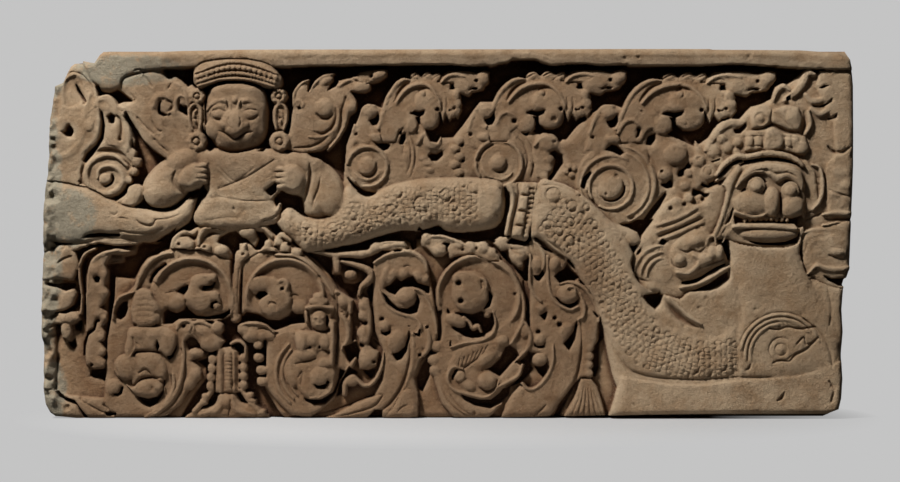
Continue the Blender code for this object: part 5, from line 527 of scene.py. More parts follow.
def right_leaf(r):
    """Leaf to the right of the head, its long tip under the lip."""
    r.gap([(372, 520), (404, 524), (520, 532), (540, 516), (520, 486), (500, 478), (486, 474), (474, 440),
           (462, 446), (456, 426), (440, 400), (424, 388), (406, 392), (396, 400), (372, 402), (366, 440),
           (370, 490)], 0, 4)
    r.patch([(366, 404), (378, 470), (380, 490), (390, 505), (403, 511), (402, 494), (414, 509), (426, 517),
             (440, 521), (440, 508), (452, 512), (471, 515), (478, 522), (498, 526), (521, 527), (521, 516),
             (510, 508), (496, 504), (492, 494), (480, 490), (466, 492), (474, 480), (474, 466), (464, 454),
             (458, 436), (442, 414), (420, 402), (392, 398)], 37, 9, 4, mode="set", smooth=False)
    r.stroke([(378, 472), (380, 490), (390, 504), (402, 510)], [4, 6, 6, 4], 41, 5)
    r.cap(392, 492, (9, 14), 40, 5, tilt=-20)
    r.stroke([(404, 492), (412, 506), (426, 516), (439, 519)], [4, 6, 7, 5], 41, 5)
    r.cap(428, 509, (12, 7), 42, 6, tilt=25)
    r.gap([(399, 492), (402, 490), (405, 504), (402, 508)], 4, 2)
    r.gap([(427, 488), (432, 494), (443, 500), (448, 508), (441, 511), (434, 504)], 2, 2)
    r.stroke([(381, 468), (380, 476), (388, 480), (394, 474), (390, 467)], [3, 5, 5, 5, 3], 41, 4)
    r.gap([(383, 468), (388, 472), (392, 467), (387, 463)], 10, 2)
    r.cap(426, 468, (14, 15), 45, 10)
    r.groove([(413, 459), (420, 452), (430, 451), (438, 457)], [3, 6, 6, 3], 18)
    r.stroke([(402, 424), (420, 424), (440, 436), (447, 454), (444, 474), (436, 484)], [3, 5, 6, 6, 5, 3],
             41, 4)
    r.groove([(410, 432), (424, 428), (437, 437), (443, 452), (443, 468)], [3, 7, 7, 5, 3], 20)
    r.groove([(380, 407), (404, 409), (420, 416), (430, 424)], [3, 5, 5, 3], 12)
    r.groove([(424, 406), (440, 420), (450, 440), (452, 464), (458, 484)], [3, 4, 5, 5, 5], 16)
    r.stroke([(430, 404), (446, 422), (457, 444), (460, 464), (464, 476), (471, 476)], [3, 5, 6, 7, 10, 7],
             41, 5)
    r.cap(467, 470, (8, 11), 43, 7)
    r.stroke([(446, 500), (458, 508), (472, 512), (482, 508)], [5, 7, 7, 5], 41, 5)
    r.groove([(452, 515), (464, 513), (474, 508)], [3, 5, 3], 12)
    r.cap(482, 499, (14, 9), 42, 6)
    r.cap(508, 518, (13, 8), 43, 6, tilt=20)
    r.gap([(484, 507), (492, 505), (500, 508), (498, 502), (488, 503)], 12, 2)
    r.drill(496, 516, 3, 12)



def left_hollows(r):
    """Deep hollows between the leaves at the left, and the rims beside them."""
    r.gap([(87, 466), (92, 462), (96, 440), (93, 420), (86, 408), (78, 398), (66, 384), (60, 387),
           (66, 400), (80, 413), (87, 426), (89, 445)], 4, 2)
    r.gap([(126, 464), (136, 449), (144, 434), (153, 419), (168, 404), (189, 390), (185, 381), (162, 388),
           (148, 404), (138, 422), (132, 438), (123, 454)], 0, 2)
    r.stroke([(124, 474), (133, 456), (146, 436), (157, 420), (172, 406), (190, 394)], [4, 6, 7, 6, 5, 3],
             45, 5)
    r.stroke([(64, 518), (78, 500), (84, 476), (86, 452), (84, 430), (74, 414), (62, 402)],
             [4, 6, 6, 6, 6, 5, 3], 44, 5)
    r.gap([(49, 504), (53, 503), (60, 491), (68, 478), (65, 474), (58, 482), (51, 494)], 16, 2)
    r.stroke([(80, 470), (88, 482), (100, 484), (110, 474), (113, 460)], [4, 7, 8, 7, 5], 45, 6)
    r.gap([(97, 456), (104, 460), (111, 456), (109, 444), (102, 443)], 2, 2)
    for points in ([(114, 456), (119, 446), (119, 430), (116, 420)],
                   [(125, 458), (133, 444), (137, 424), (134, 408)]):
        r.groove(points, [3, 4, 5, 4], 14)
    r.cap(128, 408, (7, 8), 42, 6)
    r.stroke([(168, 456), (165, 474), (176, 488), (192, 487), (200, 472)], [4, 6, 7, 6, 3], 47, 5)
    r.gap([(173, 468), (176, 478), (184, 481), (180, 474), (180, 462), (190, 458), (197, 464), (195, 456),
           (182, 453), (174, 458)], 22, 2)
    r.cap(186, 468, 8, 46, 6)


def lip(r):
    r.patch([(176, 575), (178, 527), (230, 529), (350, 528), (400, 530), (470, 531), (560, 533), (620, 532),
             (655, 529), (675, 529), (690, 534), (702, 536), (710, 541), (722, 540), (735, 541), (745, 540),
             (755, 535), (768, 531), (790, 533), (815, 534), (840, 531), (900, 531), (960, 531),
             (1000, 531), (1040, 533), (1080, 531), (1120, 528), (1160, 526), (1180, 525), (1240, 525),
             (1240, 575)], 50, 3, 2.5, smooth=False)


def foliage_ground(r):
    """The lit ground behind the leaves, and the mass that they grow from."""
    r.patch([(452, 330), (458, 412), (468, 440), (486, 470), (507, 470), (560, 450), (600, 424), (620, 424),
             (640, 450), (660, 478), (680, 478), (745, 430), (790, 420), (806, 440), (830, 462), (860, 474),
             (872, 470), (940, 430), (985, 410), (1015, 430), (1050, 452), (1070, 440), (1060, 380),
             (1010, 300), (900, 300), (840, 320), (800, 345), (740, 352), (640, 360), (540, 352),
             (480, 345)], 32, 6, 10, smooth=False)


def leaf_a(r):
    curled_leaf(r, 533, 477, 0.69)


def between_a_and_volutes(r):
    """Petals and a stem between the first two curls."""
    r.patch([(470, 420), (500, 440), (530, 440), (552, 448), (572, 436), (600, 428), (606, 400), (640, 430),
             (650, 366), (500, 340), (460, 380)], 34, 5, 6)
    r.gap([(533, 443), (540, 447), (545, 438), (542, 428), (536, 427)], 4, 3)
    r.stroke([(522, 434), (521, 444), (528, 451), (540, 450)], [5, 7, 7, 4], 41, 5)
    r.groove([(541, 430), (545, 416), (543, 396)], [3, 3, 2], 8)
    r.gap([(494, 420), (505, 415), (514, 418), (526, 412), (522, 405), (514, 402), (505, 410)], 2, 2)
    r.cap(506, 422, (13, 7), 42, 6, tilt=-15)
    for points in ([(552, 432), (562, 408), (562, 384), (556, 364)],
                   [(545, 436), (555, 410), (555, 386), (549, 366)]):
        r.groove(points, [2, 4, 4, 2], 8)
    r.stroke([(566, 414), (574, 426), (586, 430), (597, 424)], [5, 8, 8, 5], 41, 6)
    r.cap(588, 418, (14, 14), 44, 10)
    r.gap([(580, 396), (586, 401), (594, 400), (604, 406), (606, 396), (596, 386), (586, 386)], 2, 3)
    for x, z in ((574, 392), (580, 384), (584, 374)):
        r.cap(x, z, (7, 5), 38, 5)
    for x, z in ((628, 418), (622, 406), (629, 394), (622, 382), (628, 370)):
        r.cap(x, z, (8, 7), 40, 6)
        r.drill(x + 5, z - 6, 2.8, 10)


def snail(r, x, z, radius, ball, turn):
    """Round curl: a thin rim, a shallow hollow and a big ball with a deep crescent beside it."""
    r.cap(x, z, radius + 3, 36, 6, mode="set", section="flat")
    r.stroke(arc(x, z, radius, turn, turn - 330, 20), [4, 5, 6, 6, 6, 6, 5, 4], 42, 5)
    r.groove(arc(x, z, radius - 6, turn - 20, turn - 150, 12), [2, 4, 4, 2], 7)
    r.stroke(arc(x, z, radius - 10, turn + 110, turn - 20, 12), [2, 4, 5, 4], 40, 4)
    r.cap(x, z, ball * 1.5, 39, 8)
    r.gap([*arc(x, z, ball * 1.16, -120, 10, 10), *arc(x - 0.14 * ball, z + 0.14 * ball, ball * 0.9, 10,
                                                       -120, 10)], 16, 3)
    r.cap(x, z, ball, 45, ball * 0.6)
    r.groove(arc(x, z, ball * 0.96, -140, 20, 9), [2, 6, 6, 3], 18)


def volutes(r):
    """Three snail curls that grow up from the serpent's back."""
    r.gap([(455, 368), (469, 346), (492, 333), (513, 341), (525, 358), (522, 378), (518, 362), (506, 350),
           (490, 346), (472, 354)], 0, 2)
    snail(r, 490, 379, 30, 15, 230)
    r.gap([(456, 380), (462, 384), (470, 386), (464, 378)], 10, 2)
    r.gap([(650, 412), (662, 419), (674, 417), (690, 420), (682, 412), (664, 410)], 4, 2)
    r.cap(668, 424, (13, 7), 42, 6)
    snail(r, 688, 384, 35, 13, 215)
    r.groove([(648, 376), (652, 386), (660, 392)], 4, 12)
    r.groove(arc(688, 384, 44, 60, -40, 10), [2, 4, 5, 3], 10)
    # the great curl
    r.patch(arc(866, 354, 64, 0, 340, 20), 36, 7, 7, smooth=False)
    for radius, crest in ((59, 41), (50, 40)):
        r.stroke(arc(864, 352, radius, 70, -70, 14), [3, 6, 7, 6, 3], crest, 5)
    r.stroke(arc(858, 350, 46, 195, 60, 12), [3, 5, 6, 4], 41, 5)
    r.gap([(811, 348), (815, 364), (826, 373), (831, 368), (822, 358), (818, 344)], 2, 2)
    snail(r, 857, 348, 33, 21, 210)
    r.drill(850, 338, 2.4, 5)
    r.gap([(846, 404), (856, 416), (868, 412), (880, 400), (872, 394), (860, 400)], 2, 3)
    r.cap(860, 420, (14, 7), 41, 6)
    for x, z in ((790, 372), (798, 366), (794, 380), (802, 376)):
        r.cap(x, z, 4.5, 38, 4)
    r.drill(796, 373, 2.6, 9)


def knobs(r):
    """Hooked shoots that stand between the long leaves."""
    for x, z, size in ((475, 436, 1.0), (648, 436, 1.05), (832, 432, 1.1)):
        def at(*points):
            return [(x + u * size, z + v * size) for u, v in points]
        r.patch(at((-14, -26), (-6, 6), (4, 26), (14, 36), (24, 38), (32, 34), (34, 26), (28, 14), (24, 6),
                   (34, -10), (10, -30)), 36, 7, 5, smooth=False)
        r.stroke(at((-6, -2), (2, 20), (14, 34), (26, 34)), [5, 7, 7, 5], 40, 5)
        r.cap(x + 20 * size, z + 26 * size, (11 * size, 9 * size), 43, 8)
        r.gap(at((16, 14), (26, 18), (32, 26), (34, 14), (30, 6), (22, 4)), 2, 2)
        r.drill(x - 2 * size, z - 8 * size, 3, 9)


def leaf_b(r):
    curled_leaf(r, 702, 478, 0.88)
    # curl and fan between it and the serpent
    r.patch([(676, 425), (684, 448), (696, 464), (712, 464), (724, 450), (722, 430), (740, 428), (752, 420),
             (744, 400), (736, 360), (700, 360)], 34, 5, 6)
    r.stroke([(684, 440), (690, 456), (702, 461), (714, 455)], [5, 7, 7, 4], 40, 5)
    r.drill(712, 448, 4, 14)
    r.gap([(720, 434), (726, 426), (732, 424), (736, 434), (728, 430)], 4, 2)
    for points in ([(716, 424), (728, 408), (732, 384), (724, 362)],
                   [(728, 424), (739, 406), (742, 384), (737, 364)]):
        r.groove(points, [2, 4, 4, 3], 9)
    r.patch([(738, 404), (742, 424), (756, 431), (772, 428), (781, 414), (778, 402), (766, 398), (768, 384),
             (764, 362), (744, 362)], 36, 7, 5, smooth=False)
    r.cap(762, 416, (17, 14), 43, 9)
    r.stroke([(742, 410), (750, 420), (762, 424), (772, 420)], [4, 5, 5, 3], 44, 4)
    r.gap([(764, 402), (774, 406), (786, 398), (788, 384), (776, 368), (764, 352), (756, 356), (768, 372),
           (772, 390)], 2, 3)
    for x, z in ((764, 390), (762, 376), (757, 364)):
        r.cap(x, z, (7, 6), 39, 5)


def leaf_c(r):
    curled_leaf(r, 903, 476, 1.0)
    # leaves between its stem, the great curl and the beads at the serpent's crown
    r.stroke([(868, 430), (876, 444), (890, 450), (900, 442)], [6, 9, 10, 7], 41, 6)
    r.gap([(896, 440), (904, 436), (900, 424), (893, 420), (897, 430)], 4, 2)
    r.patch([(868, 430), (884, 424), (900, 412), (915, 408), (940, 420), (960, 414), (972, 400), (966, 384),
             (950, 382), (950, 366), (936, 358), (926, 366), (920, 390), (890, 400)], 35, 6, 6,
            smooth=False)
    r.cap(954, 398, (19, 17), 44, 11)
    r.gap([(958, 374), (968, 380), (976, 392), (982, 388), (978, 372), (966, 362), (956, 362)], 2, 4)
    r.cap(938, 368, (11, 10), 41, 7)
    r.gap([(930, 354), (940, 356), (950, 364), (953, 350), (944, 344), (934, 348)], 4, 3)
    r.drill(934, 372, 3, 12)
    r.groove([(912, 404), (916, 392), (914, 380)], [3, 4, 3], 10)
    for x, z in ((992, 400), (984, 386), (976, 370), (968, 350)):
        r.cap(x, z, (9, 7), 37, 5)


def curled_leaf(r, x, z, wide):
    """A long curling leaf from its slot at (x, z): two rims, a hollow, a rolled middle, lobes and a tip."""
    def at(*points):
        return [(x + u * wide, z + v) for u, v in points]

    r.gap(at((60, -40), (74, -62), (92, -64), (112, -40), (136, -30), (148, -6), (164, 3), (186, 6),
             (206, 20), (212, 40), (206, 56), (100, 52), (20, 40), (-4, 20), (6, 6), (50, -22)), 0, 4)
    # the whole leaf with the lobes on its back
    r.patch(at((-40, -30), (-24, -14), (-16, 10), (-2, 24), (14, 34), (30, 34), (36, 41), (48, 43),
               (60, 38), (70, 44), (82, 43), (90, 38), (98, 42), (112, 40), (124, 30), (120, 20), (134, 20),
               (144, 8), (140, -4), (146, -12), (136, -26), (128, -20), (118, -30), (110, -20), (104, -32),
               (96, -14), (92, -32), (80, -42), (64, -42), (54, -34), (52, -22), (44, -24), (48, -42),
               (36, -50), (22, -48), (16, -40), (8, -46), (0, -62), (-30, -62)), 37, 9, 4, mode="set",
            smooth=False)
    r.patch(at((90, 30), (100, 40), (112, 47), (134, 48), (162, 47), (176, 44), (196, 49), (206, 46),
               (205, 34), (192, 18), (168, 14), (160, 8), (140, 12), (128, 26)), 39, 9, 4, mode="set",
            smooth=False)
    r.patch(at((6, 2), (20, 18), (38, 26), (60, 26), (78, 20), (90, 6), (84, -4), (60, -14), (24, -16),
               (4, -10)), 34, -3, 16, mode="set")
    r.stroke(at((-38, -40), (-26, -12), (-15, 10), (0, 25), (16, 33), (30, 33)), [5, 7, 8, 9, 8, 4], 41, 5)
    r.groove(at((-2, 1), (6, 13), (17, 23), (30, 28)), [3, 6, 6, 3], 20)
    r.stroke(at((1, -2), (13, 12), (32, 23), (56, 27), (74, 23), (90, 9), (98, -8)), [4, 6, 7, 7, 7, 6, 3],
             42, 5)
    for u, v, tilt in ((42, 39, 10), (68, 40, 20), (90, 38, 35)):
        r.cap(x + u * wide, z + v, (11 * wide, 6), 40, 5, tilt=tilt)
        r.groove(at((u - 12, v - 6), (u - 2, v), (u + 9, v + 4)), [2, 3, 2], 6)
    # the rolled middle
    r.cap(x + 66 * wide, z + 1, (25 * wide, 18), 41, 5)
    r.cap(x + 76 * wide, z - 23, (21 * wide, 19), 43, 8)
    r.groove(arc(x + 58 * wide, z + 12, 6, 200, -60, 9), [2, 3, 3, 2], 5)
    r.cap(x + 58 * wide, z + 12, (5 * wide, 4), 43, 3)
    r.gap(at((28, -18), (40, -13), (50, -14), (66, -12), (62, -20), (52, -24), (40, -21)), 4, 2)
    r.drill(x + 91 * wide, z - 12, 3.2, 16)
    for u in (97, 107):
        r.groove(at((u + 4, 6), (u + 5, -10), (u - 2, -28)), [2, 4, 3], 12)
    r.cap(x + 34 * wide, z - 34, (14 * wide, 14), 42, 7)
    r.gap(at((6, -64), (10, -50), (22, -45), (23, -56), (16, -66)), 2, 2)
    # lobes of its right side
    for u, v, size in ((124, -14, 11), (135, -4, 10), (132, 10, 9)):
        r.cap(x + u * wide, z + v, (size * wide, size), 41, 7)
    r.gap(at((112, -8), (120, -12), (126, -8), (124, -14), (116, -16)), 10, 2)
    r.drill(x + 128 * wide, z - 10, 2.8, 10)
    # the tip
    r.groove(at((96, 30), (103, 40), (114, 45), (128, 46)), [3, 6, 6, 3], 20)
    r.stroke(at((100, 29), (112, 38), (130, 41), (150, 38)), [4, 6, 7, 5], 43, 5)
    r.cap(x + 150 * wide, z + 26, (24 * wide, 13), 42, 7)
    r.cap(x + 190 * wide, z + 35, (15 * wide, 12), 43, 7, tilt=30)
    r.gap(at((158, 16), (166, 18), (176, 17), (184, 21), (172, 23), (160, 20)), 14, 2)
    r.drill(x + 176 * wide, z + 32, 3, 12)


def serpent_body(r):
    # left: the broken stump and the strands that spring from it
    r.patch([(-8, 255), (-8, 350), (60, 350), (100, 332), (130, 320), (190, 313), (218, 330), (238, 350),
             (232, 325), (224, 300), (206, 284), (186, 276), (150, 268), (100, 270), (62, 262), (25, 258)],
            50, 20, 26, mode="set")
    r.groove([(104, 309), (110, 306), (115, 310)], 3, 6)
    r.groove([(118, 302), (130, 300)], 3, 6)
    r.groove([(142, 299), (148, 294), (160, 290), (168, 292), (172, 299)], [3, 5, 5, 5, 3], 8)
    r.groove([(172, 299), (192, 301), (210, 308)], 3, 5)
    r.stroke([(70, 280), (82, 292), (110, 291), (140, 286), (178, 284), (196, 291), (210, 302)],
             [8, 14, 14, 12, 10, 8, 4], 46, 8)
    r.groove([(118, 282), (140, 279), (165, 279), (182, 285)], 3, 8)
    r.gap([(58, 270), (66, 278), (84, 281), (118, 279), (119, 273), (84, 272)], 12, 3)
    r.gap([(8, 272), (18, 267), (30, 266), (50, 266), (66, 271), (60, 266), (34, 258), (20, 259)], 12, 3)
    r.stroke([(24, 256), (60, 264), (90, 269), (130, 268), (165, 270), (184, 280)], [10, 10, 9, 9, 9, 7],
             38, 7)
    r.gap([(140, 262), (150, 268), (170, 266), (185, 278), (196, 286), (205, 290), (196, 268), (192, 252),
           (184, 252), (175, 244), (160, 240), (150, 226), (140, 205), (110, 208), (98, 216), (92, 232),
           (100, 236), (118, 238), (119, 246), (136, 250)], 0, 5)
    # middle: thick tube with scales
    r.patch([(352, 300), (372, 318), (392, 306), (410, 302), (430, 304), (447, 325), (452, 340), (462, 350),
             (490, 334), (520, 350), (560, 360), (600, 363), (650, 363), (690, 358), (698, 335), (697, 308),
             (688, 291), (672, 284), (640, 280), (612, 281), (596, 290), (575, 282), (540, 282), (500, 271),
             (470, 262), (440, 256), (410, 250), (394, 252), (376, 270), (360, 284)], 54, 24, 26,
            mode="set")
    scaly(r, [(378, 286), (430, 282), (490, 308), (560, 322), (660, 322)], 24, 0.15)
    for x, z, size in ((500, 323, 9), (526, 313, 10), (572, 322, 14), (608, 336, 10), (620, 320, 8),
                       (650, 347, 10), (690, 312, 9), (546, 295, 8), (508, 289, 7), (478, 286, 6),
                       (398, 292, 8), (404, 282, 6), (422, 281, 7), (440, 288, 8), (634, 353, 6),
                       (690, 339, 8), (536, 340, 9), (470, 305, 7)):
        round_scale(r, x, z, size)
    r.cap(612, 298, 9, 52, 7)
    r.gap([(604, 292), (612, 288), (620, 296), (618, 290), (610, 285)], 30, 2)
    r.cap(671, 292, 5, 48, 4)
    r.cap(572, 298, (14, 8), 49, 6)
    r.gap([(562, 282), (568, 292), (574, 286), (590, 290), (599, 294), (600, 284), (580, 278)], 8, 3)
    r.patch([(668, 350), (690, 345), (694, 320), (684, 308), (672, 316)], 55, 5, 8)
    r.gap([(540, 282), (566, 280), (598, 290), (613, 281), (640, 279), (672, 283), (690, 291), (694, 276),
           (682, 262), (672, 266), (650, 260), (640, 266), (622, 271), (600, 275), (580, 279), (568, 270),
           (566, 254), (556, 250), (552, 262), (536, 270), (512, 268), (494, 262)], 0, 4)
    r.gap([(436, 255), (448, 250), (486, 252), (496, 256), (490, 270), (470, 264), (448, 260)], 6, 3)


def collar(r):
    """Jewelled collar round the serpent's body, two columns of blocks between plain edges."""
    r.patch([(700, 352), (748, 354), (746, 330), (740, 300), (733, 272), (728, 267), (706, 272), (702, 300),
             (708, 330)], 44, 5, 6, mode="set")
    r.stroke([(704, 352), (710, 330), (704, 300), (700, 278)], 8, 52, 7)
    r.stroke([(744, 352), (744, 330), (737, 300), (730, 274)], 5, 50, 4)
    for z0, z1, x, w in ((274, 289, 716, 15), (292, 311, 720, 14), (314, 335, 724, 14),
                         (338, 354, 727, 13)):
        r.patch([(x - w / 2, z0 + 1), (x - w / 2 + 3, z1), (x + w / 2 + 2, z1), (x + w / 2, z0 - 2)], 52, 5,
                3, smooth=False)
    for k in range(11):
        z = 275 + 7.4 * k
        r.cap(730 + 0.12 * (z - 275), z, (4.5, 3.2), 50, 4)
    r.groove([(717, 352), (718, 336), (713, 312), (708, 294), (706, 274)], 4, 9)
    r.groove([(737, 335), (734, 312), (728, 290), (724, 274)], 3, 8)
    r.gap([(698, 262), (706, 274), (728, 268), (734, 272), (737, 262), (728, 258)], 12, 3)


def serpent_turn(r):
    """The body bends down behind the great curl and runs right along the ledge, below the raised breast."""
    r.patch([(748, 354), (775, 356), (800, 346), (822, 330), (850, 303), (870, 292), (888, 284), (880, 262),
             (886, 245), (893, 222), (930, 215), (975, 215), (1010, 225), (1040, 240), (1100, 240),
             (1160, 215), (1240, 205), (1240, 60), (1185, 50), (1150, 40), (1100, 36), (1050, 30),
             (960, 26), (920, 30), (872, 40), (854, 90), (845, 140), (832, 180), (812, 208), (797, 236),
             (774, 252), (748, 272), (736, 278)], 49, 14, 22, mode="set")
    r.patch([(748, 354), (775, 356), (800, 346), (822, 330), (850, 303), (872, 280), (890, 252), (902, 222),
             (914, 194), (924, 168), (940, 146), (970, 130), (1012, 124), (1042, 140), (1050, 100),
             (1040, 66), (985, 57), (920, 61), (885, 72), (862, 100), (845, 140), (832, 180), (812, 208),
             (797, 236), (774, 252), (748, 272), (736, 278)], 55, 9, 26)
    r.patch([(1042, 296), (1140, 296), (1142, 250), (1152, 218), (1170, 186), (1190, 150), (1200, 110),
             (1180, 70), (1060, 60), (1042, 110), (1052, 160), (1046, 200), (1038, 240)], 54, 7, 24)
    scaly(r, [(770, 308), (815, 272), (850, 215), (880, 152), (915, 108), (985, 88), (1045, 90)], 30, 0.2)
    r.groove([(755, 351), (775, 351), (798, 343), (810, 335)], 3, 5)
    for x, z, size in ((770, 336, 13), (798, 320, 9), (760, 292, 8), (778, 282, 8), (796, 296, 7),
                       (795, 268, 9), (820, 318, 6), (832, 292, 7), (808, 340, 6)):
        round_scale(r, x, z, size)
    r.groove([(740, 273), (755, 262), (768, 250)], [3, 6, 4], 10)
    r.groove([(760, 268), (780, 254), (788, 246)], [2, 6, 3], 6)
    # dark hollow and slit below the small head's neck
    r.gap([(904, 184), (912, 186), (924, 184), (937, 186), (934, 172), (924, 162), (912, 172)], 2, 4)
    r.groove([(934, 180), (946, 168), (960, 153), (978, 141), (988, 137)], [6, 11, 13, 8, 3], 16)
    r.stroke([(944, 182), (960, 166), (976, 152), (992, 142)], [3, 6, 6, 3], 56, 4)
    r.groove([(858, 112), (872, 88), (888, 72), (920, 63), (985, 59), (1050, 62), (1100, 62)],
             [3, 6, 6, 5, 5, 4, 2], 3)
    for x, z in ((980, 66), (1000, 62), (1022, 70), (1058, 72)):
        r.groove([(x, z), (x + 6, z + 4), (x + 9, z + 11)], [2, 5, 2], 5)


def ledge(r):
    r.patch([(872, 66), (900, 60), (940, 54), (990, 53), (1050, 59), (1100, 63), (1135, 66), (1162, 73),
             (1186, 83), (1240, 100), (1240, -20), (846, -20), (862, 30)], 53, 8, 5, smooth=False)
    r.groove([(1107, 27), (1113, 31), (1117, 39)], [3, 6, 3], 12)
    r.cap(1165, 35, (26, 20), 50, -3, mode="raise")
    r.groove([(1185, 56), (1192, 44), (1188, 26)], 5, 3)


def small_head(r):
    """Serpent head that looks right, left of the great one."""
    r.patch([(905, 276), (922, 300), (940, 325), (960, 332), (985, 322), (1000, 330), (1012, 350),
             (1030, 345), (1020, 300), (1010, 275), (1022, 266), (1030, 250), (1035, 232), (1035, 208),
             (1012, 193), (975, 190), (962, 180), (940, 185), (920, 190), (898, 206), (888, 230),
             (892, 250)], 42, 6, 8, mode="set")
    r.gap([(894, 285), (904, 284), (920, 300), (934, 318), (944, 336), (941, 346), (934, 338), (918, 320),
           (904, 300)], 4, 4)
    r.gap([(938, 344), (952, 346), (953, 358), (946, 362), (938, 352)], 6, 3)
    r.cap(888, 272, (14, 12), 48, 8, tilt=-30)
    r.gap([(893, 246), (898, 254), (905, 262), (904, 250), (898, 244)], 14, 3)
    # crown of bands and petals
    for x, z, size in ((944, 300, 9), (958, 310, 11), (974, 316, 10), (990, 312, 9), (956, 326, 8),
                       (974, 332, 8), (1004, 320, 8), (1006, 338, 7)):
        r.cap(x, z, size, 44, 7)
    for x, z in ((947, 316), (968, 322), (985, 304), (996, 330)):
        r.drill(x, z, 3.4, 10)
    for lift in (0, 12, 22):
        r.stroke([(930 - 0.3 * lift, 268 + lift), (960, 280 + lift), (994 - 0.4 * lift, 295 + lift)],
                 [5, 7, 8], 47, 5)
    r.groove([(930, 274), (960, 286), (996, 302)], [5, 4, 3], 11)
    r.gap([(928, 262), (934, 272), (944, 268), (938, 260)], 14, 2)
    r.gap([(978, 335), (980, 348), (992, 345), (1000, 340), (1008, 340), (1004, 332), (998, 330),
           (992, 336), (984, 332)], 8, 3)
    r.gap([(1000, 354), (1006, 350), (1014, 350), (1015, 364), (1010, 358)], 8, 3)
    # fan of the ear
    for k, radius in enumerate((44, 34, 25)):
        r.stroke(arc(936, 216, radius, 182, 92, 9), [3, 6, 6, 3], 45 + k, 5)
    r.cap(936, 222, (18, 22), 46, 6)
    r.groove([(893, 213), (905, 208), (918, 205)], [3, 4, 2], 9)
    # face
    r.patch([(950, 262), (972, 280), (996, 290), (1008, 276), (1016, 262), (1028, 246), (1018, 234),
             (1000, 224), (976, 212), (954, 214), (944, 236)], 50, 9, 12)
    r.cap(986, 268, (20, 10), 54, 7, tilt=20)
    r.groove([(960, 254), (970, 250), (980, 254), (990, 250), (1000, 258)], [2, 4, 5, 4, 2], 9)
    r.cap(960, 240, (10, 8), 56, 8)
    r.groove([(948, 240), (952, 230), (962, 227), (972, 232)], [3, 5, 4, 2], 9)
    r.stroke([(956, 220), (972, 218), (984, 226), (990, 238), (980, 246)], [5, 8, 9, 7, 5], 55, 6)
    r.cap(998, 238, (13, 12), 57, 9)
    r.cap(1010, 250, (9, 10), 57, 8)
    r.groove([(990, 226), (1004, 232), (1016, 236), (1026, 240)], [2, 5, 5, 3], 12)
    r.stroke([(1000, 262), (1004, 272), (1012, 274), (1016, 262)], [5, 6, 5, 3], 53, 5)
    r.cap(1020, 250, (7, 12), 59, 8)
    r.gap([(962, 202), (964, 207), (978, 209), (992, 214), (1004, 222), (1016, 229), (1033, 236),
           (1030, 229), (1004, 215), (988, 204), (972, 200)], 8, 3)
    r.stroke([(962, 197), (984, 201), (1008, 212), (1034, 228)], [5, 6, 7, 5], 52, 5)
    r.groove([(968, 196), (990, 200), (1012, 210)], 2, 4)
    r.gap([(966, 190), (985, 195), (1004, 204), (1020, 215), (1035, 224), (1036, 209), (1022, 198),
           (1008, 192), (988, 190)], 12, 3)
    r.cap(914, 198, (15, 9), 45, 7)
    r.gap([(905, 186), (914, 188), (926, 190), (938, 186), (934, 174), (924, 164), (914, 172)], 6, 3)
    r.gap([(926, 186), (930, 194), (934, 188), (932, 180)], 12, 2)


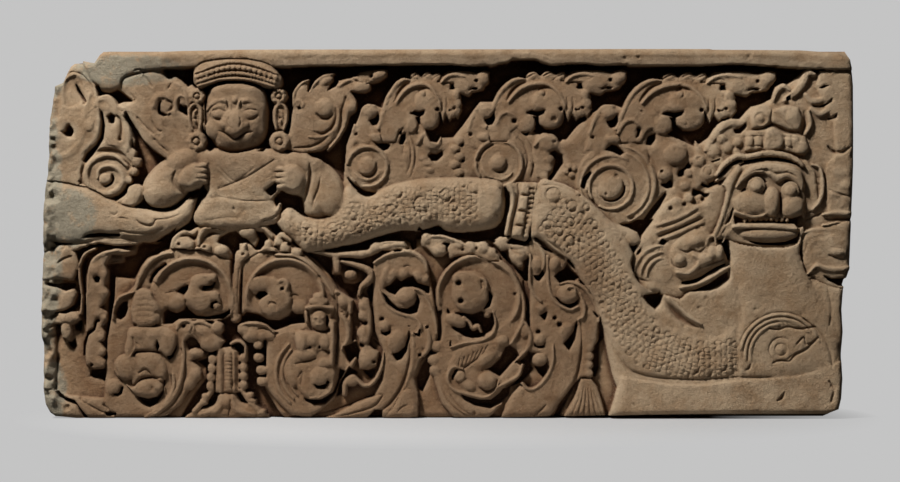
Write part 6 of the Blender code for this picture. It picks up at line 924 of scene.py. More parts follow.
def great_head(r):
    """The great serpent head from the front: heavy brow, bulging eyes, blunt muzzle, teeth and jaw."""
    r.patch([(1008, 266), (1010, 290), (1018, 322), (1026, 348), (1040, 370), (1058, 383), (1086, 389),
             (1116, 388), (1140, 380), (1149, 362), (1151, 330), (1150, 300), (1142, 284), (1136, 262),
             (1100, 256), (1050, 262), (1030, 270)], 50, 12, 8, mode="set")
    # the mane that falls at the left
    r.stroke([(1048, 374), (1034, 350), (1027, 328), (1020, 304), (1013, 280)], [14, 20, 20, 18, 12], 54, 8)
    r.gap([(1058, 350), (1048, 338), (1040, 322), (1034, 304), (1026, 290), (1018, 276), (1014, 270),
           (1012, 264), (1020, 270), (1030, 284), (1038, 298), (1044, 318), (1052, 334), (1062, 344)], 34,
          2)
    for dx, dz in ((0, 0), (7, -7)):
        r.stroke([(1018 + dx, 272 + dz), (1028 + dx, 288 + dz), (1040 + dx, 296 + dz)], [3, 5, 4], 51, 4)
    # brow
    r.patch([(1044, 346), (1052, 366), (1066, 379), (1090, 384), (1118, 382), (1138, 374), (1147, 356),
             (1144, 342), (1136, 352), (1120, 360), (1106, 354), (1092, 366), (1074, 368), (1058, 358)],
            58, 6, 7)
    r.groove([(1070, 372), (1090, 374), (1104, 368), (1120, 370), (1134, 364)], [2, 4, 5, 4, 2], 3)
    r.gap([(1058, 352), (1064, 362), (1076, 366), (1088, 362), (1094, 356), (1088, 350)], 44, 2)
    r.gap([(1112, 352), (1118, 358), (1130, 358), (1140, 350), (1136, 340), (1116, 342)], 44, 2)
    for x, z in ((1075, 350), (1126, 343)):
        r.stroke(arc(x, z, 12, 0, 360, 20), 3, 56, 3)
        r.cap(x, z, (11, 11), 61, 9)
    # muzzle
    r.cap(1070, 324, (32, 20), 59, 10)
    r.cap(1098, 326, (14, 23), 62, 11)
    r.cap(1129, 319, (18, 18), 61, 10)
    r.gap([(1110, 346), (1114, 340), (1115, 306), (1111, 304), (1109, 320)], 46, 1.5)
    r.stroke([(1042, 311), (1054, 307), (1070, 303), (1084, 305), (1094, 310), (1104, 305)],
             [4, 5, 5, 5, 4, 3], 57, 4)
    r.gap([(1040, 308), (1052, 303), (1070, 299), (1086, 300), (1110, 303), (1128, 302), (1146, 308),
           (1150, 300), (1148, 288), (1138, 284), (1132, 292), (1050, 293), (1042, 290)], 34, 2)
    r.pearls([(1058, 298), (1090, 300), (1122, 298)], 9, (3.6, 3.4), 52, 4)
    # lower lip and jaw
    r.stroke([(1040, 288), (1062, 289), (1100, 289), (1134, 285)], [6, 8, 9, 7], 58, 5)
    r.cap(1093, 277, (44, 9), 57, 8)
    r.gap([(1050, 274), (1064, 269), (1090, 266), (1120, 268), (1136, 275), (1139, 286), (1144, 276),
           (1138, 262), (1110, 258), (1076, 260), (1056, 267)], 30, 3)
    # the worn band right of the face
    r.patch([(1144, 318), (1144, 384), (1160, 388), (1174, 370), (1178, 344), (1172, 322), (1160, 311)], 43,
            5, 9)


def roundel(r):
    """Shallow wheel on the serpent's breast, its middle flaked away."""
    x, z = 1112, 96
    for radius, first, last in ((64, 20, 170), (57, 35, 185), (50, 95, 190)):
        r.groove(arc(x, z, radius, first, last, 22), 2.6, 1.6)
        r.stroke(arc(x, z, radius - 3.5, first, last, 22), 5, 56, 1.5)
    r.groove(arc(x, z + 8, 18, 60, 330, 14), 2.4, 2.2)
    r.groove(arc(x, z + 8, 9, 0, 360, 12), 2.2, 2)
    r.cap(x, z + 8, 5, 56, 2)
    r.groove([(1094, 136), (1108, 134), (1122, 138), (1140, 135), (1164, 138)], [3, 4, 3, 4, 3], 4)
    r.groove([(1100, 84), (1112, 88), (1124, 86), (1134, 96), (1150, 104), (1162, 116), (1168, 122)],
             [3, 4, 3, 5, 4, 5, 3], 4)
    r.groove([(1136, 112), (1146, 122), (1150, 112), (1158, 114)], 3, 4)
    r.patch([(1130, 128), (1152, 130), (1166, 120), (1156, 100), (1138, 94), (1124, 104)], 54, -1.5, 5,
            mode="cut")
    r.groove([(1146, 150), (1172, 128), (1186, 100), (1190, 78)], [3, 6, 6, 3], 2.5)
    r.groove([(1180, 208), (1188, 170), (1186, 140)], [3, 6, 3], 2)


def crown(r):
    """Tall crown of the great head, with leaves around it that reach the corner of the frieze."""
    r.patch([(985, 420), (1000, 400), (1024, 448), (1052, 452), (1070, 470), (1086, 474), (1100, 482),
             (1104, 500), (1124, 504), (1146, 521), (1168, 522), (1224, 521), (1226, 300), (1172, 300),
             (1164, 372), (1150, 390), (1060, 390), (1030, 380), (1012, 352), (985, 345), (978, 372)], 37,
            7, 6, mode="set", smooth=False)
    # the worn corner under the lip
    r.patch([(1172, 524), (1166, 500), (1176, 474), (1192, 450), (1196, 400), (1180, 380), (1184, 300),
             (1240, 300), (1240, 525)], 45, 5, 12, mode="set", smooth=False)
    # rope over the brow
    r.stroke([(1016, 366), (1028, 382), (1046, 394), (1062, 393), (1090, 398), (1116, 396), (1136, 388),
              (1145, 380)], [5, 9, 10, 9, 10, 10, 9, 6], 55, 6)
    for x, z in ((1036, 388), (1060, 392), (1082, 396), (1106, 397), (1128, 391)):
        r.groove([(x - 2, z + 5), (x + 2, z - 4)], 2.4, 3)
    r.stroke([(1016, 358), (1030, 366), (1040, 378), (1056, 386)], [4, 7, 7, 4], 48, 5)
    # blocks, with the tall lozenge at the middle
    r.patch([(1058, 402), (1060, 432), (1080, 434), (1100, 440), (1120, 430), (1150, 424), (1156, 404),
             (1148, 394), (1124, 401), (1100, 404), (1076, 402)], 45, 6, 5, mode="set", smooth=False)
    r.patch([(1088, 405), (1090, 432), (1100, 438), (1112, 430), (1118, 416), (1110, 404)], 52, 7, 6)
    for x in (1066, 1079, 1124, 1134):
        r.cap(x, 416, (6, 11), 50, 5)
    for z in (409, 424):
        r.groove([(1058, z), (1086, z + 1)], 2.6, 5)
        r.groove([(1118, z), (1136, z - 2)], 2.6, 5)
    r.cap(1144, 407, (11, 11), 52, 9)
    r.gap([(1134, 398), (1144, 392), (1156, 396), (1160, 406), (1154, 398), (1144, 395)], 24, 2)
    # the top
    r.patch([(1068, 436), (1066, 456), (1076, 471), (1090, 473), (1102, 466), (1124, 472), (1140, 468),
             (1146, 450), (1142, 432), (1122, 434), (1100, 444), (1082, 436)], 47, 8, 6, mode="set",
            smooth=False)
    r.stroke(arc(1082, 451, 11, 60, 400, 16), 4, 50, 4)
    r.cap(1081, 451, (6, 6), 51, 5)
    r.groove([(1090, 470), (1108, 456), (1124, 442), (1140, 430)], 2.4, 5)
    r.cap(1130, 454, (11, 14), 51, 7)
    r.groove([(1100, 466), (1098, 452), (1100, 442)], [3, 4, 3], 6)
    r.stroke([(1150, 428), (1158, 444), (1154, 462)], [6, 8, 5], 46, 6)
    r.groove([(1146, 428), (1150, 446), (1148, 462)], [4, 5, 3], 12)
    # leaves that rise to the corner
    for points, width in (([(1102, 478), (1108, 494), (1118, 500), (1126, 494)], 11),
                          ([(1118, 478), (1134, 490), (1146, 504), (1154, 520), (1164, 518)], 15),
                          ([(1150, 488), (1160, 478), (1176, 480), (1186, 492)], 13),
                          ([(1176, 500), (1184, 512), (1196, 524)], 14),
                          ([(1158, 466), (1172, 458), (1186, 466), (1194, 476)], 12),
                          ([(1200, 412), (1204, 428), (1210, 440)], 24)):
        swelling = np.sin(np.linspace(0.5, 2.6, len(points)))
        r.stroke(points, [float(width * share) for share in swelling], 45, 8)
    r.gap([(1122, 476), (1130, 480), (1128, 488), (1120, 484)], 16, 2)
    r.gap([(1168, 497), (1176, 496), (1190, 502), (1178, 503)], 18, 2)
    r.gap([(1156, 474), (1170, 471), (1184, 476), (1194, 488), (1190, 476), (1178, 468), (1162, 468)], 16,
          2)
    r.gap([(1178, 452), (1192, 454), (1200, 464), (1198, 452), (1186, 448)], 20, 2)
    r.groove([(1184, 410), (1192, 402), (1206, 401), (1216, 408)], [3, 7, 8, 4], 9)
    # buds at the left of the crown
    r.stroke([(1000, 404), (1012, 424), (1026, 440), (1044, 446), (1058, 440)], [8, 12, 14, 12, 8], 43, 8)
    r.gap([(1040, 436), (1050, 438), (1062, 448), (1064, 440), (1054, 428), (1044, 428)], 18, 2)
    for x, z, size in ((1048, 415, 8), (1012, 402, 11), (1032, 408, 10), (1024, 420, 8), (1046, 402, 6),
                       (1004, 370, 13), (990, 388, 10), (1020, 386, 8)):
        r.cap(x, z, size, 44, 8)
    r.gap([(1002, 392), (1010, 388), (1020, 392), (1024, 400), (1022, 388), (1010, 384)], 12, 2)
    r.gap([(994, 356), (1004, 352), (1016, 356), (1020, 366), (1018, 352), (1004, 346), (992, 350)], 10, 2)
    r.groove(arc(1003, 372, 6, 180, -60, 8), 2.6, 5)
    for x, z in ((1190, 372), (1208, 366), (1196, 350), (1208, 336), (1188, 328)):
        r.cap(x, z, (10, 7), 42, 6, tilt=20)


def right_edge(r):
    """Half a head and the hood folds at the broken right edge."""
    r.patch([(1136, 284), (1142, 400), (1236, 400), (1236, 278), (1150, 274)], 38, 2, 6, smooth=False)
    # a looped band beside the face, with worn beads
    r.stroke([(1160, 382), (1172, 376), (1176, 352), (1172, 328), (1160, 314)], [3, 5, 7, 7, 4], 49, 5)
    for x, z in ((1173, 362), (1175, 352)):
        r.groove([(x - 5, z + 1), (x + 5, z)], 2.4, 4)
    for x, z in ((1198, 372), (1210, 350), (1194, 338), (1208, 370), (1204, 324)):
        r.cap(x, z, (10, 8), 48, 4)
    r.groove([(1186, 344), (1200, 338), (1216, 334)], [3, 4, 3], 6)
    for z, crest in ((309, 49), (292, 49)):
        r.stroke([(1176, z - 2), (1196, z), (1222, z - 1)], [4, 8, 8], crest, 5)
    r.groove([(1180, 300), (1200, 301), (1226, 300)], [3, 5, 5], 6)
    r.groove([(1150, 298), (1164, 304), (1178, 310)], [3, 4, 3], 5)
    # the half head: brow, cheek, snout and open mouth
    r.patch([(1143, 262), (1150, 280), (1180, 290), (1240, 291), (1240, 200), (1196, 196), (1160, 212),
             (1148, 226)], 46, 7, 8, mode="set")
    for k in range(3):
        r.stroke([(1142 + 4 * k, 276 - 9 * k), (1160 + 4 * k, 284 - 8 * k), (1182 + 3 * k, 284 - 7 * k)],
                 [3, 5, 4], 47, 4)
    r.cap(1192, 262, (26, 20), 50, 9)
    r.cap(1198, 250, (14, 8), 53, 7, tilt=-10)
    r.groove([(1184, 246), (1196, 243), (1208, 248)], [2, 4, 2], 6)
    r.stroke([(1154, 218), (1166, 230), (1178, 226), (1194, 224), (1216, 226)], [4, 8, 9, 9, 8], 52, 6)
    r.stroke([(1150, 208), (1164, 216), (1176, 214)], [3, 5, 3], 46, 4)
    r.gap([(1172, 218), (1190, 212), (1218, 213), (1218, 196), (1200, 198), (1184, 206)], 14, 3)
    r.groove([(1140, 236), (1146, 244), (1152, 262)], 2.4, 4)


def round_scale(r, x, z, size):
    """A low round scale with a crescent cut at its lower right."""
    r.cap(x, z, size * 0.9, 1.2, 5, mode="add")
    r.groove(arc(x, z, size, -25, -115, 7), [1.5, 3, 1.5], 3.5)


def under_leaves(r):
    """Leaves that hang below the middle of the body."""
    r.patch([(570, 268), (574, 278), (584, 280), (592, 277), (606, 276), (624, 270), (640, 263), (656, 266),
             (668, 264), (680, 254), (690, 246), (690, 236), (672, 236), (650, 246), (628, 244), (614, 240),
             (612, 250), (604, 244), (592, 244), (586, 250), (580, 256), (572, 260)], 36, 8, 4, mode="set",
            smooth=False)
    r.cap(579, 271, (8, 9), 42, 6)
    r.cap(598, 253, (12, 10), 43, 8)
    r.stroke([(588, 274), (602, 274), (622, 268), (640, 260)], [4, 6, 6, 4], 42, 5)
    r.gap([(601, 262), (606, 266), (616, 264), (612, 256), (613, 248), (608, 252), (608, 260)], 6, 2)
    for x, z, size in ((628, 262, 7), (645, 258, 9), (664, 258, 9), (678, 250, 7)):
        r.cap(x, z, size, 41, 6)
    r.drill(655, 256, 2.4, 8)
    r.drill(634, 254, 2.4, 8)
    r.patch([(680, 268), (690, 275), (702, 272), (730, 268), (738, 250), (730, 238), (716, 240), (704, 252),
             (698, 262)], 38, 7, 5, smooth=False)
    r.groove([(704, 262), (712, 250), (724, 246)], [3, 4, 3], 8)
    r.patch([(500, 262), (512, 266), (530, 268), (548, 264), (552, 256), (540, 250), (516, 252),
             (502, 254)], 37, 7, 4, smooth=False)
    r.cap(504, 259, (8, 7), 42, 6)
    r.gap([(528, 253), (536, 256), (546, 254), (540, 250), (530, 250)], 10, 2)



def scaly(r, path, half_width, height):
    """Staggered rows of low scales over a stretch of the body that follows the path."""
    along = 0.0
    row = 0
    for (x0, z0), (x1, z1) in zip(path, path[1:]):
        length = math.hypot(x1 - x0, z1 - z0)
        ux, uz = (x1 - x0) / length, (z1 - z0) / length
        while along < length:
            reach = -half_width + 5.5 * (row % 2)
            while reach < half_width:
                worn = 0.5 + 0.5 * math.sin(37.7 * along + 11.3 * reach + row)
                across = reach + 1.6 * worn
                r.cap(x0 + ux * along - uz * across, z0 + uz * along + ux * across,
                      (5.6 - worn, 4.4 + worn), height * (0.25 + worn), 3.5, mode="add",
                      tilt=math.degrees(math.atan2(uz, ux)))
                reach += 11
            row += 1
            along += 8.5
        along -= length


def scroll_ground(r):
    """The lit ground that the lower scrolls stand on."""
    r.patch([(-10, -10), (-10, 262), (100, 262), (190, 268), (340, 280), (420, 262), (560, 270), (680, 275),
             (760, 262), (800, 235), (840, 175), (862, 90), (880, -10)], 19, 8, 12, smooth=False)


def lower_left(r):
    """Leaf lobes along the broken end, a tall leaf beside them, a bud and a leaf at the foot."""
    r.patch([(12, 30), (12, 160), (62, 170), (62, 250), (140, 240), (110, 60), (118, 20)], 22, 6, 8,
            mode="set", smooth=False)
    r.gap([(104, 240), (111, 215), (109, 180), (105, 150), (105, 62), (94, 52), (86, 58), (76, 58),
           (68, 62), (70, 74), (92, 76), (96, 160), (98, 232)], 0, 3)
    r.patch([(-10, -10), (-10, 268), (8, 266), (16, 240), (18, 160), (20, 130), (19, 60), (14, 16)], 36, 8,
            5, smooth=False)
    for lobe in ([(-8, 207), (-8, 258), (20, 254), (38, 257), (51, 250), (55, 236), (52, 216), (46, 207),
                  (20, 210)],
                 [(-8, 160), (-8, 199), (16, 199), (34, 193), (48, 195), (52, 186), (46, 170), (34, 162),
                  (20, 159)],
                 [(14, 141), (15, 157), (34, 161), (55, 160), (58, 149), (46, 141)],
                 [(30, 121), (27, 138), (34, 146), (43, 141), (45, 128), (40, 117)]):
        r.patch(lobe, 41, 8, 5, mode="set", smooth=False)
    r.gap([(4, 206), (20, 203), (36, 206), (51, 204), (49, 196), (35, 190), (20, 196), (4, 200)], 4, 2)
    r.gap([(29, 126), (33, 116), (42, 116), (48, 122), (52, 108), (46, 102), (38, 108)], 2, 2)
    r.gap([(46, 141), (47, 132), (58, 129), (60, 146), (56, 149), (50, 143)], 2, 2)
    r.gap([(20, 158), (36, 162), (48, 174), (54, 190), (58, 206), (60, 190), (56, 172), (48, 162),
           (36, 157)], 6, 1.5)
    for z in (124, 138, 153):
        r.groove([(10, z), (18, z + 1), (25, z + 3)], [3, 6, 3], 9)
    r.groove([(24, 234), (33, 240), (44, 244)], 4, 7)
    r.cap(50, 151, (7, 6), 43, 5)
    r.cap(34, 134, (7, 9), 43, 6)
    # the row of buds above and the stem
    r.stroke([(8, 258), (34, 251), (54, 258), (80, 267), (110, 263), (142, 264)], [6, 7, 8, 8, 7, 5], 40, 6)
    for x, z in ((24, 254), (38, 253), (50, 257), (63, 262), (77, 266)):
        r.cap(x, z, (6, 5), 43, 5)
    r.stroke([(58, 158), (60, 180), (57, 205), (56, 228), (64, 247), (80, 256)], [5, 5, 5, 5, 5, 4], 39, 5)
    r.groove([(63, 150), (64, 180), (61, 205), (61, 226), (68, 242)], [4, 4, 4, 4, 3], 18)
    # tall leaf
    r.patch([(64, 90), (66, 130), (66, 180), (67, 215), (74, 238), (90, 250), (112, 257), (136, 252),
             (122, 247), (104, 246), (96, 232), (100, 214), (95, 200), (101, 186), (95, 174), (88, 167),
             (98, 159), (99, 147), (90, 138), (96, 127), (88, 116), (96, 103), (92, 92), (99, 82), (90, 74),
             (78, 73), (66, 80)], 38, 9, 4, mode="set", smooth=False)
    r.stroke([(68, 160), (69, 200), (75, 234), (92, 248), (114, 253)], [4, 5, 6, 6, 4], 42, 4)
    for x, z, size in ((91, 216, 8), (93, 188, 8), (84, 157, 7), (92, 150, 6), (88, 122, 7), (90, 100, 7),
                       (88, 83, 9)):
        r.cap(x, z, size, 42, 6)
    r.cap(79, 222, (8, 13), 43, 7)
    r.gap([(76, 212), (82, 216), (88, 212), (86, 203), (79, 204)], 8, 2)
    r.gap([(80, 150), (76, 136), (66, 130), (60, 112), (60, 92), (64, 92), (66, 110), (70, 124), (80, 132),
           (84, 148)], 10, 1.5)
    r.drill(74, 80, 2.8, 14)
    r.drill(84, 147, 3, 12)
    r.patch([(98, 222), (102, 234), (120, 236), (122, 244), (131, 246), (141, 236), (139, 224), (126, 218),
             (110, 219)], 38, 8, 5, mode="set", smooth=False)
    r.cap(112, 228, (11, 8), 42, 6)
    r.gap([(122, 243), (124, 234), (132, 226), (136, 228), (130, 236), (128, 244)], 12, 2)
    # bud and the sweeping leaf at the foot
    r.gap([(100, 38), (110, 30), (122, 30), (124, 48), (118, 60), (96, 60)], 2, 2)
    r.patch([(94, 50), (100, 61), (112, 62), (119, 52), (116, 40), (104, 38)], 40, 10, 5, mode="set",
            smooth=False)
    r.cap(106, 51, (11, 10), 44, 8)
    r.patch([(-10, 44), (14, 44), (40, 34), (100, 30), (135, 26), (150, 12), (175, 10), (192, 30),
             (196, 60), (190, 100), (206, 104), (214, 84), (212, 50), (198, 22), (172, -2), (120, -20),
             (-10, -20)], 36, 8, 5, mode="set", smooth=False)
    r.stroke([(160, -4), (188, 12), (204, 36), (210, 70), (206, 104)], [8, 12, 14, 12, 8], 44, 6)
    r.groove([(160, 3), (180, 12), (193, 30), (198, 48), (196, 64)], [3, 5, 6, 4, 2], 12)
    r.groove([(200, 24), (211, 46), (215, 74), (211, 98)], [3, 4, 4, 2], 8)
    r.groove([(58, 27), (75, 17), (94, 8), (110, 8)], [3, 3, 4, 5], 7)
    r.drill(58, 30, 2.5, 8)
    r.gap([(16, 42), (24, 44), (36, 33), (50, 28), (60, 14), (74, -2), (60, -2), (50, 18), (38, 22),
           (22, 28)], 6, 4)
    r.patch([(12, 26), (34, 24), (48, 16), (56, 2), (30, -4), (10, 6)], 28, 10, 8)


def scroll_one(r):
    """First scroll: a round rim about a lit hollow, with a leaf that curls up inside it."""
    r.patch([(92, 20), (97, 120), (104, 158), (112, 180), (126, 188), (138, 200), (148, 226), (168, 246),
             (195, 256), (240, 254), (285, 238), (290, 190), (284, 160), (262, 146), (226, 146), (214, 118),
             (222, 100), (244, 95), (226, 86), (238, 76), (240, 60), (222, 44), (208, 20), (180, 0),
             (110, 0)], 33, 9, 5, mode="set", smooth=False)
    r.stroke([(107, 150), (109, 168), (116, 181), (128, 187), (138, 190)], [4, 5, 6, 5, 3], 42, 6)
    r.gap([(107, 158), (112, 170), (120, 177), (129, 178), (130, 164), (126, 152), (118, 146), (110, 150)],
          6, 3)
    r.stroke([(140, 192), (148, 214), (160, 234), (178, 246), (196, 249)], [6, 9, 9, 8, 4], 43, 7)
    r.dish(226, 180, 60, 44, 31, 4, 8, 160, -35)
    r.gap([(160, 203), (163, 216), (171, 226), (186, 235), (189, 231), (176, 221), (168, 211), (165, 202)],
          4, 2)
    r.patch([(166, 205), (182, 190), (205, 192), (216, 182), (214, 168), (203, 160), (193, 161), (188, 166),
             (180, 160), (172, 150), (150, 160)], 34, 6, 7, mode="set")
    r.cap(203, 174, (13, 13), 40, 8)
    r.patch([(222, 200), (227, 211), (238, 218), (251, 218), (259, 213), (260, 207), (254, 207), (253, 201),
             (242, 201), (241, 192), (251, 192), (261, 191), (268, 183), (270, 170), (264, 163), (255, 166),
             (240, 158), (228, 162), (221, 172), (214, 181), (216, 190)], 44, 7, 7, smooth=False)
    r.cap(238, 206, (15, 11), 47, 7)
    r.cap(236, 178, (19, 15), 46, 8)
    r.cap(258, 183, (9, 9), 47, 6)
    r.cap(257, 212, (6, 6), 48, 5)
    r.gap([(241, 200), (253, 200), (258, 206), (262, 205), (258, 196), (250, 195), (243, 192), (240, 194)],
          8, 2)
    r.gap([(252, 168), (254, 175), (262, 178), (270, 172), (262, 166), (256, 164)], 6, 2)
    r.cap(262, 170, (6, 5), 42, 5)
    r.gap([(200, 190), (208, 198), (221, 202), (220, 193), (213, 184), (208, 187)], 2, 2)
    r.gap([(181, 140), (180, 160), (188, 167), (192, 163), (202, 160), (211, 164), (216, 173), (221, 165),
           (232, 156), (246, 154), (266, 158), (284, 165), (284, 156), (272, 148), (228, 148), (206, 148),
           (196, 140)], 0, 3)


def figure_one(r):
    """Worn small figure seated in the first scroll."""
    r.patch([(137, 178), (141, 190), (152, 196), (164, 191), (168, 180), (176, 170), (178, 158), (172, 141),
             (141, 139), (134, 160)], 46, 7, 9)
    for z in (152, 160, 168, 177, 185):
        r.groove([(139, z), (154, z + 2), (171, z)], 2.4, 1.4)
    r.groove([(177, 168), (175, 152), (171, 140)], [2, 4, 4], 9)
    r.drill(141, 140, 3, 6)
    r.patch([(130, 133), (140, 138), (170, 138), (190, 136), (201, 128), (203, 118), (200, 104), (190, 92),
             (183, 96), (176, 101), (150, 101), (138, 100), (128, 92), (124, 104), (128, 120)], 45, 8, 8)
    r.cap(147, 126, (11, 8), 48, 5)
    r.cap(166, 126, (10, 8), 48, 5)
    r.cap(190, 118, (10, 14), 47, 6)
    r.stroke([(137, 128), (141, 112), (131, 92)], [7, 6, 6], 46, 5)
    r.groove([(137, 122), (139, 108), (132, 95)], [3, 4, 4], 11)
    r.groove([(142, 114), (148, 110)], 3, 9)
    r.gap([(170, 108), (174, 121), (178, 108), (174, 99)], 12, 2)
    r.gap([(203, 120), (204, 106), (198, 91), (190, 86), (184, 94), (193, 96), (199, 106)], 4, 3)
    r.groove([(142, 100), (158, 98), (176, 98)], 3, 6)
    r.cap(127, 77, (19, 20), 47, 10)
    r.patch([(142, 98), (166, 100), (180, 92), (188, 74), (186, 60), (178, 54), (168, 62), (150, 60),
             (138, 50), (134, 66), (140, 84)], 43, 8, 9)
    r.cap(157, 82, (17, 15), 46, 8)
    r.groove([(146, 68), (156, 74), (164, 66)], [3, 5, 3], 5)
    r.patch([(126, 52), (136, 46), (148, 56), (168, 60), (178, 54), (186, 44), (176, 33), (160, 31),
             (146, 33), (136, 40)], 46, 8, 9)
    r.cap(174, 47, (8, 8), 49, 7)
    r.groove([(166, 56), (172, 60), (182, 60), (184, 50)], 2.5, 7)
    r.groove([(107, 86), (114, 70), (120, 54)], [2, 3, 3], 6)
    r.gap([(136, 40), (142, 27), (152, 18), (162, 14), (174, 21), (184, 36), (187, 58), (182, 60),
           (181, 44), (172, 34), (158, 31), (144, 34)], 0, 4)
    for middle in ([(212, 118), (213, 96), (211, 70), (204, 44), (190, 22), (166, 3)],
                   [(197, 66), (198, 48), (190, 30), (176, 13), (156, 1)]):
        r.stroke(middle, [4, 6, 7, 7, 6, 4][:len(middle)], 40, 5)
    for middle in ([(210, 104), (216, 80), (215, 58), (207, 37), (194, 19), (174, 4)],
                   [(194, 64), (196, 48), (189, 32), (175, 13), (160, 4)]):
        r.groove(middle, 3.4, 9)
    r.cap(108, 47, (14, 13), 40, 8)
    r.gap([(102, 37), (110, 33), (120, 35), (123, 48), (118, 48), (114, 38)], 6, 2)
    r.gap([(92, 10), (100, 10), (112, 9), (112, 3), (96, 2)], 12, 2)


def stalk(r):
    """Jewelled stalk between the first two scrolls, with a leaf head on either side."""
    r.gap([(204, 148), (222, 151), (262, 147), (284, 157), (300, 157), (330, 149), (356, 147), (378, 142),
           (340, 128), (338, 44), (356, 14), (372, -6), (200, -6), (214, 18), (228, 40), (244, 60),
           (244, 74), (228, 86), (250, 94), (240, 112), (214, 130)], 0, 4)
    r.patch([(218, -4), (232, 12), (258, 20), (266, 36), (290, 38), (300, 24), (322, 18), (336, -4)], 32, 8,
            7)
    r.cap(278, 26, (12, 11), 38, 7)
    for side in (-1, 1):
        r.stroke([(278 + 8 * side, 34), (278 + 14 * side, 14), (278 + 40 * side, 4)], [6, 12, 8], 37, 6)
        r.stroke([(278 + 22 * side, 42), (278 + 34 * side, 26), (278 + 50 * side, 10)], [8, 10, 8], 36, 6)
    for x, z in ((246, 32), (243, 24), (312, 34), (316, 24), (330, 8)):
        r.cap(x, z, (7, 6), 38, 6)
    r.groove([(284, 28), (281, 4)], 3, 8)
    r.groove([(262, 16), (250, 2)], 3, 7)
    r.groove([(302, 24), (318, 23)], 3, 9)
    r.patch([(260, 38), (262, 100), (270, 108), (288, 108), (296, 100), (297, 38)], 34, 5, 4, mode="set",
            smooth=False)
    r.stroke([(268, 102), (268, 40)], 7, 38, 4, smooth=False)
    r.stroke([(289, 100), (289, 40)], 4, 38, 3, smooth=False)
    r.pearls([(280, 99), (281, 43)], 11, (6, 3.4), 40, 5, smooth=False)
    r.groove([(294, 98), (294, 40)], 4, 14, smooth=False)
    r.groove([(274, 100), (274, 40)], 2.5, 7, smooth=False)
    for k in range(4):
        z = 88 - 13.5 * k
        r.cap(256 - k, z, (7, 8), 39, 7)
        r.cap(303, z + 2, (7, 8), 39, 7)
        r.drill(250 - k, z - 6, 2.4, 8)
    r.stroke([(284, 112), (296, 116), (306, 108), (306, 92)], [5, 6, 6, 6], 42, 5)
    r.patch([(202, 128), (200, 138), (206, 146), (216, 149), (228, 146), (242, 147), (256, 141), (266, 146),
             (273, 137), (270, 126), (276, 116), (268, 104), (254, 98), (240, 104), (232, 118), (224, 124),
             (212, 112)], 38, 6, 6, smooth=False)
    r.stroke([(203, 134), (208, 144), (218, 147), (227, 142), (229, 134)], [4, 5, 5, 4, 3], 44, 4)
    r.stroke([(222, 132), (226, 142), (240, 145), (254, 139)], [4, 5, 6, 4], 44, 4)
    r.cap(264, 136, (10, 10), 46, 8)
    r.cap(255, 114, (16, 14), 45, 9)
    r.cap(244, 130, (14, 8), 43, 6, tilt=-20)
    r.groove([(229, 128), (236, 118), (236, 106)], [3, 6, 4], 12)
    r.drill(213, 139, 3.4, 12)
    r.gap([(268, 125), (272, 118), (279, 116), (276, 128)], 4, 2)
    r.cap(232, 98, (12, 7), 38, 7, tilt=-10)
    r.cap(230, 66, (10, 10), 40, 7)
    r.cap(222, 52, (9, 12), 39, 6, tilt=-35)
    r.patch([(294, 134), (300, 144), (322, 144), (340, 140), (352, 127), (348, 118), (334, 118), (332, 106),
             (320, 104), (316, 116), (302, 118)], 38, 6, 6, smooth=False)
    r.stroke([(298, 140), (312, 143), (332, 141), (348, 130)], [4, 5, 5, 3], 44, 4)
    r.cap(302, 134, (9, 9), 44, 7)
    r.cap(314, 124, (12, 11), 44, 8)
    r.groove([(326, 134), (336, 136), (347, 129)], [4, 6, 3], 12)
    r.cap(331, 124, (7, 7), 42, 6)
    r.cap(325, 109, (8, 6), 42, 6)
    r.groove([(318, 116), (325, 117), (333, 114)], 3, 8)
    for x, z in ((326, 91), (330, 72), (331, 55)):
        r.cap(x, z, (9, 8), 39, 7)
        r.drill(x - 2, z - 10, 2.6, 9)
    r.cap(291, 151, (9, 9), 34, 8)
    r.stroke([(291, 160), (292, 190), (294, 218), (298, 246)], [10, 13, 12, 16], 36, 6)
    r.groove([(294, 170), (295, 200), (297, 226)], 3, 5)
    r.groove([(285, 162), (286, 200), (285, 236), (288, 262)], [5, 4, 5, 8], 26)


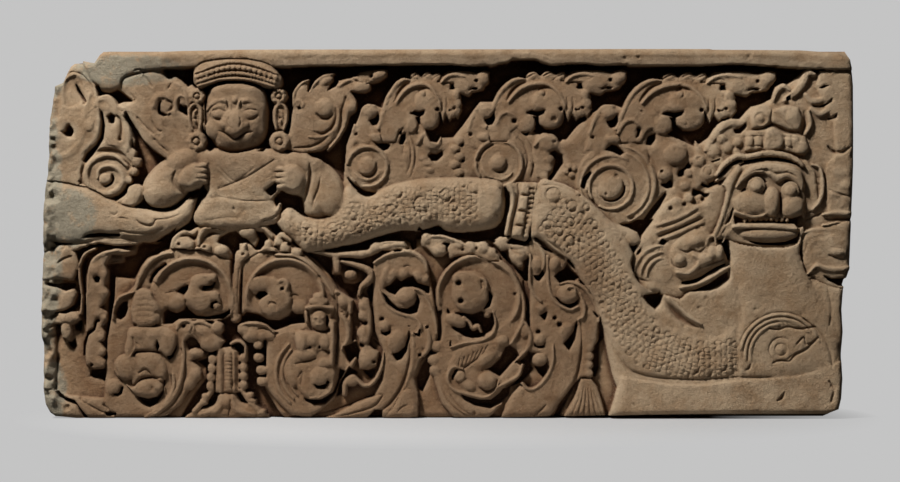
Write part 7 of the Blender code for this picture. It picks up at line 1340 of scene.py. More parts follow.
def leaf_crown(r):
    """Leaves that stand on top of the first two scrolls, below the waist cloth."""
    r.patch([(190, 250), (194, 268), (206, 278), (220, 282), (236, 290), (262, 292), (290, 290), (316, 296),
             (340, 290), (352, 276), (372, 270), (392, 250), (404, 240), (388, 236), (360, 242), (330, 238),
             (306, 222), (298, 240), (282, 240), (262, 236), (226, 244)], 32, 6, 6, mode="set",
            smooth=False)
    r.gap([(262, 264), (266, 274), (280, 282), (292, 284), (300, 276), (308, 272), (320, 260), (324, 270),
           (318, 284), (334, 282), (342, 270), (330, 252), (320, 252), (312, 262), (298, 262), (299, 244),
           (290, 222), (286, 224), (284, 246), (276, 258)], 0, 3)
    for points, wide in (([(196, 252), (198, 268), (212, 280), (224, 278)], [6, 8, 8, 5]),
                         ([(236, 262), (238, 276), (250, 288), (268, 286)], [5, 7, 8, 5]),
                         ([(296, 288), (314, 294), (332, 288), (346, 274)], [6, 9, 9, 6]),
                         ([(300, 238), (302, 252), (306, 262)], [8, 10, 6]),
                         ([(326, 244), (336, 256), (350, 254)], [6, 8, 5]),
                         ([(352, 262), (360, 276), (374, 268)], [6, 9, 6])):
        r.stroke(points, wide, 42, 6)
    for x, z, rx, rz in ((214, 262, 16, 12), (246, 256, 9, 7), (270, 252, 11, 8), (268, 240, 8, 5),
                         (236, 252, 8, 6), (309, 280, 13, 9), (304, 246, 7, 8), (346, 250, 8, 6),
                         (366, 256, 8, 10), (384, 250, 9, 7), (356, 266, 7, 6), (340, 262, 6, 7)):
        r.cap(x, z, (rx, rz), 43, 7)
    for x, z in ((206, 262), (245, 258), (271, 242), (303, 247), (334, 250), (352, 258), (372, 262)):
        r.drill(x, z, 2.8, 9)
    r.groove([(218, 280), (226, 272), (232, 274), (234, 282)], [3, 8, 6, 3], 20)
    r.groove([(244, 272), (254, 278), (266, 278)], [3, 7, 4], 16)


def scroll_two(r):
    """Second scroll, the mirror of the first."""
    r.patch([(302, 236), (330, 252), (372, 250), (406, 238), (436, 206), (446, 190), (462, 178), (468, 140),
             (466, 108), (474, 112), (466, 80), (448, 56), (440, 28), (404, 0), (376, 4), (352, 26),
             (336, 46), (336, 120), (352, 126), (376, 140), (396, 142), (396, 166), (372, 140), (300, 158)],
            33, 8, 5, mode="set", smooth=False)
    r.dish(366, 182, 57, 44, 31, 4, 8, 192, -30)
    r.stroke([(352, 246), (382, 244), (408, 228), (428, 204), (438, 186)], [4, 7, 8, 7, 5], 42, 6)
    r.groove([(356, 243), (382, 241), (406, 226), (424, 206)], 3.2, 12)
    r.gap([(298, 152), (306, 162), (326, 158), (340, 150), (356, 149), (370, 156), (378, 168), (386, 164),
           (394, 160), (398, 142), (376, 140), (350, 130), (336, 140), (316, 146)], 0, 3)
    r.patch([(312, 196), (315, 207), (330, 215), (350, 213), (359, 207), (367, 207), (374, 192), (377, 178),
             (371, 162), (356, 152), (340, 152), (330, 160), (326, 172), (332, 182), (336, 190), (324, 186),
             (318, 188)], 43, 7, 7, smooth=False)
    r.cap(330, 203, (16, 11), 47, 8)
    r.cap(350, 168, (18, 14), 46, 8)
    r.cap(356, 190, (14, 16), 45, 7)
    r.stroke([(356, 206), (364, 208), (370, 202), (368, 194)], [5, 6, 6, 4], 47, 4)
    r.gap([(320, 185), (326, 192), (336, 192), (342, 187), (333, 181), (328, 178)], 2, 2)
    r.drill(362, 195, 3, 12)
    r.groove([(341, 168), (344, 174), (352, 172), (353, 164)], [3, 5, 5, 3], 10)
    r.groove([(374, 184), (380, 186), (386, 184)], 3, 7)
    r.cap(387, 168, (13, 12), 39, 7)


def rider(r):
    """Small figure with a staff on its mount, in the second scroll."""
    for inset in (0, 9, 18):
        r.stroke([(372 + 0.4 * inset, 112 - inset), (357 + inset, 92 - 0.4 * inset), (352 + inset, 66),
                  (358 + inset, 42 + 0.3 * inset), (374 + 0.6 * inset, 22 + 0.7 * inset)], [3, 5, 6, 5, 3],
                 39, 5)
    r.gap([(390, 34), (396, 24), (410, 18), (428, 20), (444, 36), (450, 56), (462, 70), (446, 78),
           (444, 60), (436, 40), (420, 30), (402, 30)], 0, 4)
    r.patch([(376, 98), (388, 106), (410, 108), (432, 100), (440, 80), (444, 66), (438, 44), (424, 30),
             (404, 28), (388, 40), (380, 52), (366, 62), (364, 80)], 40, 8, 8)
    r.cap(420, 62, (18, 17), 49, 12)
    r.gap([(406, 54), (414, 44), (426, 43), (434, 54), (430, 60), (426, 52), (416, 50)], 12, 2)
    r.stroke([(438, 66), (436, 44), (420, 32), (404, 30)], [5, 5, 5, 4], 43, 4)
    r.cap(376, 62, (10, 16), 42, 7, tilt=20)
    r.cap(398, 96, (16, 9), 46, 7)
    r.groove([(382, 82), (398, 86), (412, 90)], [3, 5, 3], 7)
    r.patch([(420, 90), (434, 90), (434, 78), (416, 78)], 44, 5, 4)
    r.groove([(386, 62), (392, 70), (390, 50)], 3, 8)
    r.patch([(382, 128), (396, 132), (424, 130), (440, 130), (444, 118), (436, 100), (424, 104), (412, 98),
             (402, 106), (388, 100), (382, 112)], 44, 7, 7)
    for x, z, rx, rz in ((391, 114, 8, 13), (408, 118, 8, 10), (426, 115, 8, 11)):
        r.cap(x, z, (rx, rz), 49, 7)
    r.gap([(398, 104), (404, 112), (408, 104)], 16, 2)
    r.gap([(414, 104), (418, 112), (422, 104)], 16, 2)
    r.stroke([(438, 140), (438, 112), (437, 82)], 7, 49, 6, smooth=False)
    r.groove([(446, 182), (446, 140), (444, 104), (443, 82)], [3, 5, 5, 4], 18)
    r.patch([(399, 168), (404, 150), (410, 134), (428, 132), (436, 150), (440, 166), (430, 178),
             (408, 178)], 40, 6, 5, mode="set")
    r.cap(418, 148, (12, 15), 52, 11)
    r.cap(417, 183, (9, 7), 50, 8)
    r.cap(417, 176, (15, 7), 50, 8)
    r.stroke([(399, 166), (417, 169), (438, 166)], 6, 50, 5)
    r.stroke([(398, 160), (399, 146)], 5, 46, 5)
    r.cap(436, 142, (6, 8), 45, 6)
    for side in (-1, 1):
        r.cap(418 + 5 * side, 152, (3.4, 1.8), 54, 2)
        r.cap(418 + 3 * side, 141.5, (3.4, 1.6), 53.5, 2)
    r.stroke([(418, 154), (418, 147)], 3.4, 54.5, 2.5)
    r.gap([(427, 158), (432, 154), (434, 146), (430, 134), (426, 142)], 22, 2)
    r.stroke([(444, 190), (456, 190), (464, 178), (464, 160)], [6, 9, 9, 6], 42, 6)
    r.cap(454, 178, (9, 12), 42, 7)
    r.groove([(452, 160), (458, 150), (462, 160)], [3, 6, 3], 12)
    r.stroke([(452, 156), (460, 140), (461, 120), (452, 104)], [5, 8, 8, 4], 42, 6)
    r.gap([(454, 107), (462, 112), (468, 108), (464, 100), (456, 101)], 4, 2)
    r.stroke([(454, 60), (466, 80), (472, 100), (471, 116)], [5, 9, 8, 4], 42, 6)


def ornaments(r):
    """Hooked leaves and lobes between the second scroll and the arching leaf."""
    r.gap([(392, 256), (412, 250), (430, 246), (438, 240), (438, 218), (452, 218), (456, 206), (470, 204),
           (486, 210), (484, 200), (476, 186), (478, 172), (462, 180), (444, 192), (430, 216), (412, 236),
           (400, 244)], 0, 3)
    r.gap([(448, 238), (454, 241), (474, 232), (492, 228), (500, 214), (500, 172), (492, 176), (486, 192),
           (494, 204), (490, 218), (474, 226), (456, 234)], 2, 3)
    r.patch([(438, 242), (460, 242), (480, 240), (500, 246), (512, 252), (530, 258), (550, 258), (546, 266),
             (520, 268), (504, 264), (490, 254), (440, 250), (404, 256), (402, 250), (420, 246)], 42, 7, 6,
            smooth=False)
    r.cap(502, 256, (9, 8), 45, 7)
    r.groove([(508, 258), (516, 262), (532, 264)], [3, 4, 2], 8)
    r.stroke([(442, 244), (444, 232), (445, 222)], [12, 12, 10], 42, 7)
    r.cap(465, 216, (10, 8), 38, 7)
    r.stroke([(452, 236), (468, 232), (486, 226), (497, 216), (490, 205), (481, 198), (478, 186)],
             [5, 8, 10, 12, 12, 8, 5], 43, 7)
    r.patch([(478, 178), (482, 186), (492, 180), (497, 160), (498, 130), (492, 112), (500, 104), (508, 100),
             (504, 78), (490, 72), (478, 74), (477, 96), (484, 108), (478, 118), (476, 134), (484, 142),
             (478, 158)], 38, 7, 6, smooth=False)
    for x, z in ((484, 170), (484, 154), (482, 128), (486, 118)):
        r.cap(x, z, (8, 8), 42, 7)
    r.cap(490, 88, (12, 13), 42, 8)
    for x, z in ((487, 143), (482, 110)):
        r.drill(x, z, 4, 16)
    r.drill(500, 85, 3, 12)
    r.gap([(481, 75), (490, 73), (505, 76), (502, 66), (496, 57), (490, 62), (484, 68)], 2, 2)
    r.gap([(452, 108), (456, 92), (464, 78), (474, 72), (478, 66), (468, 64), (458, 58), (454, 36),
           (440, 28), (446, 52), (460, 76), (472, 90), (476, 76), (480, 100), (474, 118)], 0, 3)
    r.stroke([(456, 36), (457, 52), (467, 62), (476, 56), (484, 49), (494, 50), (504, 60), (512, 78),
              (516, 100)], [8, 9, 8, 6, 6, 6, 6, 6, 4], 42, 6)
    r.cap(466, 55, (10, 8), 42, 6)


def arch_leaf(r):
    """Large leaf that arches over a ball, with its long stem to the foot of the stone."""
    r.patch([(400, -6), (440, 4), (470, 22), (500, 34), (512, 58), (516, 96), (502, 130), (498, 180),
             (500, 236), (520, 247), (542, 252), (558, 251), (574, 243), (582, 228), (586, 205), (592, 178),
             (597, 146), (597, 120), (590, 112), (580, 104), (570, 84), (562, 60), (567, 36), (566, -6)],
            35, 8, 5, mode="set", smooth=False)
    r.stroke([(500, 234), (520, 246), (544, 251), (562, 248), (576, 236), (581, 222)], [4, 6, 7, 7, 7, 5],
             43, 6)
    r.stroke([(518, 222), (514, 208), (514, 200)], [12, 14, 9], 40, 7)
    r.cap(528, 212, (9, 13), 42, 6, tilt=-25)
    for x, z, size in ((545, 217, 8), (566, 214, 9), (577, 209, 7)):
        r.cap(x, z, size, 42, 7)
    r.groove([(545, 228), (551, 230), (556, 227)], 2.6, 7)
    r.gap([(513, 197), (524, 203), (534, 214), (541, 208), (550, 214), (559, 216), (567, 205), (577, 202),
           (585, 200), (585, 186), (572, 188), (558, 197), (544, 195), (532, 184), (522, 188)], 0, 3)
    r.gap([(511, 191), (520, 170), (534, 160), (554, 155), (566, 159), (570, 176), (565, 190), (560, 172),
           (550, 166), (538, 166), (528, 174), (518, 186)], 2, 2)
    r.cap(549, 183, (16, 15), 46, 12)
    r.groove([(539, 174), (548, 170), (558, 174)], 3, 6)
    r.stroke([(562, 195), (574, 189), (584, 172), (592, 150), (595, 128)], [4, 6, 6, 6, 4], 43, 6)
    r.stroke([(508, 194), (514, 178), (526, 164), (544, 156), (560, 152), (570, 140), (567, 128),
              (559, 127)], [3, 4, 5, 5, 5, 6, 7, 5], 41, 5)
    r.gap([(558, 130), (562, 124), (570, 122), (572, 134), (568, 136), (566, 128)], 8, 2)
    r.drill(512, 149, 3.2, 14)
    r.cap(516, 139, (9, 9), 41, 6)
    r.gap([(509, 136), (514, 130), (522, 132), (526, 141), (526, 128), (518, 123), (511, 126)], 6, 2)
    r.groove([(499, 118), (506, 112), (512, 105)], [4, 4, 2], 10)
    r.cap(534, 116, (13, 17), 41, 6, tilt=-20)
    r.gap([(526, 97), (536, 100), (546, 108), (551, 124), (553, 136), (550, 140), (554, 140), (555, 122),
           (550, 100), (542, 88), (534, 85)], 0, 2)
    r.groove([(554, 128), (555, 100), (551, 74), (542, 48), (526, 24), (512, 12)], [3, 4, 5, 6, 6, 4], 26)
    r.stroke([(559, 118), (560, 96), (556, 72), (548, 50)], [4, 5, 5, 3], 39, 4)
    r.stroke([(578, 138), (583, 124), (582, 106), (574, 94)], [5, 8, 9, 6], 41, 6)
    r.drill(580, 137, 3, 13)
    r.drill(569, 95, 3, 13)
    r.gap([(590, 118), (586, 100), (578, 90), (570, 80), (562, 60), (564, 44), (574, 36), (586, 62),
           (592, 90)], 0, 3)
    r.patch([(516, 2), (530, 18), (541, 40), (550, 46), (562, 42), (568, 28), (566, 8), (562, -6),
             (520, -6)], 38, 7, 6, mode="set", smooth=False)
    r.groove([(536, 10), (542, 16), (550, 20)], 3, 6)
    r.groove([(560, 40), (564, 20), (561, 2)], 3, 7)
    r.groove([(408, 4), (440, 12), (470, 22), (500, 34), (514, 36)], [3, 3, 4, 4, 2], 6)
    r.groove([(420, -2), (470, 8), (500, 18), (514, 34)], [3, 4, 5, 3], 10)
    r.gap([(484, -4), (500, 14), (514, 14), (514, -4)], 4, 3)


def scroll_three(r):
    """Third scroll, with a round bud, a leaf combed by the chisel and a ball at its foot."""
    r.patch([(590, 60), (588, 84), (596, 104), (602, 130), (600, 200), (612, 228), (634, 246), (656, 249),
             (684, 242), (706, 226), (720, 206), (730, 176), (730, 150), (737, 126), (732, 104), (714, 84),
             (724, 80), (718, 64), (700, 50), (694, 20), (668, -6), (626, -6), (602, 22)], 34, 8, 5,
            mode="set", smooth=False)
    for x, z in ((594, 108), (589, 88), (592, 72)):
        r.cap(x, z, (9, 9), 38, 7)
    r.gap([(614, 118), (617, 118), (618, 106), (613, 106)], 10, 2)
    r.dish(658, 183, 61, 43, 31, 4, 8, 200, -38)
    r.stroke([(676, 238), (700, 224), (716, 204), (726, 178), (726, 152), (718, 132), (706, 110)],
             [4, 6, 6, 6, 6, 6, 4], 42, 5)
    r.cap(646, 190, (29, 32), 45, 10)
    r.cap(634, 210, (16, 12), 45, 6)
    r.cap(636, 192, (9, 8), 47, 6)
    for x, z in ((628, 204), (631, 177)):
        r.drill(x, z, 4.4, 16)
    r.stroke([(661, 211), (668, 207), (670, 197)], [4, 5, 4], 46, 4)
    r.groove([(662, 206), (663, 196)], 3.4, 12)
    r.drill(713, 187, 2.6, 7)
    r.gap([(672, 197), (681, 184), (676, 168), (664, 162), (682, 158), (684, 142), (679, 130), (666, 122),
           (650, 118), (636, 122), (624, 130), (618, 134), (610, 156), (608, 172), (616, 160), (634, 160),
           (648, 158), (664, 164), (672, 178)], 0, 3)
    r.cap(671, 156, (6, 6), 34, 6)
    r.cap(624, 147, (17, 10), 42, 8, tilt=-25)
    r.stroke([(636, 152), (644, 144), (650, 134), (656, 139), (662, 130)], [5, 6, 7, 8, 5], 40, 6)
    r.drill(650, 131, 3, 10)
    r.stroke([(680, 160), (684, 142), (678, 126), (662, 117), (636, 113), (616, 107)], [3, 4, 5, 5, 4, 3],
             41, 5)
    r.patch([(606, 60), (612, 84), (624, 104), (650, 114), (676, 118), (690, 126), (702, 122), (702, 112),
             (692, 104), (682, 86), (662, 70), (640, 78), (624, 74), (616, 60)], 37, 6, 8, smooth=False)
    for k in range(7):
        r.groove([(672 - 7 * k, 110 - 3.4 * k), (662 - 6 * k, 94 - 3.6 * k), (646 - 4 * k, 82 - 3 * k)],
                 2.4, 3)
    r.cap(694, 117, (9, 8), 43, 6)
    r.cap(668, 88, (15, 9), 41, 6, tilt=30)
    r.gap([(697, 108), (690, 92), (676, 78), (660, 71), (672, 72), (690, 60), (700, 70), (712, 84),
           (722, 92), (716, 104), (706, 112)], 0, 3)
    r.stroke([(634, 74), (620, 77), (612, 66), (613, 52), (622, 42), (634, 38), (650, 34), (668, 31),
              (682, 40), (688, 54)], [3, 5, 5, 5, 5, 5, 5, 5, 4, 3], 41, 5)
    r.cap(629, 63, (9, 9), 43, 7)
    r.gap([(634, 74), (622, 74), (616, 62), (620, 52), (622, 62), (628, 72)], 8, 2)
    r.cap(641, 50, (14, 8), 40, 7, tilt=-25)
    r.cap(671, 56, (15, 14), 46, 11)
    r.groove([(660, 46), (670, 40), (682, 46), (686, 58)], [3, 5, 5, 3], 14)
    r.gap([(628, 38), (636, 26), (652, 17), (676, 13), (694, 22), (706, 34), (708, 48), (694, 46),
           (688, 38), (676, 29), (660, 29), (642, 33)], 0, 3)
    for inset in (0, 9):
        r.groove([(603 + inset, 44), (612 + inset, 26), (628 + inset, 10), (648 + inset, 1)],
                 [2, 3.4, 3.4, 2], 9)
    r.groove([(726, 206), (731, 180), (731, 154)], [4, 7, 7], 22)


def right_foliage(r):
    """Leaves that hang from the collar, and the sweeping leaf and tassel right of the third scroll."""
    r.gap([(688, 254), (700, 252), (704, 240), (714, 228), (724, 224), (730, 236), (729, 250), (740, 246),
           (734, 232), (738, 204), (726, 206), (710, 226), (692, 244)], 0, 3)
    r.patch([(734, 100), (736, 130), (734, 160), (736, 190), (732, 216), (734, 244), (732, 266), (744, 272),
             (768, 266), (788, 256), (792, 238), (806, 222), (812, 204), (826, 188), (838, 166), (840, 140),
             (838, 116), (828, 62), (812, 60), (804, 52), (782, 24), (766, 2), (740, -6), (690, -6),
             (700, 22), (708, 36), (720, 50), (732, 42), (744, 46), (756, 60), (764, 76), (760, 90),
             (750, 96)], 35, 8, 5, mode="set", smooth=False)
    r.patch([(680, 264), (686, 274), (706, 274), (724, 266), (730, 256), (728, 240), (720, 227), (711, 232),
             (704, 243), (702, 254), (692, 252)], 42, 7, 6, mode="set", smooth=False)
    r.cap(716, 242, (10, 10), 45, 7)
    r.cap(720, 233, (6, 6), 44, 6)
    r.groove([(703, 256), (716, 254), (728, 256)], [3, 4, 2], 9)
    r.stroke([(736, 246), (735, 220), (736, 200), (742, 186), (752, 176)], [4, 5, 5, 5, 4], 42, 5)
    r.stroke([(740, 270), (752, 256), (757, 238), (754, 222)], [6, 8, 8, 4], 41, 6)
    r.cap(745, 232, (9, 12), 41, 7, tilt=-15)
    r.gap([(739, 216), (748, 216), (756, 226), (758, 216), (750, 205), (744, 208)], 4, 2)
    r.stroke([(746, 274), (772, 262), (788, 250), (790, 238)], [5, 8, 8, 4], 42, 6)
    r.gap([(744, 264), (760, 258), (776, 250), (768, 248), (756, 252)], 14, 3)
    r.stroke([(762, 244), (762, 220), (764, 196), (770, 180), (782, 169), (796, 163), (808, 168)],
             [4, 5, 5, 5, 5, 5, 3], 41, 5)
    r.cap(772, 232, (9, 12), 41, 7, tilt=-20)
    r.gap([(771, 214), (778, 222), (786, 226), (792, 236), (800, 224), (812, 212), (804, 205), (790, 204),
           (780, 201)], 0, 3)
    r.gap([(770, 186), (780, 172), (796, 165), (808, 172), (811, 186), (806, 192), (804, 178), (794, 172),
           (782, 178)], 2, 2)
    r.cap(793, 187, (17, 16), 45, 11)
    r.stroke([(791, 195), (794, 198), (802, 197), (804, 190)], [2.4, 3, 3, 2.4], 48, 3)
    r.drill(795, 193, 2.4, 5)
    r.stroke([(780, 202), (796, 205), (812, 200), (826, 186), (837, 164), (839, 146)], [3, 5, 6, 6, 6, 4],
             42, 6)
    r.stroke([(811, 188), (817, 170), (816, 154), (808, 148)], [4, 6, 6, 4], 41, 5)
    r.gap([(826, 164), (834, 160), (840, 154), (839, 148), (832, 156)], 10, 2)
    for x, z, size in ((748, 130, 3.4), (773, 151, 3.2), (780, 141, 4)):
        r.drill(x, z, size, 14)
    r.cap(752, 166, (8, 6), 40, 6)
    r.gap([(749, 155), (754, 158), (763, 163), (761, 152), (758, 145)], 4, 2)
    r.cap(750, 119, (9, 9), 41, 7)
    r.gap([(741, 116), (746, 109), (755, 110), (758, 120), (758, 106), (748, 104), (741, 108)], 4, 2)
    r.cap(750, 88, (12, 10), 43, 8)
    r.gap([(740, 80), (752, 78), (762, 84), (763, 70), (756, 60), (748, 66)], 2, 2)
    r.stroke([(770, 110), (770, 86), (762, 64), (748, 48), (734, 43), (724, 52), (720, 58)],
             [3, 4, 5, 5, 5, 5, 4], 41, 5)
    r.cap(790, 132, (9, 14), 40, 6, tilt=-30)
    r.gap([(785, 112), (792, 120), (800, 130), (806, 150), (808, 140), (804, 118), (795, 100)], 0, 2)
    r.groove([(811, 150), (814, 120), (812, 90), (806, 62), (794, 36), (780, 18)], [3, 3, 5, 6, 7, 8], 24)
    r.gap([(766, -4), (776, 16), (794, 34), (806, 56), (800, 38), (786, 10), (782, -4)], 0, 3)
    r.groove([(742, 4), (752, 12), (760, 20)], [4, 4, 2], 9)
    r.gap([(842, 150), (847, 138), (850, 124), (842, 112), (842, 76), (836, 60), (828, 62), (827, 98),
           (832, 110), (838, 118)], 0, 3)
    for k in range(4):
        r.cap(826 - 0.5 * k, 106 - 13 * k, (7, 7), 40, 6)
    r.gap([(734, 104), (741, 94), (739, 82), (743, 74), (732, 60), (722, 52), (708, 46), (706, 34),
           (696, 30), (694, 44), (712, 54), (722, 68), (726, 80), (716, 84), (730, 96)], 0, 3)
    r.stroke([(728, 144), (736, 126), (732, 106), (716, 88)], [5, 7, 7, 4], 41, 6)
    r.cap(727, 132, (8, 12), 40, 6)
    r.stroke([(724, 80), (718, 64), (702, 54), (686, 46)], [5, 7, 7, 4], 41, 6)
    r.patch([(812, 60), (828, 60), (838, 46), (846, 20), (852, -6), (784, -6), (792, 12), (804, 34)], 38, 7,
            6, mode="set", smooth=False)
    for k in range(6):
        r.groove([(815 + 2.4 * k, 56), (808 + 5.6 * k, 28), (796 + 10 * k, 0)], [1.8, 3, 3.4], 5)
    r.groove([(813, 60), (828, 60)], 3, 6)


def edge_line(table):
    """Turns a list of (place, value) pairs into a function that reads between them."""
    places, values = np.array(table, float).T
    return lambda at: np.interp(at, places, values)


# The outline of the face: chipped edges, a corner gone at the upper left, a rounded one at the upper right
left_edge = edge_line([(0, 24), (8, 12), (20, 5), (40, 2), (100, 2), (130, 0), (230, 0), (270, 1), (340, 4),
                       (370, 9), (450, 12), (475, 16), (500, 20), (560, 22)])
right_edge_line = edge_line([(0, 1176), (8, 1184), (14, 1199), (30, 1203), (60, 1205), (95, 1203),
                             (130, 1206), (165, 1204), (190, 1206), (205, 1210), (225, 1216), (300, 1219),
                             (380, 1222), (500, 1222), (526, 1220), (540, 1217), (548, 1211), (556, 1200)])
top_edge = edge_line([(0, 500), (16, 506), (22, 517), (31, 530), (42, 537), (60, 538), (79, 535), (87, 547),
                      (93, 552), (140, 550), (210, 553), (300, 555), (880, 556), (1005, 556), (1010, 555),
                      (1150, 554), (1195, 551), (1212, 548), (1222, 540)])
foot_edge = edge_line([(0, 3), (40, 0), (180, 0), (700, 1), (800, 3), (900, 6), (1000, 7.5), (1222, 7.5)])


def settle(r):
    """The ground lies shallow behind the foliage and deep only below the lip."""
    depth_share = np.clip((r.z - 470) / 35, 0, 1)[:, None]
    ground = (GROUND_LEVEL - 5 * np.clip((300 - r.z) / 30, 0, 1)[:, None]) * (1 - depth_share)
    r.h = np.where(r.h < LIP_LEVEL, ground + r.h * (1 - ground / LIP_LEVEL), r.h)


def face_grid(step):
    """Places of the vertices of the face: an even grid, drawn in at its border to the outline."""
    nx, nz = int(round(DESIGN_LENGTH / step)), int(round(DESIGN_HEIGHT / step))
    x, z = np.meshgrid(np.linspace(0, DESIGN_LENGTH, nx + 1), np.linspace(0, DESIGN_HEIGHT, nz + 1))
    fade = lambda distance, reach: np.clip(1 - distance / reach, 0, 1)
    z2 = z + (top_edge(x) - DESIGN_HEIGHT) * fade(DESIGN_HEIGHT - z, 130) + foot_edge(x) * fade(z, 60)
    from_right = (right_edge_line(z2) - DESIGN_LENGTH) * fade(DESIGN_LENGTH - x, 110)
    x2 = x + left_edge(z2) * fade(x, 70) + from_right
    return x2, z2


def carve(step):
    """The whole carving, as heights above its ground; later motifs lie over earlier ones."""
    r = Relief(step)
    for motif in (corner_leaf, left_volute, back_leaf, left_hollows, lip, foliage_ground, volutes,
                  between_a_and_volutes, leaf_a, leaf_b, leaf_c, knobs, scroll_ground, lower_left,
                  leaf_crown, scroll_one, scroll_two, stalk, figure_one, rider, ornaments, arch_leaf,
                  scroll_three, right_foliage, serpent_body, under_leaves, collar, serpent_turn, ledge,
                  great_head, roundel, crown, right_edge, small_head, bird_man_body, right_leaf, headdress,
                  head):
        motif(r)
    r.h = np.clip(r.h, 0, HIGHEST)
    settle(r)
    return r


def wear(r):
    """Weather has rounded the raised edges, and the stone's own grain shows everywhere."""
    rng = np.random.default_rng(5)
    h = r.h
    for reach, kept, most in EDGE_WEAR:
        lost = np.maximum(h - blur(h, reach / r.step) - kept, 0)
        h = h - most * (1 - np.exp(-lost / most))
    h = blur(h, 0.4 / r.step)
    for cell, height in UNEVENNESS:
        h = h + height * noise(h.shape, cell / r.step, rng)
    # the end that broke off is rough
    x, z = np.meshgrid(r.x, r.z)
    broken = np.clip((30 - x) / 14, 0, 1) * np.clip((z - 10) / 20, 0, 1)
    for cell, height in BROKEN_END:
        h = h + broken * height * noise(h.shape, cell / r.step, rng)
    r.h = h
    # pits and small chips
    across = rng.uniform(0, DESIGN_LENGTH, PITS)
    up = rng.uniform(0, DESIGN_HEIGHT, PITS)
    for x, z, size in zip(across, up, rng.exponential(1.0, PITS)):
        radius = min(1.4 + size, 5.0)
        r.drill(x, z, radius, 0.5 * radius)


def read_raster(r, values, x, z):
    """Values of the raster at any places, by straight interpolation."""
    i = np.clip((x + r.margin) / r.step, 0, r.nx - 1.001)
    j = np.clip((z + r.margin) / r.step, 0, r.nz - 1.001)
    i0, j0 = i.astype(int), j.astype(int)
    u, v = i - i0, j - j0
    below = values[j0, i0] * (1 - u) + values[j0, i0 + 1] * u
    above = values[j0 + 1, i0] * (1 - u) + values[j0 + 1, i0 + 1] * u
    return below * (1 - v) + above * v


def border_loop(nz, nx):
    """Grid places round the border of the face, counter-clockwise as seen from the front."""
    foot = [(0, i) for i in range(nx)]
    right = [(j, nx - 1) for j in range(1, nz)]
    top = [(nz - 1, i) for i in range(nx - 2, -1, -1)]
    left = [(j, 0) for j in range(nz - 2, 0, -1)]
    return foot + right + top + left


def block_mesh(r):
    """The block: carved face, worn arrises, plain sides, flat back and flat underside."""
    x, z = face_grid(MESH_STEP)
    h = read_raster(r, r.h, x, z)
    nz, nx = x.shape
    across, up = np.arange(nx)[None], np.arange(nz)[:, None]
    to_side = np.minimum(np.minimum(across, nx - 1 - across), np.minimum(up, nz - 1 - up)) * MESH_STEP
    h = np.clip(h - 5 * np.clip(1 - to_side / 9, 0, 1) ** 2, 0, HIGHEST) * RELIEF_DEPTH / LIP_LEVEL
    ground_y = -THICKNESS / 2 + HIGHEST * RELIEF_DEPTH / LIP_LEVEL
    face = np.stack([x * LENGTH / DESIGN_LENGTH - LENGTH / 2, ground_y - h, z * HEIGHT / DESIGN_HEIGHT], -1)
    loop = border_loop(nz, nx)
    front = np.array([j * nx + i for j, i in loop])
    rows = face.reshape(-1, 3)[front]
    # behind the face the sides run straight back, and the underside is flat at Z = 0
    shoulder = rows.copy()
    shoulder[:, 1] = np.maximum(rows[:, 1] + ARRIS_SETBACK * 0.4, ground_y + ARRIS_SETBACK)
    shoulder[[j == 0 for j, i in loop], 2] = 0.0
    shoulder[[j == nz - 1 and x[j, i] > 95 for j, i in loop], 2] = HEIGHT
    back = shoulder.copy()
    back[:, 1] = THICKNESS / 2

    index = np.arange(nz * nx).reshape(nz, nx)
    quads = np.stack([index[:-1, :-1], index[:-1, 1:], index[1:, 1:], index[1:, :-1]], -1).reshape(-1, 4)
    k = np.arange(len(loop))
    m = (k + 1) % len(loop)
    first = nz * nx
    second = first + len(loop)
    sides = np.stack([front[m], front[k], first + k, first + m], -1)
    deep_sides = np.stack([first + m, first + k, second + k, second + m], -1)
    quads = np.concatenate([quads, sides, deep_sides])
    mesh = bpy.data.meshes.new("stone")
    mesh.from_pydata(np.concatenate([face.reshape(-1, 3), shoulder, back]).tolist(), [],
                     quads.tolist() + [[int(second + n) for n in k[::-1]]])
    return mesh


def thin(stone):
    """Fewer triangles where the stone is plain."""
    sides = sum(len(polygon.vertices) - 2 for polygon in stone.data.polygons)
    thinner = stone.modifiers.new("thin", "DECIMATE")
    thinner.decimate_type = "COLLAPSE"
    thinner.ratio = TRIANGLES / sides
    graph = bpy.context.evaluated_depsgraph_get()
    mesh = bpy.data.meshes.new_from_object(stone.evaluated_get(graph))
    stone.modifiers.clear()
    stone.data = mesh


def region(x, z, places):
    """How far each place lies inside some round spots, 0 to 1."""
    inside = np.zeros_like(x)
    for cx, cz, rx, rz in places:
        inside = np.maximum(inside, 1 - np.hypot((x - cx) / rx, (z - cz) / rz))
    return np.clip(inside * 2.5, 0, 1)


def soft_box(x, z, left, right, bottom, top, fade):
    """1 inside a box on the face, 0 outside it, soft over `fade`."""
    across = np.minimum(x - left, right - x)
    up = np.minimum(z - bottom, top - z)
    return np.clip(np.minimum(across, up) / fade, 0, 1)


# Spots as (x, z, half width, half height), in mm on the face
LICHEN = ((0, 520, 46, 56), (6, 300, 34, 240), (45, 302, 52, 56), (130, 524, 106, 30), (14, 40, 28, 60),
          (0, 180, 24, 120))


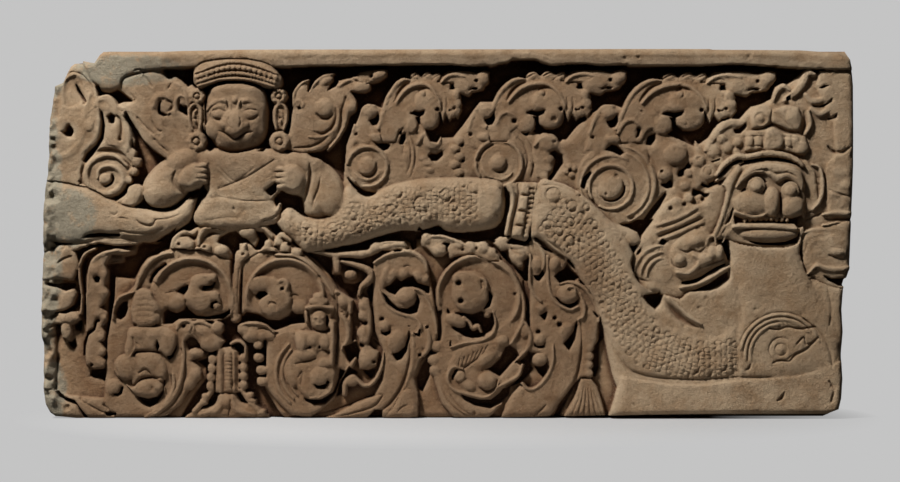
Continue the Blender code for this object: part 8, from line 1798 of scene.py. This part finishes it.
def mark_surface(stone, r):
    """Values that the material reads at each vertex: how far it lies below or above its surroundings, for
    painted shade in hollows and a painted highlight on crests, how high, where growth is, and which zones
    get painted shade.
    """
    count = len(stone.data.vertices)
    places = np.empty(count * 3)
    stone.data.vertices.foreach_get("co", places)
    places = places.reshape(-1, 3)
    x = (places[:, 0] + LENGTH / 2) * DESIGN_LENGTH / LENGTH
    z = places[:, 2] * DESIGN_HEIGHT / HEIGHT
    near = blur(r.h, 6 / r.step)
    far = blur(near, 16 / r.step)
    # painted shade: the lower band and, less, the upper foliage get darker colour, standing in for the
    # weaker light there
    painted_shade_zones = np.maximum(soft_box(x, z, 20, 860, -40, 262, 40), 0.75 * soft_box(x, z, 130, 1010, 340, 560, 40))
    marks = {
        "height": read_raster(r, r.h, x, z) / HIGHEST,
        # below its near surroundings (plus) or above them (minus): the material paints shade in the hollows
        # and a highlight on the crests from it
        "hollow": read_raster(r, np.clip((near - r.h) / 10, -1, 1), x, z),
        # below its broad surroundings: the material paints shade in broad recesses from it
        "sunk": read_raster(r, np.clip((far - r.h) / 30, -1, 1), x, z),
        "lichen": region(x, z, LICHEN),
        "painted_shade_zones": painted_shade_zones,
    }
    on_face = places[:, 1] < -THICKNESS / 2 + 0.075
    for name, values in marks.items():
        layer = stone.data.attributes.new(name, "FLOAT", "POINT")
        layer.data.foreach_set("value", np.where(on_face, values, 0.4 if name == "height" else 0.0))


class Nodes:
    """Short hands for a material's nodes."""

    def __init__(self, material):
        material.use_nodes = True
        self.tree = material.node_tree
        self.shader = self.tree.nodes["Principled BSDF"]
        self.place = self.tree.nodes.new("ShaderNodeTexCoord").outputs["Object"]

    def put(self, value, socket):
        if isinstance(value, bpy.types.NodeSocket):
            self.tree.links.new(value, socket)
        else:
            socket.default_value = value

    def noise(self, scale, detail=4.0, roughness=0.6, distortion=0.0):
        made = self.tree.nodes.new("ShaderNodeTexNoise")
        made.inputs["Scale"].default_value = scale
        made.inputs["Detail"].default_value = detail
        made.inputs["Roughness"].default_value = roughness
        made.inputs["Distortion"].default_value = distortion
        self.tree.links.new(self.place, made.inputs["Vector"])
        return made.outputs["Fac"]

    def mark(self, name):
        made = self.tree.nodes.new("ShaderNodeAttribute")
        made.attribute_name = name
        return made.outputs["Fac"]

    def span(self, value, low, high, out_low=0.0, out_high=1.0):
        made = self.tree.nodes.new("ShaderNodeMapRange")
        self.put(value, made.inputs["Value"])
        made.inputs["From Min"].default_value = low
        made.inputs["From Max"].default_value = high
        made.inputs["To Min"].default_value = out_low
        made.inputs["To Max"].default_value = out_high
        return made.outputs["Result"]

    def sum(self, a, b, operation="ADD"):
        made = self.tree.nodes.new("ShaderNodeMath")
        made.operation = operation
        self.put(a, made.inputs[0])
        self.put(b, made.inputs[1])
        return made.outputs["Value"]

    def mix(self, share, a, b, blend="MIX"):
        made = self.tree.nodes.new("ShaderNodeMix")
        made.data_type = "RGBA"
        made.blend_type = blend
        self.put(share, made.inputs["Factor"])
        self.put(a, made.inputs[6])
        self.put(b, made.inputs[7])
        return made.outputs[2]

    def bump(self, height, strength, distance, normal=None):
        made = self.tree.nodes.new("ShaderNodeBump")
        made.inputs["Strength"].default_value = strength
        made.inputs["Distance"].default_value = distance
        self.put(height, made.inputs["Height"])
        if normal is not None:
            self.put(normal, made.inputs["Normal"])
        return made.outputs["Normal"]


def colour(red, green, blue):
    """A colour as a screen shows it, 0 to 255, as the light values that shaders use."""
    def light(value):
        value /= 255
        return value / 12.92 if value <= 0.04045 else ((value + 0.055) / 1.055) ** 2.4
    return (light(red), light(green), light(blue), 1.0)


def sandstone():
    material = bpy.data.materials.new("weathered_sandstone")
    n = Nodes(material)
    stone = n.mix(n.span(n.noise(7, 5), 0.38, 0.62), colour(146, 123, 96), colour(156, 134, 107))
    stone = n.mix(n.span(n.noise(30, 5, 0.7), 0.42, 0.66), stone, colour(134, 108, 80))
    stone = n.mix(n.span(n.mark("height"), 0.1, 0.7, 0.75, 0.0), stone, colour(140, 103, 68))
    # painted shade: hollows that lie below their near surroundings are darkened to dark brown
    stone = n.mix(n.span(n.mark("hollow"), 0.05, 0.6), stone, colour(82, 56, 36))
    # painted shade: broad recesses are darkened further
    stone = n.mix(n.span(n.mark("sunk"), 0.15, 0.8, 0.0, 0.6), stone, colour(96, 66, 42))
    # painted highlight: crests that stand above their near surroundings are lightened
    stone = n.mix(n.span(n.mark("hollow"), -0.05, -0.35, 0.0, 0.35), stone, colour(170, 150, 124))
    growth = n.sum(n.mark("lichen"), n.span(n.noise(60, 6, 0.7), 0.3, 0.7, 0.2, 1.2), "MULTIPLY")
    stone = n.mix(n.span(growth, 0.3, 0.6, 0.0, 0.9), stone, colour(132, 124, 106))
    stone = n.mix(n.span(n.noise(260, 4, 0.8), 0.55, 0.70, 0.0, 0.5), stone, colour(84, 64, 46))
    stone = n.mix(n.span(n.noise(330, 4, 0.8), 0.56, 0.72, 0.0, 0.45), stone, colour(186, 164, 134))
    # painted shade: the marked zones, the lower band and less the upper foliage, are darkened by
    # multiplying
    stone = n.mix(n.mark("painted_shade_zones"), stone, (0.62, 0.55, 0.50, 1), "MULTIPLY")
    n.put(stone, n.shader.inputs["Base Color"])
    n.shader.inputs["Roughness"].default_value = 0.93
    n.shader.inputs["Specular IOR Level"].default_value = 0.25
    grain = n.bump(n.noise(45, 5, 0.6), 0.7, 0.0040)
    coarse = n.bump(n.noise(170, 7, 0.8), 1.0, 0.0036, grain)
    fine = n.bump(n.noise(700, 3, 0.6), 0.6, 0.0005, coarse)
    n.put(fine, n.shader.inputs["Normal"])
    return material


def plain(name, value):
    material = bpy.data.materials.new(name)
    n = Nodes(material)
    n.shader.inputs["Base Color"].default_value = (value, value, value, 1)
    n.shader.inputs["Roughness"].default_value = 0.8
    return material


def add(name, data):
    made = bpy.data.objects.new(name, data)
    bpy.context.scene.collection.objects.link(made)
    return made


def floor_material():
    """Pale and plain round the block; further out it goes over into the colour of the background."""
    material = plain("pale_floor", 0.36)
    n = Nodes(material)
    far = n.tree.nodes.new("ShaderNodeVectorMath")
    far.operation = "LENGTH"
    n.tree.links.new(n.place, far.inputs[0])
    glow = n.tree.nodes.new("ShaderNodeEmission")
    glow.inputs["Color"].default_value = (BACKGROUND, BACKGROUND, BACKGROUND, 1)
    seen = n.tree.nodes.new("ShaderNodeLightPath")
    n.tree.links.new(seen.outputs["Is Camera Ray"], glow.inputs["Strength"])
    fade = n.tree.nodes.new("ShaderNodeMixShader")
    n.tree.links.new(n.span(far.outputs["Value"], 0.40, 0.66), fade.inputs[0])
    n.tree.links.new(n.shader.outputs[0], fade.inputs[1])
    n.tree.links.new(glow.outputs[0], fade.inputs[2])
    n.tree.links.new(fade.outputs[0], n.tree.nodes["Material Output"].inputs["Surface"])
    return material


def make_floor():
    data = bpy.data.meshes.new("floor")
    reach = 14.0
    data.from_pydata([(-reach, -reach, -0.0005), (reach, -reach, -0.0005), (reach, reach, -0.0005),
                      (-reach, reach, -0.0005)], [], [(0, 1, 2, 3)])
    floor = add("floor", data)
    data.materials.append(floor_material())


def make_light(name, place, target, size, power):
    data = bpy.data.lights.new(name, "AREA")
    data.shape = "DISK"
    data.size = size
    data.energy = power
    light = add(name, data)
    light.location = place
    light.rotation_euler = (Vector(target) - Vector(place)).to_track_quat("-Z", "Y").to_euler()
    return light


def light_scene():
    make_light("key", KEY_PLACE, KEY_TARGET, KEY_SIZE, KEY_POWER)
    bpy.context.scene.view_settings.view_transform = "Standard"
    world = bpy.data.worlds.new("studio")
    bpy.context.scene.world = world
    world.use_nodes = True
    tree = world.node_tree
    background = tree.nodes["Background"]
    background.inputs["Color"].default_value = (1, 1, 1, 1)
    seen = tree.nodes.new("ShaderNodeLightPath")
    level = tree.nodes.new("ShaderNodeMapRange")
    level.inputs["To Min"].default_value = FILL
    level.inputs["To Max"].default_value = BACKGROUND
    tree.links.new(seen.outputs["Is Camera Ray"], level.inputs["Value"])
    tree.links.new(level.outputs["Result"], background.inputs["Strength"])


def make_camera():
    data = bpy.data.cameras.new("camera")
    camera = add("camera", data)
    camera.location = (AIM[0], AIM[1] - CAMERA_DISTANCE, AIM[2])
    camera.rotation_euler = (math.radians(90), 0, 0)
    data.sensor_width = 36
    data.lens = 36 * CAMERA_DISTANCE / FRAME_WIDTH
    bpy.context.scene.camera = camera


def make_stone():
    r = carve(RASTER_STEP)
    wear(r)
    stone = add("carved_block", block_mesh(r))
    thin(stone)
    stone.data.shade_smooth()
    stone.data.set_sharp_from_angle(angle=CREASE)
    mark_surface(stone, r)
    stone.data.materials.clear()
    stone.data.materials.append(sandstone())
    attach(stone, "root")
    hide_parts("lintel")


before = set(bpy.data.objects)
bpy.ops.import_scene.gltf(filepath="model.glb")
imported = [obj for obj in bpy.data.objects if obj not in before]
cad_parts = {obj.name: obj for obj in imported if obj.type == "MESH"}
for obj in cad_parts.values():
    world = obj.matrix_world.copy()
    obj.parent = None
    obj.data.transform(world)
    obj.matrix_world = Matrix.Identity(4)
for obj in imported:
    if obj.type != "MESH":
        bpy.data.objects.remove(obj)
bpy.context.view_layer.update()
make_camera()
light_scene()
make_floor()
make_stone()
